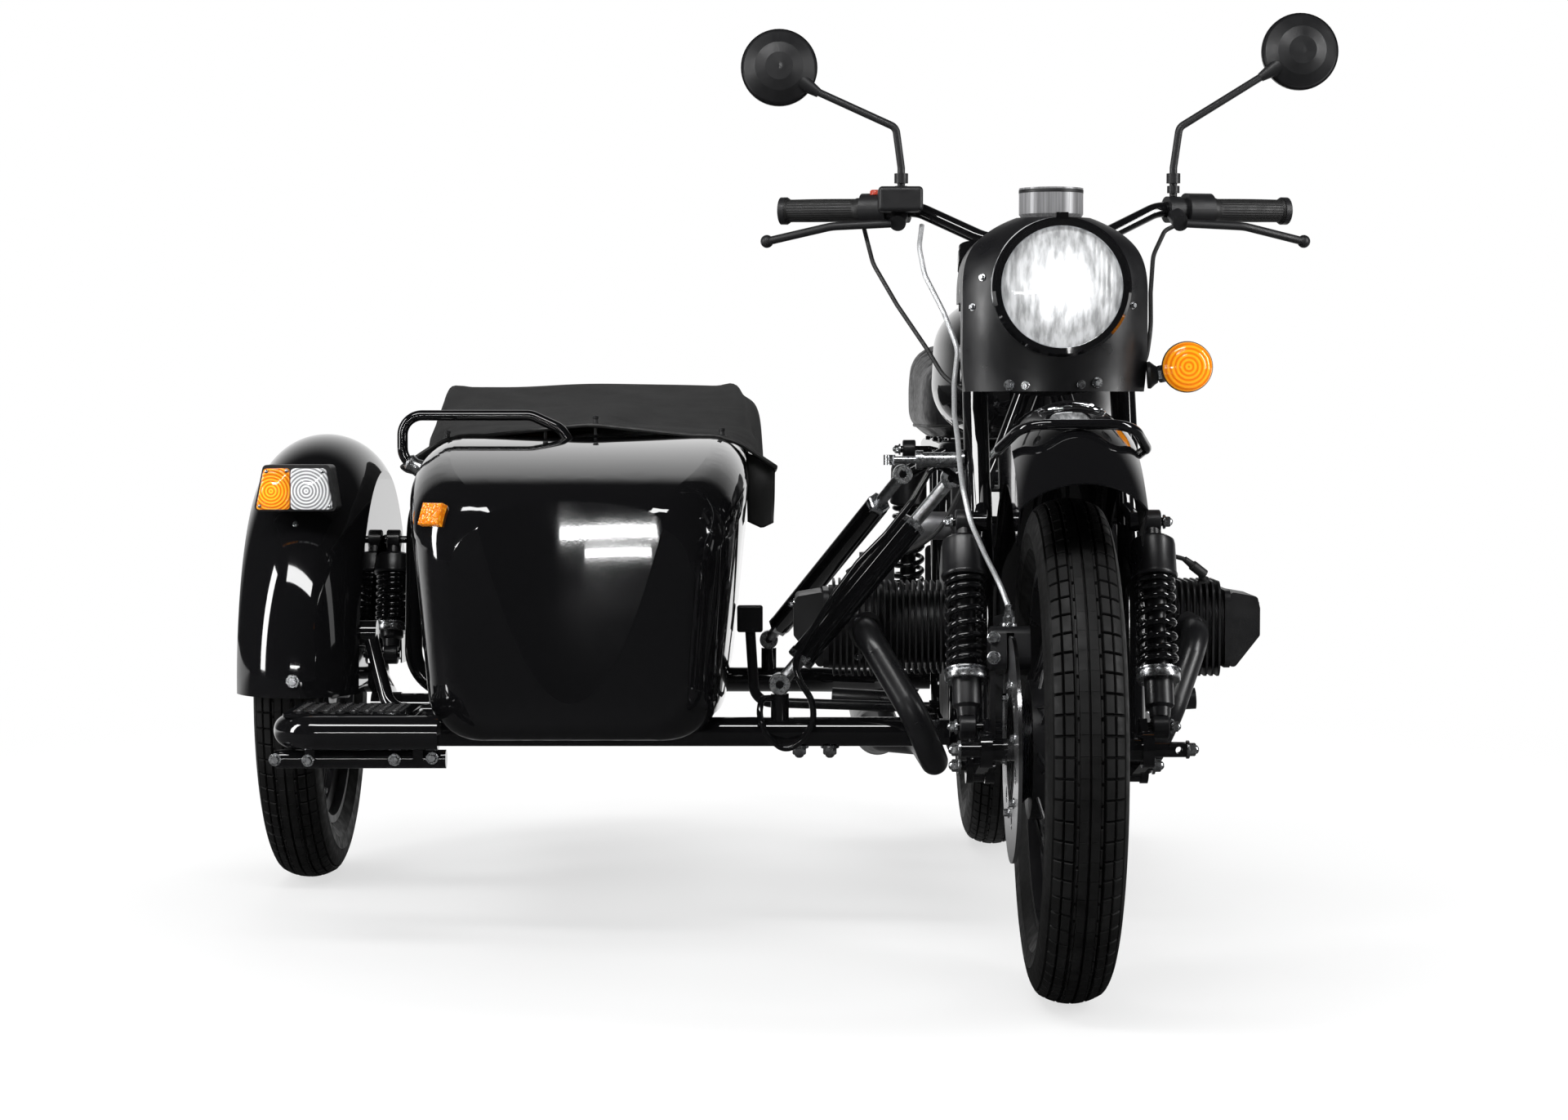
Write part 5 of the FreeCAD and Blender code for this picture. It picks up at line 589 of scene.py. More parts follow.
def lathe_parts(profile, start, end, sides=32):
    """Points and faces of (along, radius) pairs in metres, turned about the line from start to end."""
    place = frame_along(start, end)
    points = []
    for along, radius in profile:
        for i in range(sides):
            a = 2 * math.pi * i / sides
            points.append(place @ Vector((radius * math.cos(a), radius * math.sin(a), along)))
    return points, ring_faces(len(profile), sides)


def tube_parts(path, radius, sides=10, closed=False):
    """Points and faces of a round bar along places in metres, with flat ends."""
    points = []
    count = len(path)
    side = None
    for i, place in enumerate(path):
        before = path[(i - 1) % count] if closed or i else path[0]
        after = path[(i + 1) % count] if closed or i < count - 1 else path[-1]
        along = (after - before).normalized()
        if side is None:
            side = along.orthogonal().normalized()
        side = (side - along * side.dot(along)).normalized()
        other = along.cross(side)
        for k in range(sides):
            a = 2 * math.pi * k / sides
            points.append(place + side * (radius * math.cos(a)) + other * (radius * math.sin(a)))
    faces, last = ring_faces(count, sides), (count - 1) * sides
    if closed:
        faces += [(last + k, last + (k + 1) % sides, (k + 1) % sides, k) for k in range(sides)]
    else:
        faces += [tuple(range(sides))[::-1], tuple(last + k for k in range(sides))]
    return points, faces


def joined(*parts):
    """Several lists of points and faces as one."""
    points, faces = [], []
    for more_points, more_faces in parts:
        start = len(points)
        points += more_points
        faces += [tuple(start + i for i in face) for face in more_faces]
    return points, faces


print("forms: turned, swept, joined")

# %% [markdown]
# A hose, a hem or a lens is drawn from a few places. One tool runs a curve through them, one spaces places evenly
# along a line of corners, and one wears the corners round.

# %% Tools for lines
def smooth_through(places, steps=8):
    """A curve through all the places, for hoses and springs."""
    ends = [places[0]] + list(places) + [places[-1]]
    path = []
    for a, b, c, d in zip(ends, ends[1:], ends[2:], ends[3:]):
        for i in range(steps):
            t = i / steps
            path.append(0.5 * (2 * b + (c - a) * t + (2 * a - 5 * b + 4 * c - d) * t ** 2
                               + (3 * b - a - 3 * c + d) * t ** 3))
    return path + [places[-1]]


def along_line(corners, count):
    """Places evenly spaced along a line of corners."""
    lengths = [math.dist(a, b) for a, b in zip(corners, corners[1:])]
    total = sum(lengths)
    places = []
    for i in range(count):
        left = total * i / (count - 1)
        k = 0
        while k < len(lengths) - 1 and left > lengths[k]:
            left -= lengths[k]
            k += 1
        t = left / lengths[k]
        places.append(tuple(a + (b - a) * t for a, b in zip(corners[k], corners[k + 1])))
    return places


def softened(places, reach, rounds=3):
    """A line whose corners are worn round, its ends kept."""
    for _ in range(rounds):
        kept = list(places)
        for i in range(1, len(places) - 1):
            k = min(reach, i, len(places) - 1 - i)
            near = kept[i - k:i + k + 1]
            places[i] = tuple(sum(p[c] for p in near) / len(near) for c in range(len(near[0])))
    return places


print("lines: curved, evenly spaced, softened")

# %% [markdown]
# Each form ends as a piece. Its faces are turned outwards, it is smooth up to an angle, and it takes one material.
# Then it is noted which body it moves with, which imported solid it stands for, and which finish it takes in the
# record.

# %% Tools for pieces
def piece_of(name, parts, material, body, replaced=(), smooth=40.0):
    """A finished piece: faces outwards, smooth up to an angle, one material, riding on its body."""
    points, faces = parts
    made = mesh_object(name, points, faces)
    work = bmesh.new()
    work.from_mesh(made.data)
    bmesh.ops.remove_doubles(work, verts=work.verts, dist=0.00001)
    bmesh.ops.recalc_face_normals(work, faces=work.faces)
    for face in work.faces:
        face.smooth = True
    for edge in work.edges:
        if len(edge.link_faces) == 2 and edge.calc_face_angle(0) > math.radians(smooth):
            edge.smooth = False
    work.to_mesh(made.data)
    work.free()
    return finished(made, material, body, replaced)


SLOTS = {
    "gloss_enamel": "gloss_black", "satin_coat": "satin_black", "moulded_plastic": "black_plastic",
    "zinc_plate": "zinc", "threaded_zinc": "zinc", "bright_chrome": "steel", "bare_casting": "steel",
    "braided_sheath": "steel", "tread_rubber": "tyre", "soft_rubber": "rubber", "pebbled_cover": "vinyl",
    "woven_cover": "cloth", "headlamp_glass": "lens", "clear_side_lens": "lens", "mirror_glass": "lens",
    "amber_round_lens": "amber", "amber_side_lens": "amber", "amber_reflector": "amber", "red_lens": "red",
    "red_switch": "red", "dial_face": "black_plastic", "dial_marks": "black_plastic",
}


def finished(piece, material, body, replaced=()):
    """Gives a piece its material, its body and its slot in the record."""
    piece.data.materials.clear()
    piece.data.materials.append(material)
    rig.ride(piece, body)
    if replaced:
        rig.replaces(piece, *replaced)
    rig.slot(piece, SLOTS[material.name])
    return piece


print("pieces may take", len(SLOTS), "finishes")

# %% [markdown]
# Tread blocks and spoke nipples repeat all round a wheel. Geometry Nodes copies one form round an axle: a row of
# points carries the copies, each turned a step further, and Realize Instances makes them real faces. The result is
# baked to a plain mesh, so that it can ride on a body like any other piece.

# %% Copies round an axle
def new_group(name, sockets):
    """A node group with named inputs and one geometry output."""
    group = bpy.data.node_groups.new(name, "GeometryNodeTree")
    for label, kind in sockets:
        group.interface.new_socket(label, in_out="INPUT", socket_type=kind)
    group.interface.new_socket("Geometry", in_out="OUTPUT", socket_type="NodeSocketGeometry")
    return group


def chain(group, *steps):
    """Links output to input, each step being (from node, from socket, to node, to socket)."""
    for source, out, target, into in steps:
        group.links.new(source.outputs[out], target.inputs[into])


round_axle = new_group("copies_round_an_axle", [("Geometry", "NodeSocketGeometry"), ("Copies", "NodeSocketInt"),
                                                ("Centre", "NodeSocketVector"), ("Material", "NodeSocketMaterial")])
node = round_axle.nodes.new
given, result = node("NodeGroupInput"), node("NodeGroupOutput")
points, to_zero = node("GeometryNodePoints"), node("GeometryNodeTransform")
copies, real = node("GeometryNodeInstanceOnPoints"), node("GeometryNodeRealizeInstances")
dress, minus = node("GeometryNodeSetMaterial"), node("ShaderNodeVectorMath")
index, step, turn = node("GeometryNodeInputIndex"), node("ShaderNodeMath"), node("ShaderNodeMath")
angles, spin = node("ShaderNodeCombineXYZ"), node("FunctionNodeEulerToRotation")
minus.operation = "SCALE"
minus.inputs["Scale"].default_value = -1
step.operation = "DIVIDE"
step.inputs[0].default_value = 2 * math.pi
turn.operation = "MULTIPLY"
chain(round_axle,
      (given, "Copies", points, "Count"), (given, "Centre", points, "Position"),
      (given, "Centre", minus, 0), (minus, "Vector", to_zero, "Translation"),
      (given, "Geometry", to_zero, "Geometry"), (to_zero, "Geometry", copies, "Instance"),
      (points, "Points", copies, "Points"), (given, "Copies", step, 1),
      (index, "Index", turn, 0), (step, "Value", turn, 1),
      (turn, "Value", angles, "X"), (angles, "Vector", spin, "Euler"), (spin, "Rotation", copies, "Rotation"),
      (copies, "Instances", real, "Geometry"), (real, "Geometry", dress, "Geometry"),
      (given, "Material", dress, "Material"), (dress, "Geometry", result, "Geometry"))


def frozen(piece):
    """Keeps what a piece's modifiers make as its plain mesh."""
    graph = bpy.context.evaluated_depsgraph_get()
    graph.update()
    made = bpy.data.meshes.new_from_object(piece.evaluated_get(graph), depsgraph=graph)
    piece.modifiers.clear()
    piece.data = made
    return piece


def baked(piece, group, **values):
    """Runs a node group on a piece and keeps what it makes as a plain mesh."""
    modifier = piece.modifiers.new("nodes", "NODES")
    modifier.node_group = group
    for item in group.interface.items_tree:
        if item.in_out == "INPUT" and item.name in values:
            modifier[item.identifier] = values[item.name]
    return frozen(piece)


def round_copies(name, parts, copies, axle, material, body):
    """A piece that repeats round a wheel's axle."""
    one = baked(mesh_object(name, *parts), round_axle, Copies=copies, Centre=axle, Material=material)
    made = parts_of(one.data)
    bpy.data.objects.remove(one)
    return piece_of(name, made, material, body)


print("node group:", round_axle.name, [item.name for item in round_axle.interface.items_tree])

# %% [markdown]
# Small things must sit on what carries them. A ray from the camera through a place in the photograph finds the packed
# solid behind it, and gives both the place on its skin and the way the skin faces there. A second tool drops a place
# onto a solid from any side, for what the photograph doesn't show.

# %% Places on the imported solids
MACHINE_AWAY = 4.4
skins = {}


def skin(name):
    """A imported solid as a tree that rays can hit, kept after its first use."""
    if name not in skins:
        skins[name] = BVHTree.FromPolygons(*parts_of(frame["nodes"][name].data))
    return skins[name]


def seen_at(column, row, name):
    """The place on a solid, and its outward direction, behind a pixel of the photograph."""
    across = (column - PHOTO_SIZE[0] / 2) / FOCAL_PIXELS
    down = (row - PHOTO_SIZE[1] / 2) / FOCAL_PIXELS
    ray = (camera.matrix_basis.to_3x3() @ Vector((across, -down, -1))).normalized()
    hit, normal = skin(name).ray_cast(camera.location, ray)[:2]
    if hit is None:
        hit, normal = skin(name).find_nearest(camera.location + ray * MACHINE_AWAY)[:2]
        print("nothing of", name, "behind", column, row, "so the nearest place is used")
    return hit, (normal if normal.dot(ray) < 0 else -normal)


def dropped(place, direction, name):
    """The place on a solid that something moving from a place along a direction meets."""
    hit = skin(name).ray_cast(at(*place), Vector(direction))[0]
    if hit is None:
        hit = skin(name).find_nearest(at(*place))[0]
        print("nothing of", name, "ahead of", place, "so the nearest place is used")
    return hit


print("camera looks along", [round(c, 2) for c in camera.matrix_basis.to_3x3() @ Vector((0, 0, -1))])

# %% [markdown]
# Bolts are the same few forms over and over: a hexagon head on a washer, a domed nut, a small round screw. One form
# of each is modelled at a unit size. A node group sets a copy on every point it is given, along the direction and at
# the size that the point carries, so a new bolt is one more line in a list.

# %% Bolts by the list
def turned_up(profile, sides):
    """A profile at a unit size, turned about z."""
    return lathe_parts(profile, Vector((0, 0, 0)), Vector((0, 0, 1)), sides)


def hexagon_head():
    """A bolt head across its flats of one, on a washer, standing along z."""
    hexagon = [(0.16, 0.0001), (0.16, 0.577), (0.62, 0.577), (0.72, 0.50), (0.72, 0.0001)]
    washer = turned_up([(-0.1, 0.0001), (-0.1, 0.80), (0.10, 0.80), (0.16, 0.74), (0.16, 0.0001)], 20)
    return joined(turned_up(hexagon, 6), washer)


def domed_nut():
    """A hexagon with a round cap."""
    cap = [(0.5, 0.0001), (0.5, 0.44), (0.72, 0.42), (0.88, 0.33), (0.98, 0.18), (1.0, 0.0001)]
    return joined(hexagon_head(), turned_up(cap, 14))


def round_screw():
    """A round head with a cross in it."""
    head = [(-0.1, 0.0001), (-0.1, 0.5), (0.12, 0.5), (0.30, 0.38), (0.38, 0.2), (0.38, 0.0001)]
    low, high = Vector((0, 0, 0.375)), Vector((0, 0, 0.40))
    slots = []
    for turn in (0, math.pi / 2):
        across, along = Vector((math.cos(turn), math.sin(turn), 0)), Vector((-math.sin(turn), math.cos(turn), 0))
        corners = [across * a + along * b for a, b in ((0.25, 0.05), (-0.25, 0.05), (-0.25, -0.05), (0.25, -0.05))]
        slots.append(([c + low for c in corners] + [c + high for c in corners],
                      [(4, 5, 6, 7), (0, 1, 5, 4), (1, 2, 6, 5), (2, 3, 7, 6), (3, 0, 4, 7)]))
    return joined(turned_up(head, 16), *slots)


at_points = new_group("copies_at_points", [("Geometry", "NodeSocketGeometry"), ("Form", "NodeSocketObject"),
                                           ("Material", "NodeSocketMaterial")])
node = at_points.nodes.new
given, result = node("NodeGroupInput"), node("NodeGroupOutput")
form, aim = node("GeometryNodeObjectInfo"), node("FunctionNodeAlignRotationToVector")
way, size = node("GeometryNodeInputNamedAttribute"), node("GeometryNodeInputNamedAttribute")
copies, real = node("GeometryNodeInstanceOnPoints"), node("GeometryNodeRealizeInstances")
dress = node("GeometryNodeSetMaterial")
way.data_type = "FLOAT_VECTOR"
way.inputs["Name"].default_value = "way"
size.data_type = "FLOAT"
size.inputs["Name"].default_value = "size"
aim.axis = "Z"
chain(at_points,
      (given, "Geometry", copies, "Points"), (given, "Form", form, "Object"), (form, "Geometry", copies, "Instance"),
      (way, "Attribute", aim, "Vector"), (aim, "Rotation", copies, "Rotation"), (size, "Attribute", copies, "Scale"),
      (copies, "Instances", real, "Geometry"), (real, "Geometry", dress, "Geometry"),
      (given, "Material", dress, "Material"), (dress, "Geometry", result, "Geometry"))


def set_bolts(name, form, places, material, body):
    """A piece that has one form at each (place, way, size in mm)."""
    one = mesh_object(name + "_form", *form)
    points = mesh_object(name + "_points", [place for place, _, _ in places], [])
    points.data.attributes.new("way", "FLOAT_VECTOR", "POINT")
    points.data.attributes.new("size", "FLOAT", "POINT")
    ways, sizes = points.data.attributes["way"], points.data.attributes["size"]
    for i, (place, way, size) in enumerate(places):
        ways.data[i].vector = way
        sizes.data[i].value = size / 1000
    baked(points, at_points, Form=one, Material=material)
    parts = parts_of(points.data)
    bpy.data.objects.remove(one)
    bpy.data.objects.remove(points)
    return piece_of(name, parts, material, body, smooth=35)


print("node group:", at_points.name)

# %% [markdown]
# The tyres carry a road tread: two smooth ribs in the middle, notched on their outer sides, and two rows of oblong
# blocks towards each shoulder, parted by grooves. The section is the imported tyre's own: a crown arc and two wall
# arcs. The carcass is that section with its crown sunk by the tread depth, turned about the axle, and the tread
# stands on it to the full radius. Only one pitch is modelled; the rest are its copies.

# %% Tyre section
CROWN_HALF, CROWN_DROP = 40.0, 12.0
WALL_HALF, WALL_HEIGHT = 50.0, 274.0
BEAD_HALF, BEAD_HEIGHT = 31.7, 240.0
TREAD_DEPTH = 6.0
PITCHES = 78
CROWN_BEND = (CROWN_HALF ** 2 + CROWN_DROP ** 2) / (2 * CROWN_DROP)
CROWN_LENGTH = CROWN_BEND * math.asin(CROWN_HALF / CROWN_BEND)


def circle_through(a, b, c):
    """Middle and radius of the circle through three points of a plane."""
    d = 2 * (a[0] * (b[1] - c[1]) + b[0] * (c[1] - a[1]) + c[0] * (a[1] - b[1]))
    sa, sb, sc = (p[0] ** 2 + p[1] ** 2 for p in (a, b, c))
    x = (sa * (b[1] - c[1]) + sb * (c[1] - a[1]) + sc * (a[1] - b[1])) / d
    y = (sa * (c[0] - b[0]) + sb * (a[0] - c[0]) + sc * (b[0] - a[0])) / d
    return x, y, math.hypot(a[0] - x, a[1] - y)


SHOULDER = WHEEL_RADIUS - CROWN_DROP
WALL_X, WALL_R, WALL_BEND = circle_through((CROWN_HALF, SHOULDER), (WALL_HALF, WALL_HEIGHT),
                                           (BEAD_HALF, BEAD_HEIGHT))
WALL_START = math.atan2(SHOULDER - WALL_R, CROWN_HALF - WALL_X)
WALL_END = math.atan2(BEAD_HEIGHT - WALL_R, BEAD_HALF - WALL_X)
WALL_LENGTH = WALL_BEND * (WALL_START - WALL_END)


def on_section(s, sunk=0.0):
    """A place (x, radius) on the section, s mm along it from the crown and sunk mm under its skin."""
    side, s = (1 if s >= 0 else -1), abs(s)
    if s <= CROWN_LENGTH:
        a = s / CROWN_BEND
        reach = CROWN_BEND - sunk
        return side * reach * math.sin(a), WHEEL_RADIUS - CROWN_BEND + reach * math.cos(a)
    a = WALL_START - (s - CROWN_LENGTH) / WALL_BEND
    reach = WALL_BEND - sunk
    return side * (WALL_X + reach * math.cos(a)), WALL_R + reach * math.sin(a)


def on_tyre(axle, s, angle, sunk=0.0):
    """The same place on a wheel, turned by an angle about its axle."""
    x, r = on_section(s, sunk)
    return at(axle[0] + x, axle[1] - r * math.cos(angle), axle[2] + r * math.sin(angle))


print("walls", round(WALL_LENGTH), "mm long, crown", round(2 * CROWN_LENGTH), "mm")

# %% [markdown]
# A tread block has a top that follows the crown, four walls that lean out a little, and a small round edge where it
# wears first. The ribs are blocks that touch end to end, apart from the notch in their outer side.

# %% Tyres
RIB = (1.5, 12.8)
NOTCHED_STRIP = (13.0, 16.0)
NOTCH = (0.62, 0.80)
INNER_ROW = (19.5, 31.0)
OUTER_ROW = (33.5, 46.5)
CROSS_GROOVE = 0.0085
CARCASS_STEP = 49.0
WALL_RINGS = (78, 98)
WALL_RING_RISE = 0.8


def tread_block(axle, s0, s1, a0, a1, worn):
    """One block between two places along the section and two angles, its edge worn round by so many mm."""
    middle = (s0 + s1) / 2
    da = worn / WHEEL_RADIUS
    sign = 1 if s1 > s0 else -1
    rings = []
    for edge, sunk in ((worn, 0.0), (0.0, worn), (-0.6, TREAD_DEPTH + 0.5)):
        b0, b1 = s0 + sign * edge, s1 - sign * edge
        c0, c1 = a0 + da * edge / worn, a1 - da * edge / worn
        corners = [(b0, c0), (middle, c0), (b1, c0), (b1, c1), (middle, c1), (b0, c1)]
        rings.append([on_tyre(axle, s, a, sunk) for s, a in corners])
    return [p for ring in rings for p in ring], [(0, 1, 4, 5), (1, 2, 3, 4)] + ring_faces(len(rings), 6)


def tread_pitch(axle):
    """The blocks and rib lengths of one pitch, the same on both sides."""
    pitch = 2 * math.pi / PITCHES
    notch_from, notch_to = (share * pitch for share in NOTCH)
    parts = []
    for side in (-1, 1):
        for (low, high), start, end, worn in ((RIB, 0, pitch, 0.5),
                                              (NOTCHED_STRIP, notch_to - pitch, notch_from, 0.5),
                                              (INNER_ROW, 0, pitch - CROSS_GROOVE, 0.8),
                                              (OUTER_ROW, 0, pitch - CROSS_GROOVE, 0.8)):
            parts.append(tread_block(axle, side * low, side * high, start, end, worn))
    return joined(*parts)


def carcass(axle):
    """The section under the tread, with its walls and two fine rings near the bead, turned about the axle."""
    profile = []
    wall = CROWN_LENGTH + WALL_LENGTH
    stops = [0, 10, 20, 30, CROWN_LENGTH, 46, 50, 54, 60, 68, 76, 78, 80, 88, 96, 98, 100, wall - 8, wall - 5, wall]
    for s in stops:
        sunk = TREAD_DEPTH if s < CARCASS_STEP else 0.0
        sunk = -WALL_RING_RISE if s in WALL_RINGS else sunk
        profile.append(on_section(min(s, wall), sunk))
    profile = [(-x, r) for x, r in reversed(profile[1:])] + profile
    profile.append((BEAD_HALF - 6, BEAD_HEIGHT - 10))
    profile.insert(0, (6 - BEAD_HALF, BEAD_HEIGHT - 10))
    start, end = at(*axle), at(axle[0] + 1, axle[1], axle[2])
    return lathe_parts([(x / 1000, r / 1000) for x, r in profile], start, end, sides=120)


for name, axle in WHEELS:
    piece_of(name + "_tyre_carcass", carcass(axle), tread_rubber, name + "_wheel", [name + "_tyre"], smooth=30)
    tread = round_copies(name + "_tyre_tread", tread_pitch(axle), PITCHES, at(*axle), tread_rubber, name + "_wheel")
    print(name, "tyre:", len(tread.data.polygons), "tread faces")

# %% [markdown]
# A spring unit is a damper inside a coil. The coil is one round wire along a helix, closed up at both ends where it
# stands in its seats. Above it sits a pressed cover, below it a plated collar whose steps set the spring harder, and
# each end has an eye with a rubber bush. All five units are the same design at different lengths, so one function
# makes them.

# %% Spring units
COIL_TURNS, COIL_CLOSING = 8, 0.045
FOOT_SHARE, HEAD_SHARE = 0.27, 0.76


def helix(low, top, radius, turns, steps=28):
    """A helix between two places whose end turns lie close."""
    place = frame_along(low, top)
    height = (top - low).length
    path = []
    for i in range(turns * steps + 1):
        t = i / (turns * steps)
        eased = t - COIL_CLOSING * math.sin(2 * math.pi * t)
        a = 2 * math.pi * turns * t
        path.append(place @ Vector((radius * math.cos(a), radius * math.sin(a), height * eased)))
    return path


def spring_unit(name, low, top, r, eye, body, replaced):
    """A damper of radius r, its coil, its collar and its bushes, between two pins; all in mm."""
    a, b = at(*low), at(*top)
    along = (b - a).normalized()
    span = (b - a).length * 1000
    foot, head = FOOT_SHARE * span, HEAD_SHARE * span

    def cut(*pairs):
        return lathe_parts([(0, 0.0001)] + [(z / 1000, reach / 1000) for z, reach in pairs], a, b, 36)

    cover = cut((head - 12, r * 0.60), (head - 12, r * 1.04), (head - 10, r * 1.08), (head - 7, r * 1.08),
                (head - 5, r * 1.04), (span - 34, r * 1.02), (span - 28, r * 0.98), (span - 24, r * 0.80),
                (span - 22, r * 0.42), (span - 8, r * 0.38), (span - 8, 0.1))
    tube = cut((12, 0.1), (12, r * 0.46), (24, r * 0.50), (28, r * 0.66), (foot - 14, r * 0.66),
               (foot - 12, r * 0.50), (head, r * 0.36))
    across = Vector((eye / 2000, 0, 0))
    bush = [(0, 6.2), (0, 14.5), (1.5, 16.2), (eye - 1.5, 16.2), (eye, 14.5), (eye, 6.2)]
    eyes = [lathe_parts([(x / 1000, reach / 1000) for x, reach in bush], end - across, end + across, 28)
            for end in (a, b)]
    piece_of(name + "_damper", joined(cover, tube, *eyes), satin, body, replaced)
    coil_low, coil_top = a + along * ((foot + 5) / 1000), a + along * ((head - 14) / 1000)
    coil = tube_parts(helix(coil_low, coil_top, r * 0.80 / 1000, COIL_TURNS), 0.0046, 10)
    piece_of(name + "_coil", coil, enamel, body)
    collar = cut((foot - 15, r * 0.66), (foot - 15, r * 0.96), (foot - 13, r), (foot - 6, r), (foot - 5, r * 0.93),
                 (foot - 3, r * 0.93), (foot - 2, r * 1.02), (foot, r * 1.02), (foot + 0.5, r * 0.97),
                 (foot + 0.5, r * 0.5))
    piece_of(name + "_collar", collar, zinc, body)


FRONT_SHOCK_LOW, FRONT_SHOCK_TOP = (38.0, 352.0), (146.0, 616.0)
REAR_SHOCK_LOW, REAR_SHOCK_TOP = (1389.0, 364.0), (1330.0, 698.0)
SIDE_SHOCK_LOW, SIDE_SHOCK_TOP = (1054.0, 368.0), (1100.0, 553.0)
for side, label in ((-1, "right"), (1, "left")):
    spring_unit("front_spring_" + label, (side * 126, *FRONT_SHOCK_LOW), (side * 126, *FRONT_SHOCK_TOP), 29, 22,
                "steering", ["front_shocks"] if side > 0 else [])
    spring_unit("rear_spring_" + label, (side * 152, *REAR_SHOCK_LOW), (side * 152, *REAR_SHOCK_TOP), 30, 22,
                "chassis", ["rear_shocks"] if side > 0 else [])
spring_unit("sidecar_spring", (-1006, *SIDE_SHOCK_LOW), (-1006, *SIDE_SHOCK_TOP), 29, 22, "chassis", ["sidecar_shock"])
print("five spring units")

# %% [markdown]
# The lamps are the machine's jewels. Each lens is moulded glass or plastic, so its light comes from its own pattern:
# upright flutes in the headlamp, rings in the round turn lamp, rings about each bulb in the sidecar's lamps. A real
# headlamp looks white in its middle, where its bright bowl is seen through the flutes. Here no lamp is lit, and each
# lens carries painted light instead: a glow, strongest at its middle and dim towards its edge, that stands in for the
# bright reflector behind it.

# %% Lens materials
def lens_material(name, colour, glow, rough=0.06):
    """A moulded lens: coloured and glossy, with a painted glow that stands in for the bright reflector behind it."""
    made = surface(name, colour, rough)
    shader = shader_of(made)
    shader.inputs["Coat Weight"].default_value = 1.0
    shader.inputs["Coat Roughness"].default_value = 0.03
    shader.inputs["Emission Color"].default_value = (*colour, 1)
    shader.inputs["Emission Strength"].default_value = glow
    wander(made, noise(made, 80, 3), "Roughness", rough, rough + 0.08)
    return made


def rings_about(material, centre, rings, depth, direction="Y"):
    """Raised rings about an axis through a place, so many to a metre."""
    nodes, links = material.node_tree.nodes, material.node_tree.links
    shift = nodes.new("ShaderNodeVectorMath")
    shift.operation = "SUBTRACT"
    shift.inputs[1].default_value = centre
    links.new(place_node(material), shift.inputs[0])
    wave = nodes.new("ShaderNodeTexWave")
    wave.wave_type = "RINGS"
    wave.rings_direction = direction
    wave.wave_profile = "SIN"
    wave.inputs["Scale"].default_value = rings
    links.new(shift.outputs[0], wave.inputs["Vector"])
    relief(material, wave.outputs["Fac"], depth)
    return wave.outputs["Fac"]


def flutes(material, scale, depth, direction="X"):
    """Raised upright bands."""
    wave = material.node_tree.nodes.new("ShaderNodeTexWave")
    wave.wave_type = "BANDS"
    wave.bands_direction = direction
    wave.inputs["Scale"].default_value = scale
    material.node_tree.links.new(place_node(material), wave.inputs["Vector"])
    relief(material, wave.outputs["Fac"], depth)
    return wave.outputs["Fac"]


def lit_core(material, centre, reach, middle, edge):
    """Painted light through the lens: a glow that stands in for the bright reflector behind it, strongest round a place
    and dim at a distance in metres from it.
    """
    nodes, links = material.node_tree.nodes, material.node_tree.links
    gap = nodes.new("ShaderNodeVectorMath")
    gap.operation = "DISTANCE"
    gap.inputs[1].default_value = centre
    links.new(place_node(material), gap.inputs[0])
    glow = ramp(material.node_tree, gap.outputs["Value"], reach * 0.12, reach, middle, edge)
    shader = shader_of(material)
    links.new(glow, shader.inputs["Emission Strength"])
    links.new(shader.inputs["Base Color"].links[0].from_socket, shader.inputs["Emission Color"])


TURN_LAMP = (176.0, 190.0, 823.0)
HEADLAMP = (0.0, 92.0, 927.0)
# Painted light: the glass's grey streaked colour is a painted reflection of the bright bowl seen through the flutes,
# and its middle carries a painted glow.
head_glass = lens_material("headlamp_glass", (0.80, 0.82, 0.84), 0.0, 0.05)
flutes(head_glass, 8, 0.5, "Z")
flutes(head_glass, 46, 0.7)
streaks = noise(head_glass, 120, 4, (1, 1, 0.22))
relief(head_glass, streaks, 0.3)
two_tones(head_glass, streaks, (0.28, 0.285, 0.29), (0.62, 0.63, 0.64), 0.34, 0.62)
lit_core(head_glass, at(*HEADLAMP), 0.062, 3.0, 0.22)
# The turn lamp is not lit: its glow is painted, and the lighter of its ring tones is partly the moulded rings and
# partly a painted highlight.
amber_round = lens_material("amber_round_lens", (0.80, 0.20, 0.008), 0.10)
ring_tone = rings_about(amber_round, at(*TURN_LAMP), 52, 0.6)
two_tones(amber_round, ring_tone, (0.72, 0.16, 0.003), (0.98, 0.36, 0.012), 0.1, 0.9)
lit_core(amber_round, at(*TURN_LAMP), 0.040, 0.9, 0.35)
# The rear lamps are not lit: the faint glow of this lens is painted.
red_lens = lens_material("red_lens", (0.45, 0.008, 0.006), 0.05)
ring_tone = flutes(red_lens, 60, 0.5)
two_tones(red_lens, ring_tone, (0.25, 0.004, 0.003), (0.55, 0.015, 0.010), 0.1, 0.9)
print("lenses:", head_glass.name, amber_round.name, red_lens.name)

# %% [markdown]
# The headlamp's glass is a shallow dome held by a bright narrow ring. Both are turned about the lamp's axis, which
# runs straight ahead. The dome is drawn by a circle's arc, so its middle stands 14 mm before its edge.

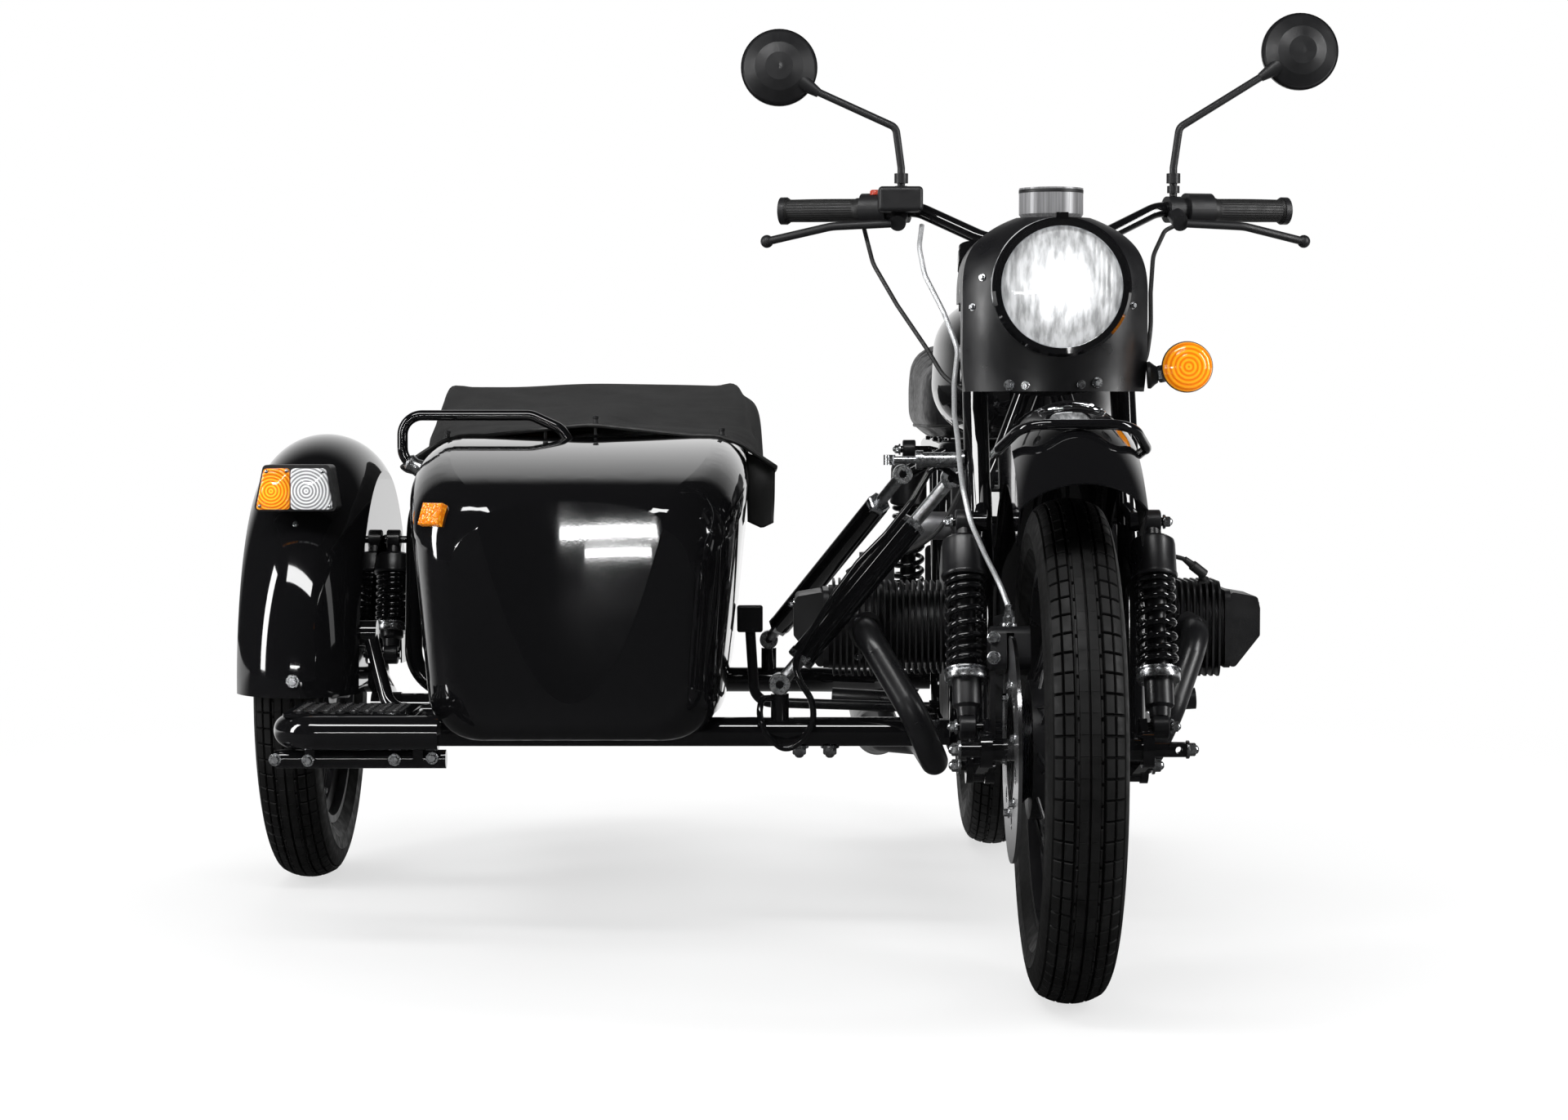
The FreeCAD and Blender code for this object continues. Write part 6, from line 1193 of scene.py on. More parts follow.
# %% Headlamp
HEAD_RADIUS, DOME = 79.0, 14.0
dome_bend = (HEAD_RADIUS ** 2 + DOME ** 2) / (2 * DOME)
dome = []
for i in range(11):
    r = 0.1 + (HEAD_RADIUS - 0.1) * i / 10
    dome.append(((DOME - dome_bend + math.sqrt(dome_bend ** 2 - r ** 2)) / 1000, r / 1000))
head_x, head_y, head_z = HEADLAMP
back, front = at(head_x, head_y + 6, head_z), at(head_x, head_y - 60, head_z)
profile = dome + [(-0.006, HEAD_RADIUS / 1000), (-0.006, 0.0001)]
piece_of("headlamp_dome", lathe_parts(profile, back, front, 72), head_glass, "steering", ["headlamp_lens"])
bezel = [(-0.004, 0.0788), (0.002, 0.0792), (0.0045, 0.0812), (0.0052, 0.0845), (0.0035, 0.0885), (-0.002, 0.0918),
         (-0.010, 0.0929), (-0.016, 0.0932), (-0.016, 0.0921), (-0.004, 0.0905)]
piece_of("headlamp_bezel", lathe_parts(bezel + [bezel[0]], back, front, 72), chrome, "steering")
print("dome stands", DOME, "mm proud over a radius of", HEAD_RADIUS, "mm")

# %% [markdown]
# The round turn lamp has an amber lens in front and a black shell behind. It stands on a short bent stem with a boss
# at its foot and a plated nut half way.

# %% Turn lamp
turn_x, turn_y, turn_z = TURN_LAMP
face, rear = at(turn_x, turn_y - 27, turn_z), at(turn_x, turn_y + 27, turn_z)
lens = [(-0.0015, 0.0001), (-0.0012, 0.010), (-0.0002, 0.020), (0.0015, 0.027), (0.005, 0.0318), (0.010, 0.0332),
        (0.014, 0.0335), (0.014, 0.0001)]
shell = [(0.0125, 0.0001), (0.0125, 0.0343), (0.0165, 0.0346), (0.020, 0.0338), (0.034, 0.0318), (0.044, 0.0268),
         (0.051, 0.0180), (0.0545, 0.0001)]
piece_of("turn_lamp_lens", lathe_parts(lens, face, rear, 56), amber_round, "steering", ["front_indicator"])
STEM = (at(124.7, 200, 812), at(142, 199, 813), at(160, 197, 817), at(176, 196, 822))
nut = lathe_parts([(0, 0.0085), (0, 0.0105), (0.002, 0.0118), (0.009, 0.0118), (0.011, 0.0100), (0.011, 0.0085)],
                  at(139, 199.4, 813), STEM[2], 6)
piece_of("turn_lamp_nut", nut, zinc, "steering")
stem = tube_parts(smooth_through(STEM, 5), 0.0085, 18)
boss = lathe_parts([(0.0, 0.0001), (0.0, 0.018), (0.004, 0.0185), (0.010, 0.0135), (0.014, 0.011)], STEM[0],
                   STEM[1], 30)
piece_of("turn_lamp_shell", joined(lathe_parts(shell, face, rear, 56), stem, boss), plastic, "steering")
print("turn lamp", round((rear - face).length * 1000), "mm deep")

# %% [markdown]
# The sidecar's front lamp is a black housing with two lenses side by side, amber outboard and clear inboard, each
# moulded with rings about its own bulb, and held by small corner screws. Behind is a red one. Each lens is an outline
# raised from its housing with rounded edges and a slightly domed face. How high the rear lamp sits is found by rays
# from behind, from low to high.

# %% Sidecar lamps
OUTLINE_STEPS = 48
LENS_DOME = 1.2


def softened_ring(places):
    """A closed line whose corners are worn round."""
    return [tuple((a + 2 * b + c) / 4 for a, b, c in zip(p, q, r))
            for p, q, r in zip(places[-1:] + places[:-1], places, places[1:] + places[:1])]


def raised_lens(corners, face, depth, away, bevel=2.2, steps=5):
    """A lens over corners (x, z) in mm, standing from y=face by depth, to the front (away -1) or the rear (1)."""
    middle = Vector((sum(c[0] for c in corners) / len(corners), sum(c[1] for c in corners) / len(corners)))
    outline = softened_ring(along_line(list(corners) + [corners[0]], OUTLINE_STEPS + 1)[:-1])
    rings = []
    for grow, stand in ((0, 0.0), (0, depth - bevel), (-0.3 * bevel, depth - 0.3 * bevel), (-bevel, depth)):
        rings.append([(Vector(p) + (Vector(p) - middle).normalized() * grow, stand) for p in outline])
    for step in range(1, steps):
        t = step / steps
        rings.append([(Vector(p).lerp(middle, t) - (Vector(p) - middle).normalized() * bevel * (1 - t),
                       depth + LENS_DOME * math.sin(math.pi / 2 * t)) for p in outline])
    points = [at(p.x, face + away * stand, p.y) for ring in rings for p, stand in ring]
    points.append(at(middle.x, face + away * (depth + LENS_DOME), middle.y))
    last, count = len(points) - 1 - OUTLINE_STEPS, OUTLINE_STEPS
    fan = [(last + i, last + (i + 1) % count, len(points) - 1) for i in range(count)]
    return points, ring_faces(len(rings), count) + fan


GUARD_X = -1115.0
LENS_BULBS, BULB_Z = (-1152.0, -1098.0), 641.0
lamps_low, lamps_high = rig.box("sidecar_lamps")
lamp_face = lamps_low[1] * 1000 + MIDDLE_Y
lamp_rear = lamps_high[1] * 1000 + MIDDLE_Y
side_lenses = []
# The sidecar's lamps are not lit: each lens carries a painted glow about its bulb, and the last value of each row is
# that glow's strength at the middle.
for name, bulb, colour, dark, light, middle in (
        ("amber_side_lens", LENS_BULBS[0], (0.80, 0.22, 0.01), (0.60, 0.12, 0.003), (0.98, 0.38, 0.02), 0.9),
        ("clear_side_lens", LENS_BULBS[1], (0.60, 0.61, 0.62), (0.20, 0.20, 0.21), (0.80, 0.81, 0.82), 0.3)):
    lens = lens_material(name, colour, 0.06)
    bulb_place = at(bulb, lamp_face, BULB_Z)
    tone = rings_about(lens, bulb_place, 62, 0.5)
    two_tones(lens, tone, dark, light, 0.1, 0.9)
    lit_core(lens, bulb_place, 0.036, middle, 0.08)
    side_lenses.append(lens)
amber_corners = [(GUARD_X - 61, 612.5), (GUARD_X - 8.5, 612.5), (GUARD_X - 8.5, 676), (GUARD_X - 48.5, 676)]
clear_corners = [(GUARD_X - 7.5, 612.5), (GUARD_X + 58, 612.5), (GUARD_X + 47, 676), (GUARD_X - 7.5, 676)]
piece_of("side_lamp_amber", raised_lens(amber_corners, lamp_face, 6, -1), side_lenses[0], "chassis")
piece_of("side_lamp_clear", raised_lens(clear_corners, lamp_face, 6, -1), side_lenses[1], "chassis")
TAIL_HALF_WIDTH, TAIL_HALF_HEIGHT, TAIL_SEARCH = 37, 23, range(440, 720, 4)
tail_z = lamps_low[2] * 1000
for z in TAIL_SEARCH:
    hit = skin("sidecar_lamps").ray_cast(at(GUARD_X, 2300, z), Vector((0, -1, 0)))[0]
    if hit is not None and abs(hit.y - lamps_high[1]) < 0.002:
        tail_z = z + 24
        break
tail_corners = [(GUARD_X + a * TAIL_HALF_WIDTH, tail_z + b * TAIL_HALF_HEIGHT)
                for a, b in ((-1, -1), (1, -1), (1, 1), (-1, 1))]
piece_of("side_lamp_red", raised_lens(tail_corners, lamp_rear - 1, 6, 1), red_lens, "chassis")
screws = [(at(GUARD_X + x, lamp_face - 5.6, z), Vector((0, -1, 0)), 6.0)
          for x, z in ((-55, 618), (-13, 672), (52, 618), (42, 671), (-44, 671))]
set_bolts("side_lamp_screws", round_screw(), screws, zinc, "chassis")
print("front lamp face at y", round(lamp_face), "rear lamp at z", round(tail_z))

# %% [markdown]
# An amber reflector stands on the nose's right shoulder, and the tail lamp behind the machine has a red lens. The
# mudguard carries an oval plate with a bright rim; it is left blank.

# %% Reflector, tail lamp, oval plate
NOSE_REFLECTOR_SEEN = (531.0, 631.0)
REFLECTOR_HALF_WIDTH, REFLECTOR_HALF_HEIGHT = 0.0185, 0.016
# A reflector is no lamp: its glow is painted, and the bright middles of its cells are partly its moulded prisms and
# partly painted glints.
amber_block = lens_material("amber_reflector", (0.85, 0.30, 0.01), 0.12)
cells = grains(amber_block, 260)
two_tones(amber_block, cells, (0.95, 0.45, 0.03), (0.62, 0.14, 0.004), 0.1, 0.6)
relief(amber_block, cells, 0.4)
spot, way = seen_at(*NOSE_REFLECTOR_SEEN, "tub")
right = Vector((0, 0, 1)).cross(way).normalized()
up = way.cross(right).normalized()
points = []
for stand, grow in ((-0.004, 0), (0.008, 0), (0.0095, -0.0015)):
    for a, b in ((-1, -1), (1, -1), (1, 1), (-1, 1)):
        points.append(spot + way * stand + right * (a * (REFLECTOR_HALF_WIDTH + grow))
                      + up * (b * (REFLECTOR_HALF_HEIGHT + grow)))
faces = [(8, 9, 10, 11), (3, 2, 1, 0)] + ring_faces(3, 4)
piece_of("nose_reflector", (points, faces), amber_block, "chassis", smooth=20)

OVAL_HALF_WIDTH, OVAL_HALF_LENGTH, OVAL_Y, OVAL_STEPS = 0.042, 0.020, -50.0, 56
rings = []
for shrink, lift in ((1.0, 0.0004), (1.0, 0.0036), (0.965, 0.0046), (0.90, 0.0046), (0.86, 0.0026), (0.45, 0.0030)):
    ring = []
    for k in range(OVAL_STEPS):
        a = 2 * math.pi * k / OVAL_STEPS
        out = Vector((OVAL_HALF_WIDTH * math.cos(a), OVAL_HALF_LENGTH * math.sin(a), 0)) * shrink
        hit, normal = skin("front_mudguard").ray_cast(at(0, OVAL_Y, 1200) + out, Vector((0, 0, -1)))[:2]
        ring.append(hit + (normal if normal.z > 0 else -normal) * lift)
    rings.append(ring)
points = [p for ring in rings for p in ring]
middle = sum(rings[-1], Vector((0, 0, 0))) / OVAL_STEPS
faces, last = ring_faces(len(rings), OVAL_STEPS), len(points) - OVAL_STEPS
rim_faces, plate_faces = faces[:-OVAL_STEPS], faces[-OVAL_STEPS:]
plate_faces += [(last + i, last + (i + 1) % OVAL_STEPS, len(points)) for i in range(OVAL_STEPS)]
piece_of("oval_rim", (points, rim_faces), chrome, "steering")
piece_of("oval_plate", (points + [middle], plate_faces), enamel, "steering")
print("oval plate", 2 * OVAL_HALF_WIDTH, "m wide on the front mudguard")

# %% [markdown]
# The rider's hands know these pieces best: ribbed rubber grips with a flange at their end, a red switch on the right
# housing, a dial under glass, mirrors whose glass faces the rider. All of them are turned forms. A grip's ribs run
# along it, so its profile is turned with every second point a little lower.

# %% Grips, switch, dial, mirror glass
def turned_mm(profile, start, end, sides=32, rib=0.0):
    """A profile in mm turned about the line between two places in mm, ribbed lengthwise if rib is given."""
    a, b = at(*start), at(*end)
    points, faces = lathe_parts([(along / 1000, max(r, 0.05) / 1000) for along, r in profile], a, b, sides)
    if rib:
        axis = (b - a).normalized()
        for i, point in enumerate(points):
            if i % 2:
                middle = a + axis * (point - a).dot(axis)
                points[i] = middle + (point - middle) * (1 - rib / max((point - middle).length * 1000, 1))
    return points, faces


BAR_END, BAR_ELBOW = (364.0, 566.0, 1056.0), (172.0, 500.0, 1054.0)
GRIP_LENGTH, GRIP_RADIUS = 118.0, 16.0
for side, label in ((1, "left"), (-1, "right")):
    end, elbow = (side * BAR_END[0], *BAR_END[1:]), (side * BAR_ELBOW[0], *BAR_ELBOW[1:])
    r = GRIP_RADIUS
    profile = [(-1.5, 0), (-1.5, r - 3), (0, r + 2.4), (3.0, r + 3.2), (5.5, r + 2.6), (7, r + 0.6), (12, r + 0.5)]
    profile += [(12 + 10 * i, r + 0.5 + 0.35 * math.sin(math.pi * i / 9)) for i in range(1, 10)]
    profile += [(GRIP_LENGTH - 10, r + 0.5), (GRIP_LENGTH - 8, r + 1.6), (GRIP_LENGTH - 2, r + 1.8),
                (GRIP_LENGTH - 1, r - 1)]
    piece_of("grip_" + label, turned_mm(profile, end, elbow, 60, 0.55), soft_rubber, "steering")

KILL_SWITCH_SEEN = (1072.0, 237.0)
red_plastic = surface("red_switch", (0.42, 0.035, 0.012), 0.35)
wander(red_plastic, noise(red_plastic, 300, 3), "Roughness", 0.28, 0.45)
relief(red_plastic, noise(red_plastic, 900, 2), 0.05)
spot = seen_at(*KILL_SWITCH_SEEN, "hand_controls")[0]
switch = [(-0.002, 0.0001), (-0.002, 0.0080), (0.003, 0.0080), (0.0052, 0.0062), (0.0056, 0.0001)]
piece_of("kill_switch", lathe_parts(switch, spot, spot + Vector((0, 0, 0.02)), 24), red_plastic, "steering")

dial_black = surface("dial_face", (0.012, 0.012, 0.013), 0.5)
relief(dial_black, noise(dial_black, 500, 3), 0.03)
wander(dial_black, noise(dial_black, 60, 3), "Roughness", 0.42, 0.6)
dial_white = surface("dial_marks", (0.75, 0.76, 0.74), 0.5)
wander(dial_white, noise(dial_white, 200, 3), "Roughness", 0.42, 0.6)
GAUGE_X, GAUGE_Y = 0.0, 272.0
base = dropped((GAUGE_X, GAUGE_Y, 1200), (0, 0, -1), "gauge").z * 1000
ring = [(-3, 44.2), (1.0, 44.4), (3.2, 43.4), (3.6, 41.6), (2.8, 40.2), (0.6, 39.6), (0.6, 38)]
spot, above = (GAUGE_X, GAUGE_Y, base), (GAUGE_X, GAUGE_Y, base + 10)
piece_of("dial_ring", turned_mm(ring, spot, above, 56), plastic, "steering")
piece_of("dial_disc", turned_mm([(0.2, 39.8), (0.5, 39.8), (0.5, 0)], spot, above, 48), dial_black, "steering")
DIAL_RADIUS, DIAL_MARKS, DIAL_STEP, DIAL_START = 37, 31, 9, -225
marks = []
for i in range(DIAL_MARKS):
    a = math.radians(DIAL_START + DIAL_STEP * i) + math.pi
    inner = DIAL_RADIUS - (6.5 if i % 5 == 0 else 3.5)
    out, side = Vector((math.cos(a), math.sin(a), 0)), Vector((-math.sin(a), math.cos(a), 0))
    middle = at(*spot) + Vector((0, 0, 0.0007))
    corners = [middle + out * (r / 1000) + side * (w / 1000)
               for r, w in ((DIAL_RADIUS, 0.5), (DIAL_RADIUS, -0.5), (inner, -0.5), (inner, 0.5))]
    marks.append((corners, [(0, 1, 2, 3)]))
needle = [at(*spot) + Vector((x / 1000, y / 1000, 0.0014)) for x, y in ((-1.2, -6), (1.2, -6), (0.4, 30), (-0.4, 30))]
marks.append((needle, [(0, 1, 2, 3)]))
piece_of("dial_marks", joined(*marks), dial_white, "steering")

mirror_glass = surface("mirror_glass", (0.86, 0.87, 0.88), 0.03, 1.0)
wander(mirror_glass, noise(mirror_glass, 30, 2), "Roughness", 0.02, 0.05)
relief(mirror_glass, noise(mirror_glass, 8, 1), 0.05)
for label, x, y, z in (("left", 382.0, 520.0, 1284.0), ("right", -373.0, 520.0, 1261.0)):
    face_y = dropped((x, y + 120, z), (0, -1, 0), "mirrors").y * 1000 + MIDDLE_Y
    spot, behind = (x, face_y, z), (x, face_y + 10, z)
    glass = turned_mm([(0.3, 50.5), (1.0, 50.2), (1.4, 40), (1.7, 20), (1.8, 0)], spot, behind, 56)
    piece_of("mirror_glass_" + label, glass, mirror_glass, "steering")
    rim = turned_mm([(-6, 55.6), (1.5, 55.7), (3.2, 54.4), (3.2, 51.8), (1.6, 50.6), (0.2, 50.4)], spot, behind, 56)
    piece_of("mirror_rim_" + label, rim, plastic, "steering")
print("gauge top at", round(base), "mm")

# %% [markdown]
# A sheet of coated cloth closes the cockpit. It is pulled from a hem on the cowl, low at its sides and peaked in the
# middle, to a bow behind the passenger, and its flaps hang over the body's sides. So it is one sheet: its cross
# sections are known at a few places along the body, and a section is worked out between them and softened, as cloth
# is by its own stiffness. Folds fan out from the peak, where the pull is strongest.

# %% Cover: cloth and sections
canvas = surface("woven_cover", (0.008, 0.008, 0.008), 0.86)
shader_of(canvas).inputs["Sheen Weight"].default_value = 0.03
shader_of(canvas).inputs["Sheen Roughness"].default_value = 0.5
shader_of(canvas).inputs["Specular IOR Level"].default_value = 0.25
two_tones(canvas, noise(canvas, 26, 6), (0.0055, 0.0055, 0.0055), (0.011, 0.011, 0.011))
for axis in ("X", "Y"):
    thread = canvas.node_tree.nodes.new("ShaderNodeTexWave")
    thread.bands_direction = axis
    thread.inputs["Scale"].default_value = 210
    thread.inputs["Distortion"].default_value = 0.6
    canvas.node_tree.links.new(place_node(canvas), thread.inputs["Vector"])
    relief(canvas, thread.outputs["Fac"], 0.16, 0.8)
relief(canvas, noise(canvas, 60, 4), 0.5, 0.5)

TUB_X = -665.0
COVER_ROWS = (
    # y, middle, half width at the shoulders, spread of the sides, lowest z at the sides, z of the shoulders, rise of
    # the middle, softness of the shoulders
    (762.0, -665.0, 224.0, 62.0, 678.0, 719.0, 24.0, 14.0),
    (800.0, -665.0, 228.0, 56.0, 672.0, 721.0, 24.0, 18.0),
    (900.0, -668.0, 238.0, 32.0, 664.0, 730.0, 22.0, 28.0),
    (1120.0, -676.0, 254.0, 14.0, 656.0, 766.0, 10.0, 40.0),
    (1340.0, -684.0, 277.0, 8.0, 652.0, 804.0, 4.0, 46.0),
    (1404.0, -684.0, 276.0, 8.0, 652.0, 806.0, 4.0, 46.0),
    (1426.0, -680.0, 268.0, 6.0, 658.0, 790.0, 4.0, 42.0),
    (1446.0, -674.0, 258.0, 4.0, 664.0, 752.0, 2.0, 34.0),
)
COVER_FRONT, COVER_REAR = COVER_ROWS[0][0], COVER_ROWS[-1][0]
BOW_Y, WIDTH_Y = 1404.0, 1200
CLOTH = 1.6
ACROSS, ALONG = 121, 85


def between_rows(rows, y):
    """A row of values at y, eased between the two nearest rows."""
    for low, high in zip(rows, rows[1:]):
        if y <= high[0]:
            t = (y - low[0]) / (high[0] - low[0])
            return [a + (b - a) * t for a, b in zip(low, high)]
    return list(rows[-1])


def cover_line(y):
    """The cover's cross section at y, as places across the body."""
    _, middle, half, spread, low, top, rise, soft = between_rows(COVER_ROWS, y)
    side = middle - TUB_X
    corners = [(side + half + spread, low), (side + half, top), (side * 0.5, top + rise), (side - half, top),
               (side - half - spread, low)]
    return softened(along_line(corners, ACROSS), max(1, round(soft / 9)))


print("section at the bow:", [tuple(round(c) for c in p) for p in cover_line(1400)[::30]])

# %% [markdown]
# The sheet is a net of places, row after row from the cowl to the bow. Each place stands out from its section by the
# height of the folds there, and never sinks into the body under it. The net then gets its thickness. Its width and
# length are measured along the sections and along the middle, as a tape would lie, for the cutting sheet.

# %% Cover: the sheet
def fold_height(x, y):
    """How far the cloth stands out at a place, in mm: a fan of folds from the peak and slack near the bow's ends."""
    ahead = y - COVER_FRONT
    fan = math.atan2(x, ahead + 90)
    grow = min(1.0, ahead / 160) * math.exp(-ahead / 700)
    ease = math.exp(-(fan / 1.25) ** 4)
    folds = 4.0 * math.sin(9 * fan + 0.7) + 2.2 * math.sin(17 * fan - 0.4 + 0.004 * ahead)
    slack = 2.2 * math.sin(x / 33 + y / 61) * math.exp(-((y - 1290) / 90) ** 2)
    crease = 0.0
    for side, bow, spread in ((1, 205.0, 58.0), (-1, 262.0, 6.0)):
        off = side * x - bow - spread * (BOW_Y - y) / (BOW_Y - COVER_FRONT)
        crease += 8.0 * math.exp(-(off / 15) ** 2) - 7.0 * math.exp(-((off - 30) / 16) ** 2)
    return folds * grow * ease + slack + crease * min(1.0, ahead / 120)


def tub_top(x, y):
    """How high the body's skin is at a place, in mm, or None beside it."""
    hit = skin("tub").ray_cast(at(x, y, 1200), Vector((0, 0, -1)))
    return None if hit[0] is None else hit[0].z * 1000


def outward(before, after, x, z):
    """The direction square to a section at a place, away from the middle of the body."""
    along = Vector((after[0] - before[0], after[1] - before[1])).normalized()
    square = Vector((-along.y, along.x))
    if along.x > 0 and abs(along.y) <= 0.5:
        square = -square
    from_middle = Vector((x, (z - 650) * 2.2))
    return from_middle.normalized() if square.dot(from_middle) < 0 else square


def thickened(piece, thickness, face_up=False):
    """Gives an open net its thickness in metres, smooth all over, and returns the area that it had."""
    work = bmesh.new()
    work.from_mesh(piece.data)
    bmesh.ops.recalc_face_normals(work, faces=work.faces)
    if face_up and sum(f.normal.z for f in work.faces) < 0:
        bmesh.ops.reverse_faces(work, faces=work.faces)
    area = sum(f.calc_area() for f in work.faces)
    bmesh.ops.solidify(work, geom=work.faces[:], thickness=thickness)
    for face in work.faces:
        face.smooth = True
    work.to_mesh(piece.data)
    work.free()
    return area


points = []
for i in range(ALONG):
    y = COVER_FRONT + (COVER_REAR - COVER_FRONT) * (i / (ALONG - 1))
    line = cover_line(y)
    for k, (x, z) in enumerate(line):
        out = outward(line[max(k - 1, 0)], line[min(k + 1, ACROSS - 1)], x, z)
        lift = max(fold_height(x, y) * min(1, k / 10, (ACROSS - 1 - k) / 10), -8.0)
        place = [TUB_X + x + out.x * lift, y, z + out.y * lift]
        under = tub_top(place[0], y)
        if under is not None and place[2] < under + CLOTH + 0.4:
            place[2] = under + CLOTH + 0.4
        points.append(at(*place))
cover = mesh_object("cockpit_cover", points, net_faces(ALONG, ACROSS))
area = thickened(cover, CLOTH / 1000, face_up=True)
finished(cover, canvas, "chassis", ["tonneau"])
section, spine = cover_line(WIDTH_Y), points[ACROSS // 2::ACROSS]
width = sum(math.dist(a, b) for a, b in zip(section, section[1:])) / 1000
length = sum((b - a).length for a, b in zip(spine, spine[1:]))
print("cover", round(width, 3), "by", round(length, 3), "m, area", round(area, 3))

# %% [markdown]
# A rolled hem runs round the sheet's whole edge, and short studs on the cowl hold it. Each stud is a turned peg on a
# small washer. The hem, the studs and the strap that hangs at the body's left go with the sheet.

# %% Cover: hem, studs and strap
edge = points[:ACROSS] + points[2 * ACROSS - 1::ACROSS] + points[-2:-ACROSS - 1:-1] + points[-2 * ACROSS:0:-ACROSS]
hem = piece_of("cover_hem", tube_parts(edge, 0.0036, 8, closed=True), soft_rubber, "chassis")
STUDS_X, STUD_NEAR = (-882.0, -732.0, -655.0, -461.0), 0.006
STUD = [(0, 0.0001), (0, 0.0026), (0.015, 0.0026), (0.0152, 0.0070), (0.0172, 0.0074), (0.018, 0.0046),
        (0.024, 0.0034), (0.0245, 0.0046), (0.0285, 0.0046), (0.0295, 0.0030), (0.0296, 0.0001)]
studs = []
for x in STUDS_X:
    y = COVER_FRONT + 9
    z = max(p.z * 1000 for p in points[:3 * ACROSS] if abs(p.x - at(x, 0, 0).x) < STUD_NEAR)
    studs.append(lathe_parts(STUD, at(x, y, z - 16), at(x, y, z + 16), 18))
stud_piece = piece_of("cover_studs", joined(*studs), plastic, "chassis")
STRAP_ROWS, STRAP_STEPS = 8, 24
strap_points = []
for across in range(STRAP_ROWS + 1):
    part = across / STRAP_ROWS
    bulge = 5.0 * math.sin(math.pi * part)
    foot, top = 583.0 + 12.0 * abs(part - 0.55) * 1.6, 701.0 - 21.0 * part
    for down in range(STRAP_STEPS + 1):
        drop = down / STRAP_STEPS
        x = -424.0 + 2.0 * drop + (44.0 - 4.0 * drop) * part
        y = 786.0 - bulge * (1 - 0.4 * drop) + 2.0 * math.sin(drop * 7 + part * 3)
        strap_points.append(at(x, y, top + (foot - top) * drop))
strap = mesh_object("cover_strap", strap_points, net_faces(STRAP_ROWS + 1, STRAP_STEPS + 1))
thickened(strap, 0.0022)
finished(strap, soft_rubber, "chassis")
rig.sheet(cover, flat=(width, length), held="stretched", rests_on=["tub"], area=area,
         with_pieces=[hem, stud_piece, strap])
print("hem", round(sum((b - a).length for a, b in zip(edge, edge[1:] + edge[:1])), 2), "m round, studs:", len(studs))

# %% [markdown]
# The seat is one long cushion. Its real making is a foam block under a stretched cover, so it is made the same way
# here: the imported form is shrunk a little, turned into an even net of small faces, and blown up by a cloth simulation
# with pressure inside and no gravity. How far a point may move is capped. The channels sewn across its top are
# pressed in afterwards, because the even net would wipe them out, and a piping runs round its lower edge.

# %% Seat: form
SEAT_SHRINK = 0.004
SEAT_CAP = 0.009
seat_low, seat_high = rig.box("bench_seat")
seat_low, seat_high = Vector(seat_low), Vector(seat_high)
seat_middle = (seat_low + seat_high) / 2
source = frame["nodes"]["bench_seat"]
cushion = bpy.data.objects.new("seat_cushion", source.data.copy())
scene.collection.objects.link(cushion)
work = bmesh.new()
work.from_mesh(cushion.data)
bmesh.ops.remove_doubles(work, verts=work.verts, dist=0.0001)
bmesh.ops.recalc_face_normals(work, faces=work.faces)
half_size = (seat_high - seat_low) / 2
for vert in work.verts:
    away = vert.co - seat_middle
    for axis in range(3):
        away[axis] *= 1 - SEAT_SHRINK / half_size[axis]
    vert.co = seat_middle + away
work.to_mesh(cushion.data)
work.free()
cushion.data.materials.clear()


def applied(piece, kind, **values):
    """Adds a modifier, sets its values and keeps its result as the piece's mesh."""
    modifier = piece.modifiers.new(kind.lower(), kind)
    for key, value in values.items():
        setattr(modifier, key, value)
    return frozen(piece)


applied(cushion, "REMESH", mode="VOXEL", voxel_size=0.007)
print("seat form:", len(cushion.data.vertices), "places")

# %% [markdown] The form is now blown up, and no point moves further than the cap.

# %% Seat: blown up
SEAT_FRAMES = 20
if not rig.quick():
    rest = [v.co.copy() for v in cushion.data.vertices]
    cloth = cushion.modifiers.new("cloth", "CLOTH")
    cloth.settings.use_pressure = True
    cloth.settings.uniform_pressure_force = 4
    cloth.settings.effector_weights.gravity = 0
    cloth.settings.quality = 4
    cloth.point_cache.frame_start, cloth.point_cache.frame_end = 1, SEAT_FRAMES
    for step in range(1, SEAT_FRAMES + 1):
        scene.frame_set(step)
    graph = bpy.context.evaluated_depsgraph_get()
    blown = [v.co.copy() for v in cushion.evaluated_get(graph).data.vertices]
    cushion.modifiers.clear()
    scene.frame_set(1)
    for vert, start, end in zip(cushion.data.vertices, rest, blown):
        move = end - start
        reach = min(move.length, SEAT_CAP)
        vert.co = start + (move.normalized() * reach if move.length > 0 else move)
print("blown up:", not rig.quick())

# %% [markdown]
# The channels are sewn across the top, at even steps, and run out towards the sides. A last pass keeps every point
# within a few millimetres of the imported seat's box, and the net is smoothed.

# %% Seat: channels
CHANNEL_DEPTH, CHANNEL_HALF = 0.0055, 0.0065
CHANNELS = [seat_low.y + 0.05 + 0.052 * i for i in range(11)]
for vert in cushion.data.vertices:
    co = vert.co
    high = (co.z - seat_low.z) / (seat_high.z - seat_low.z)
    if high > 0.55:
        inside = 1 - min(1, abs(co.x - seat_middle.x) / ((seat_high.x - seat_low.x) * 0.40)) ** 6
        for y in CHANNELS:
            co.z -= CHANNEL_DEPTH * inside * math.exp(-((co.y - y) / CHANNEL_HALF) ** 2)
    for axis in range(3):
        co[axis] = min(max(co[axis], seat_low[axis] + 0.0003), seat_high[axis] + (0.006 if axis == 2 else 0.002))
for face in cushion.data.polygons:
    face.use_smooth = True
applied(cushion, "SUBSURF", levels=1, render_levels=1)
finished(cushion, pebbled, "chassis", ["bench_seat"])
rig.padded(cushion, fill=0.75)
print("channels:", len(CHANNELS))

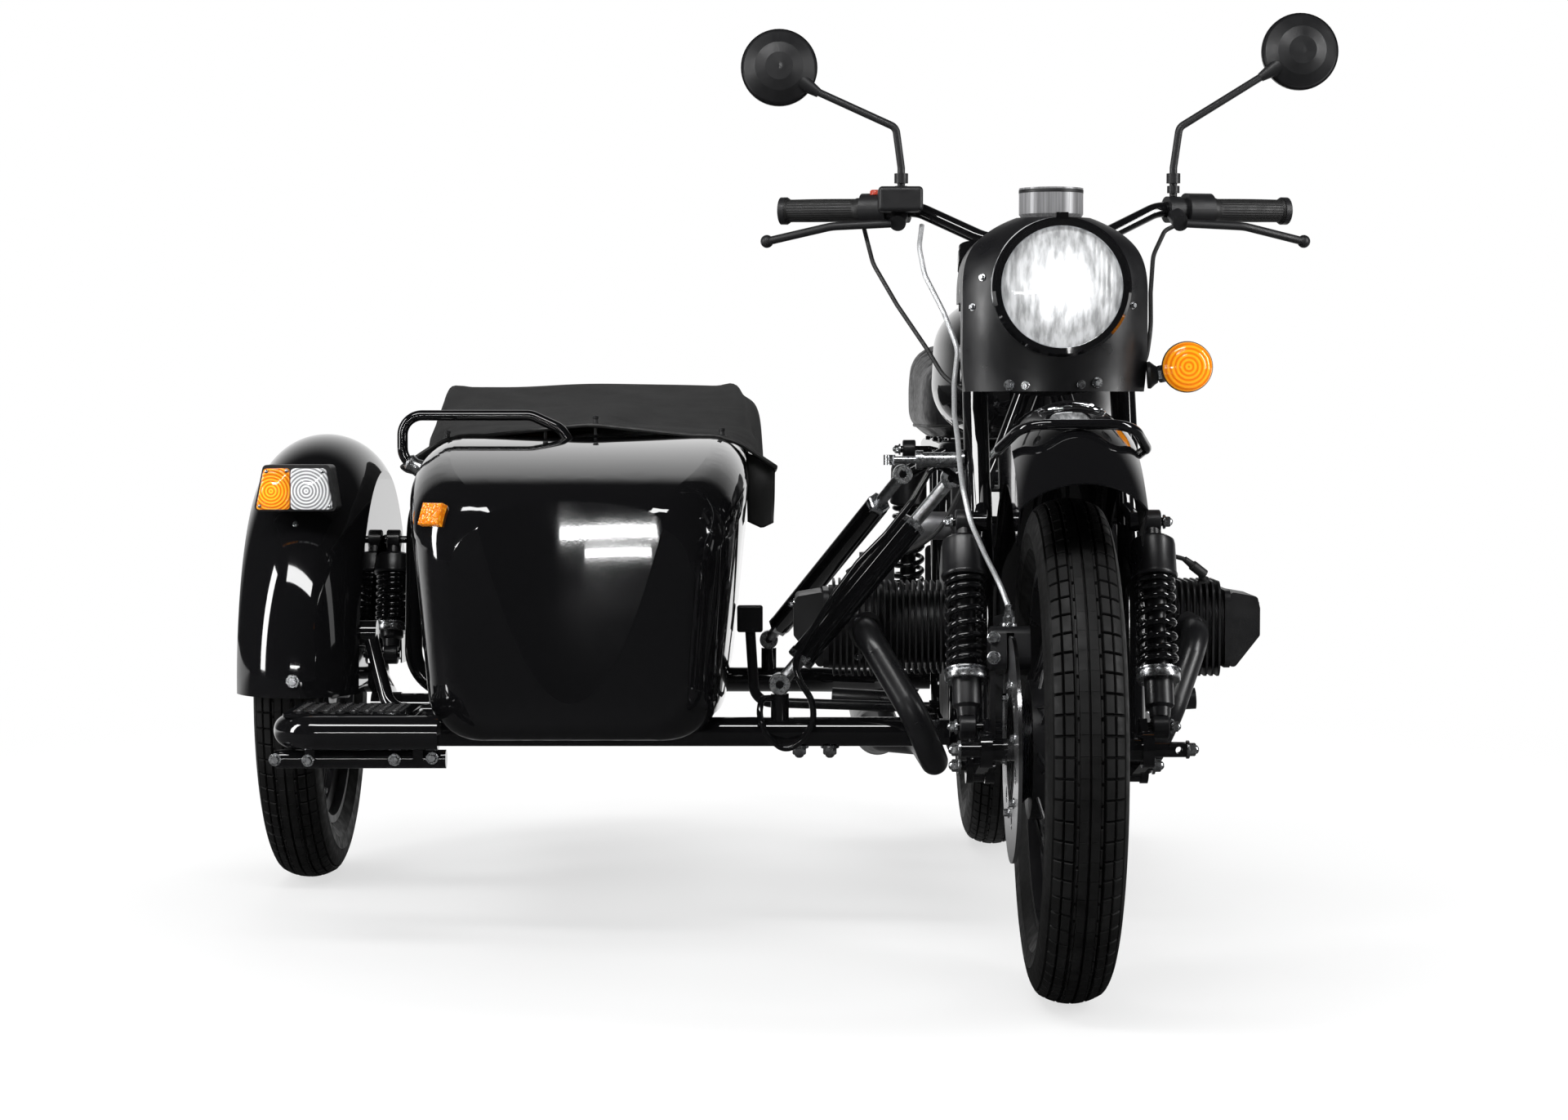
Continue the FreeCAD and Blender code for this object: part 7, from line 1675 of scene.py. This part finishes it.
# %% [markdown]
# The piping follows the cushion's lower edge. Rays from all round find that edge on the cushion's own skin, so that
# the piping lies on it wherever the cloth has moved it.

# %% Seat: piping
PIPING_STEPS = 96
seat_skin = BVHTree.FromPolygons(*parts_of(cushion.data))
start = Vector((seat_middle.x, seat_middle.y, seat_low.z + 0.020))
piping = []
for k in range(PIPING_STEPS):
    a = 2 * math.pi * k / PIPING_STEPS
    place = start + Vector((math.cos(a) * 0.16, math.sin(a) * 0.31, 0)) * 2
    centre = Vector((seat_middle.x, seat_middle.y + (place.y - seat_middle.y) * 0.35, place.z))
    hit = seat_skin.ray_cast(place + (place - centre), (centre - place).normalized())[0]
    if hit is not None:
        piping.append(hit)
piece_of("seat_piping", tube_parts(piping, 0.0032, 8, closed=True), soft_rubber, "chassis")
print("seat faces:", len(cushion.data.polygons), "piping places:", len(piping))

# %% [markdown]
# Two struts hold the sidecar to the machine. Their ends are plated: a threaded rod with its eye, and a lock nut
# against the tube. A thread is drawn by rings of relief rather than by faces. The rods are turned about each strut's
# own line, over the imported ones, and their nuts are six-sided.

# %% Strut ends
threaded = surface("threaded_zinc", (0.60, 0.61, 0.63), 0.28, 1.0)
two_tones(threaded, noise(threaded, 150, 4), (0.46, 0.47, 0.48), (0.68, 0.69, 0.70))
for axis in ("X", "Z"):
    thread = threaded.node_tree.nodes.new("ShaderNodeTexWave")
    thread.bands_direction = axis
    thread.inputs["Scale"].default_value = 190
    threaded.node_tree.links.new(place_node(threaded), thread.inputs["Vector"])
    relief(threaded, thread.outputs["Fac"], 0.25, 0.6)
STRUT_ENDS = (((-372.0, 452.0, 372.0), (-124.0, 490.0, 667.0)),
              ((-392.0, 1330.0, 372.0), (-177.0, 960.0, 663.0)))
ROD_RADIUS = 9.5
for number, (low, top) in enumerate(STRUT_ENDS):
    span = math.dist(low, top)
    rods = [turned_mm([(start, 0), (start, ROD_RADIUS), (end, ROD_RADIUS), (end, 0)], low, top, 24)
            for start, end in ((6, 46), (span - 88, span - 6))]
    piece_of("strut_rods_" + str(number), joined(*rods), threaded, "chassis")
    nuts = [turned_mm([(42, 9), (42, 17.5), (44, 20.2), (55, 20.2), (57, 17.5), (57, 9)], low, top, 6),
            turned_mm([(span - 98, 9), (span - 98, 17), (span - 96, 19.4), (span - 84, 19.4), (span - 82, 17),
                       (span - 82, 9)], low, top, 6)]
    eyes = [turned_mm([(0, 6), (0, 14.5), (1.5, 15.6), (27.5, 15.6), (29, 14.5), (29, 6)],
                      (x, y - 14.5, z), (x, y + 14.5, z), 28) for x, y, z in (low, top)]
    piece_of("strut_nuts_" + str(number), joined(*nuts, *eyes), zinc, "chassis", smooth=25)
print("strut lengths", [round(math.dist(low, top)) for low, top in STRUT_ENDS])

# %% [markdown]
# The step beside the nose has a pressed plate: rows of round holes whose edges are drawn up, so that a wet shoe
# grips. One cell is a square with a raised, pierced ring, and the plate is a grid of cells.

# %% Step plate
CELL, HOLE_SIDES = 19.0, 16
STEP_LEFT, STEP_RIGHT, STEP_FRONT, STEP_BACK = -1050.0, -890.0, 300.0, 424.0


def pierced_cell(x, y, z):
    """A square of sheet with a hole whose edge stands up."""
    turns = [2 * math.pi * k / HOLE_SIDES + math.pi / HOLE_SIDES for k in range(HOLE_SIDES)]
    square = []
    for a in turns:
        grow = CELL / 2 / max(abs(math.cos(a)), abs(math.sin(a)))
        square.append((grow * math.cos(a), grow * math.sin(a), 0.0))
    rings = [square] + [[(r * math.cos(a), r * math.sin(a), up) for a in turns]
                        for r, up in ((6.6, 0.0), (5.6, 1.6), (5.0, 2.4), (4.3, 2.4), (4.0, 1.2))]
    return [at(x + a, y + b, z + c) for ring in rings for a, b, c in ring], ring_faces(len(rings), HOLE_SIDES)


step_z = dropped((-960, 360, 500), (0, 0, -1), "bumper").z * 1000 + 0.4
cells = []
across = int((STEP_RIGHT - STEP_LEFT) / CELL)
deep = int((STEP_BACK - STEP_FRONT) / CELL)
for i in range(across):
    for j in range(deep):
        cells.append(pierced_cell(STEP_LEFT + CELL * (i + 0.5), STEP_FRONT + CELL * (j + 0.5), step_z))
piece_of("step_plate", joined(*cells), satin, "chassis", smooth=50)
print("step plate:", across, "by", deep, "holes at z", round(step_z))

# %% [markdown]
# Each spark plug has its lead: a cap at an angle on the cylinder head and a rubber cable that runs inward and up
# under the tank. The right one mirrors the left.

# %% Plug leads
PLUG = (260.0, 572.0, 496.0)
LEAD = ((243.0, 548.0, 530.0), (222.0, 540.0, 546.0), (196.0, 542.0, 553.0), (160.0, 552.0, 560.0),
        (118.0, 566.0, 590.0), (84.0, 574.0, 650.0), (52.0, 580.0, 712.0), (44.0, 582.0, 736.0))
ENGINE_MIDDLE = -10.0


def on_side(side, place):
    """A place on the engine's left, or its mirror image on the right if side is -1."""
    return (ENGINE_MIDDLE + side * (place[0] - ENGINE_MIDDLE), place[1], place[2])


for side, label in ((1, "left"), (-1, "right")):
    lead = [on_side(side, place) for place in LEAD]
    path = smooth_through([at(*place) for place in lead], 7)
    cap = turned_mm([(-14, 0), (-14, 7.0), (6, 7.4), (16, 8.6), (26, 8.6), (28, 6.0), (34, 5.2), (36, 0)],
                    on_side(side, PLUG), lead[0], 20)
    elbow = turned_mm([(-10, 0), (-10, 7.6), (14, 7.6), (16, 5.6), (30, 4.4), (31, 0)], lead[0], lead[1], 20)
    piece_of("plug_cap_" + label, joined(cap, elbow), soft_rubber, "chassis")
    piece_of("plug_lead_" + label, tube_parts(path, 0.0034, 12), soft_rubber, "chassis")
print("plug leads", round(sum((b - a).length for a, b in zip(path, path[1:])), 2), "m long")

# %% [markdown]
# A sleeve of bare metal shows at each end of a hub, and each spoke ends in a nipple at the rim. The nipples are
# copies round the axle, on both sides of the rim's well.

# %% Hubs and nipples
NIPPLES, NIPPLE_FOOT, NIPPLE_HEAD = 18, 203, 216
for name, axle in WHEELS:
    x, y, z = axle
    sleeves = [turned_mm([(0, 30.6), (0, 33), (1.5, 34), (8.0, 34), (9.4, 36), (9.4, 30.6)],
                         (x - 59.6, y, z), (x - 50, y, z), 40),
               turned_mm([(0, 30.6), (0, 36), (6, 33.5), (24, 33.5), (26, 32), (26, 30.6)],
                         (x + 33, y, z), (x + 60, y, z), 40)]
    piece_of(name + "_hub_sleeves", joined(*sleeves), cast_metal, name + "_wheel")
    nipple = []
    for side, angle in ((-1, 0.0), (1, math.pi / NIPPLES)):
        out = (math.cos(angle), math.sin(angle))
        foot = (x + side * 9, y - out[0] * NIPPLE_FOOT, z + out[1] * NIPPLE_FOOT)
        head = (x + side * 7, y - out[0] * NIPPLE_HEAD, z + out[1] * NIPPLE_HEAD)
        nipple.append(turned_mm([(0, 0), (0, 3.0), (9, 3.3), (10, 4.2), (12.5, 4.2), (12.5, 0)], foot, head, 8))
    round_copies(name + "_nipples", joined(*nipple), NIPPLES, at(*axle), zinc, name + "_wheel")
print("nipples:", 2 * NIPPLES, "a wheel")

# %% [markdown]
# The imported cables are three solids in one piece: the brake hose and the two control cables. The hose is sheathed in
# bright braid and the others in black rubber, so a merged copy of the piece is taken apart along its loose ends. Each
# loose solid is found by walking from a corner along the edges that leave it. Corners are taken in the mesh's own
# order, so that every run finds the same.

# %% Hose and control cables
def loose_solids(name):
    """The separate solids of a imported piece, each as its places and faces."""
    work = bmesh.new()
    work.from_mesh(frame["nodes"][name].data)
    bmesh.ops.remove_doubles(work, verts=work.verts[:], dist=1e-6)
    left, found = dict.fromkeys(work.verts), []
    while left:
        front, order = [left.popitem()[0]], {}
        while front:
            corner = front.pop()
            order[corner] = len(order)
            for near in [edge.other_vert(corner) for edge in corner.link_edges]:
                if near in left:
                    del left[near]
                    front.append(near)
        faces = [tuple(order[v] for v in face.verts) for face in work.faces if face.verts[0] in order]
        found.append(([v.co.copy() for v in order], faces))
    work.free()
    return found


braid = surface("braided_sheath", (0.55, 0.56, 0.57), 0.34, 0.6)
two_tones(braid, grains(braid, 900), (0.34, 0.35, 0.36), (0.74, 0.75, 0.76), 0.1, 0.6)
relief(braid, grains(braid, 900), 0.25)
wander(braid, noise(braid, 200, 3), "Roughness", 0.28, 0.45)
lines = sorted(loose_solids("cables"), key=lambda solid: min(place.z for place in solid[0]))
piece_of("brake_hose", lines[0], braid, "steering", ["cables"])
piece_of("control_cables", joined(*lines[1:]), soft_rubber, "steering", ["cables"])
hose_foot = min(lines[0][0], key=lambda place: place.z)
banjo = lathe_parts([(0, 0.0001), (0, 0.0075), (0.010, 0.0078), (0.011, 0.0058), (0.019, 0.0055), (0.020, 0.0046),
                     (0.026, 0.0044)], hose_foot, hose_foot + Vector((0, 0, 0.03)), 6)
ring = lathe_parts([(0, 0.0001), (0, 0.0105), (0.0035, 0.0110), (0.007, 0.0105), (0.007, 0.0001)],
                   hose_foot - Vector((0, 0, 0.005)), hose_foot + Vector((0, 0, 0.01)), 24)
piece_of("hose_fitting", joined(banjo, ring), zinc, "steering")
print("solids in the cables:", len(lines))

# %% [markdown]
# The grab rail is held at the cowl's right corner by a bright clamp: a short sleeve round the tube with a lip each
# end.

# %% Rail clamp
RAIL_CORNER = ((-905.0, 728.0, 668.0), (-946.0, 728.0, 690.0))
clamp = turned_mm([(14, 8.2), (14, 11.5), (17, 14.0), (26, 12.0), (35, 14.5), (39, 11.5), (39, 8.2)], *RAIL_CORNER, 28)
piece_of("rail_clamp", clamp, zinc, "chassis")
print("clamp sleeve 25 mm long")

# %% [markdown]
# Plated bolts are the bright dots that make the front of the machine read as machinery. Those that the photograph
# shows are placed by where it shows them, and a ray finds the solid that each one holds. Those out of its sight are
# placed from the side they are turned in from.

# %% Bolts
SHROUD_BOLTS_SEEN = ((1236.0, 471.5, 9.5), (1255.5, 471.8, 7.5), (1324.0, 470.7, 7.5), (1343.5, 468.5, 9.5))
SHROUD_CLIPS_SEEN = ((1203.0, 340.0, 6.5), (1191.0, 376.0, 6.5), (1379.0, 342.0, 6.5), (1387.0, 374.0, 6.5))
CALLIPER_BOLTS_SEEN = ((1217.0, 781.0, 11.0), (1217.0, 805.0, 11.0))
CLAMP_BOLTS_X = (-344.0, -300.0)
forward = Vector((0, -1, 0))


def seen_bolts(name, spots, solid, body, form, way=None):
    """Bolts at places of the photograph on one solid."""
    places = []
    for column, row, size in spots:
        spot, normal = seen_at(column, row, solid)
        places.append((spot, way or normal, size))
    return set_bolts(name, form, places, zinc, body)


seen_bolts("shroud_bolts", SHROUD_BOLTS_SEEN, "lamp_shroud", "steering", hexagon_head())
seen_bolts("shroud_clips", SHROUD_CLIPS_SEEN, "lamp_shroud", "steering", hexagon_head())
seen_bolts("calliper_bolts", CALLIPER_BOLTS_SEEN, "brake_calliper", "steering", hexagon_head(), forward)
FRONT_PIVOTS = (("fork", 146.0, 616.0, 12.0), ("front_links", 38.0, 352.0, 12.0),
                ("front_links", 152.0, 288.0, 15.0), ("front_links", 0.0, 326.0, 15.0))
REAR_PIVOTS = (("swinging_arm", 1495.0, 326.0, 17.0), ("swinging_arm", 1389.0, 364.0, 12.0),
               ("main_frame", 1330.0, 698.0, 12.0), ("main_frame", 1040.0, 352.0, 16.0))
for name, pivots, start_x, body in (("front_pivot_nuts", FRONT_PIVOTS, 260, "steering"),
                                    ("rear_pivot_nuts", REAR_PIVOTS, 300, "chassis")):
    nuts = [(dropped((side * start_x, y, z), (-side, 0, 0), solid), Vector((side, 0, 0)), size)
            for side in (-1, 1) for solid, y, z, size in pivots]
    set_bolts(name, domed_nut(), nuts, zinc, body)
GUARD_BOLTS_SEEN = ((358.3, 834.0, 13.0), (362.0, 641.5, 6.0))
seen_bolts("side_guard_bolts", GUARD_BOLTS_SEEN, "sidecar_mudguard", "chassis", hexagon_head())
BUMPER_BOLTS_SEEN = ((327.0, 933.0, 11.0), (377.0, 931.0, 11.0), (483.0, 930.0, 11.0), (529.0, 928.0, 11.0))
seen_bolts("bumper_bolts", BUMPER_BOLTS_SEEN, "bumper", "chassis", hexagon_head(), forward)
clamp_bolts = [(dropped((x, 452, 100), (0, 0, 1), "sidecar_frame"), Vector((0, 0, -1)), 17.0)
               for x in CLAMP_BOLTS_X]
set_bolts("clamp_bolts", domed_nut(), clamp_bolts, zinc, "chassis")
axle_nut = dropped((-1400, 1100, 326), (1, 0, 0), "sidecar_arm")
set_bolts("side_axle_nut", domed_nut(), [(axle_nut, Vector((-1, 0, 0)), 20.0)], zinc, "chassis")
cover_bolts = []
for side in (-1, 1):
    for z in (-34.0, 34.0):
        spot = dropped((ENGINE_MIDDLE + side * 420, 608, 444 + z), (-side, 0, 0), "rocker_covers")
        cover_bolts.append((spot, Vector((side, 0, 0)), 9.0))
    for rise in (26.0, -26.0):
        spot = dropped((ENGINE_MIDDLE + side * 247, 400, 430 + rise), (0, 1, 0), "cylinders")
        cover_bolts.append((spot, forward, 9.0))
set_bolts("engine_bolts", domed_nut(), cover_bolts, zinc, "chassis")
DISC_BOLTS, DISC_BOLT_RADIUS = 6, 88.0
disc_bolts = []
for i in range(DISC_BOLTS):
    a = math.radians(360 / DISC_BOLTS * i - 15)
    place = (-200, DISC_BOLT_RADIUS * math.sin(a), WHEEL_RADIUS + DISC_BOLT_RADIUS * math.cos(a))
    disc_bolts.append((dropped(place, (1, 0, 0), "brake_disc"), Vector((-1, 0, 0)), 9.0))
set_bolts("disc_bolts", hexagon_head(), disc_bolts, zinc, "front_wheel")
print("bolts set:", len([o for o in scene.objects if "bolts" in o.name or "nuts" in o.name]), "pieces")
# %% [markdown]
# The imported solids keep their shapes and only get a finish. One table says which finish each solid wears, so the
# whole machine's colours can be read and changed in one place.

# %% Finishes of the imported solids
wears = {
    enamel: ["struts", "handlebar", "front_links", "sidecar_arm", "fork", "front_mudguard", "mudguard_hoop",
             "headlamp", "main_frame", "fuel_tank", "swinging_arm", "rear_mudguard", "sidecar_frame", "tub",
             "boot_lid", "grab_rail", "sidecar_mudguard", "bumper"],
    satin: ["lamp_shroud", "front_wheel", "rear_wheel", "side_wheel", "exhausts",
            "brake_calliper", "plate_bracket", "foot_controls"],
    casting: ["engine_case", "gearbox", "cylinders", "rocker_covers", "final_drive"],
    housing: ["gauge"],
    plastic: ["hand_controls", "mirrors", "air_box", "sidecar_lamps"],
    red_lens: ["tail_lamp"],
    tread_rubber: ["front_tyre", "rear_tyre", "side_tyre"],
    ground: ["brake_disc"],
    cast_metal: ["carburettors"],
    zinc: ["steering_damper"],
}
dressed = 0
for material, names in wears.items():
    for name in names:
        solid = frame["nodes"].get(name)
        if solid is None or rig.alive(solid) is False:
            continue
        for slot in solid.material_slots:
            slot.material = material
        if not solid.material_slots:
            solid.data.materials.append(material)
        dressed += 1
print("solids dressed:", dressed)
# %% [markdown]
# The last cell writes the box of the imported model and the box of the dressed one to a file.

# %% Finish
with open("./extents.json", "w") as file:
    json.dump({"cad": cad_box, "visual": [list(corner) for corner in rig.bounds()]}, file)
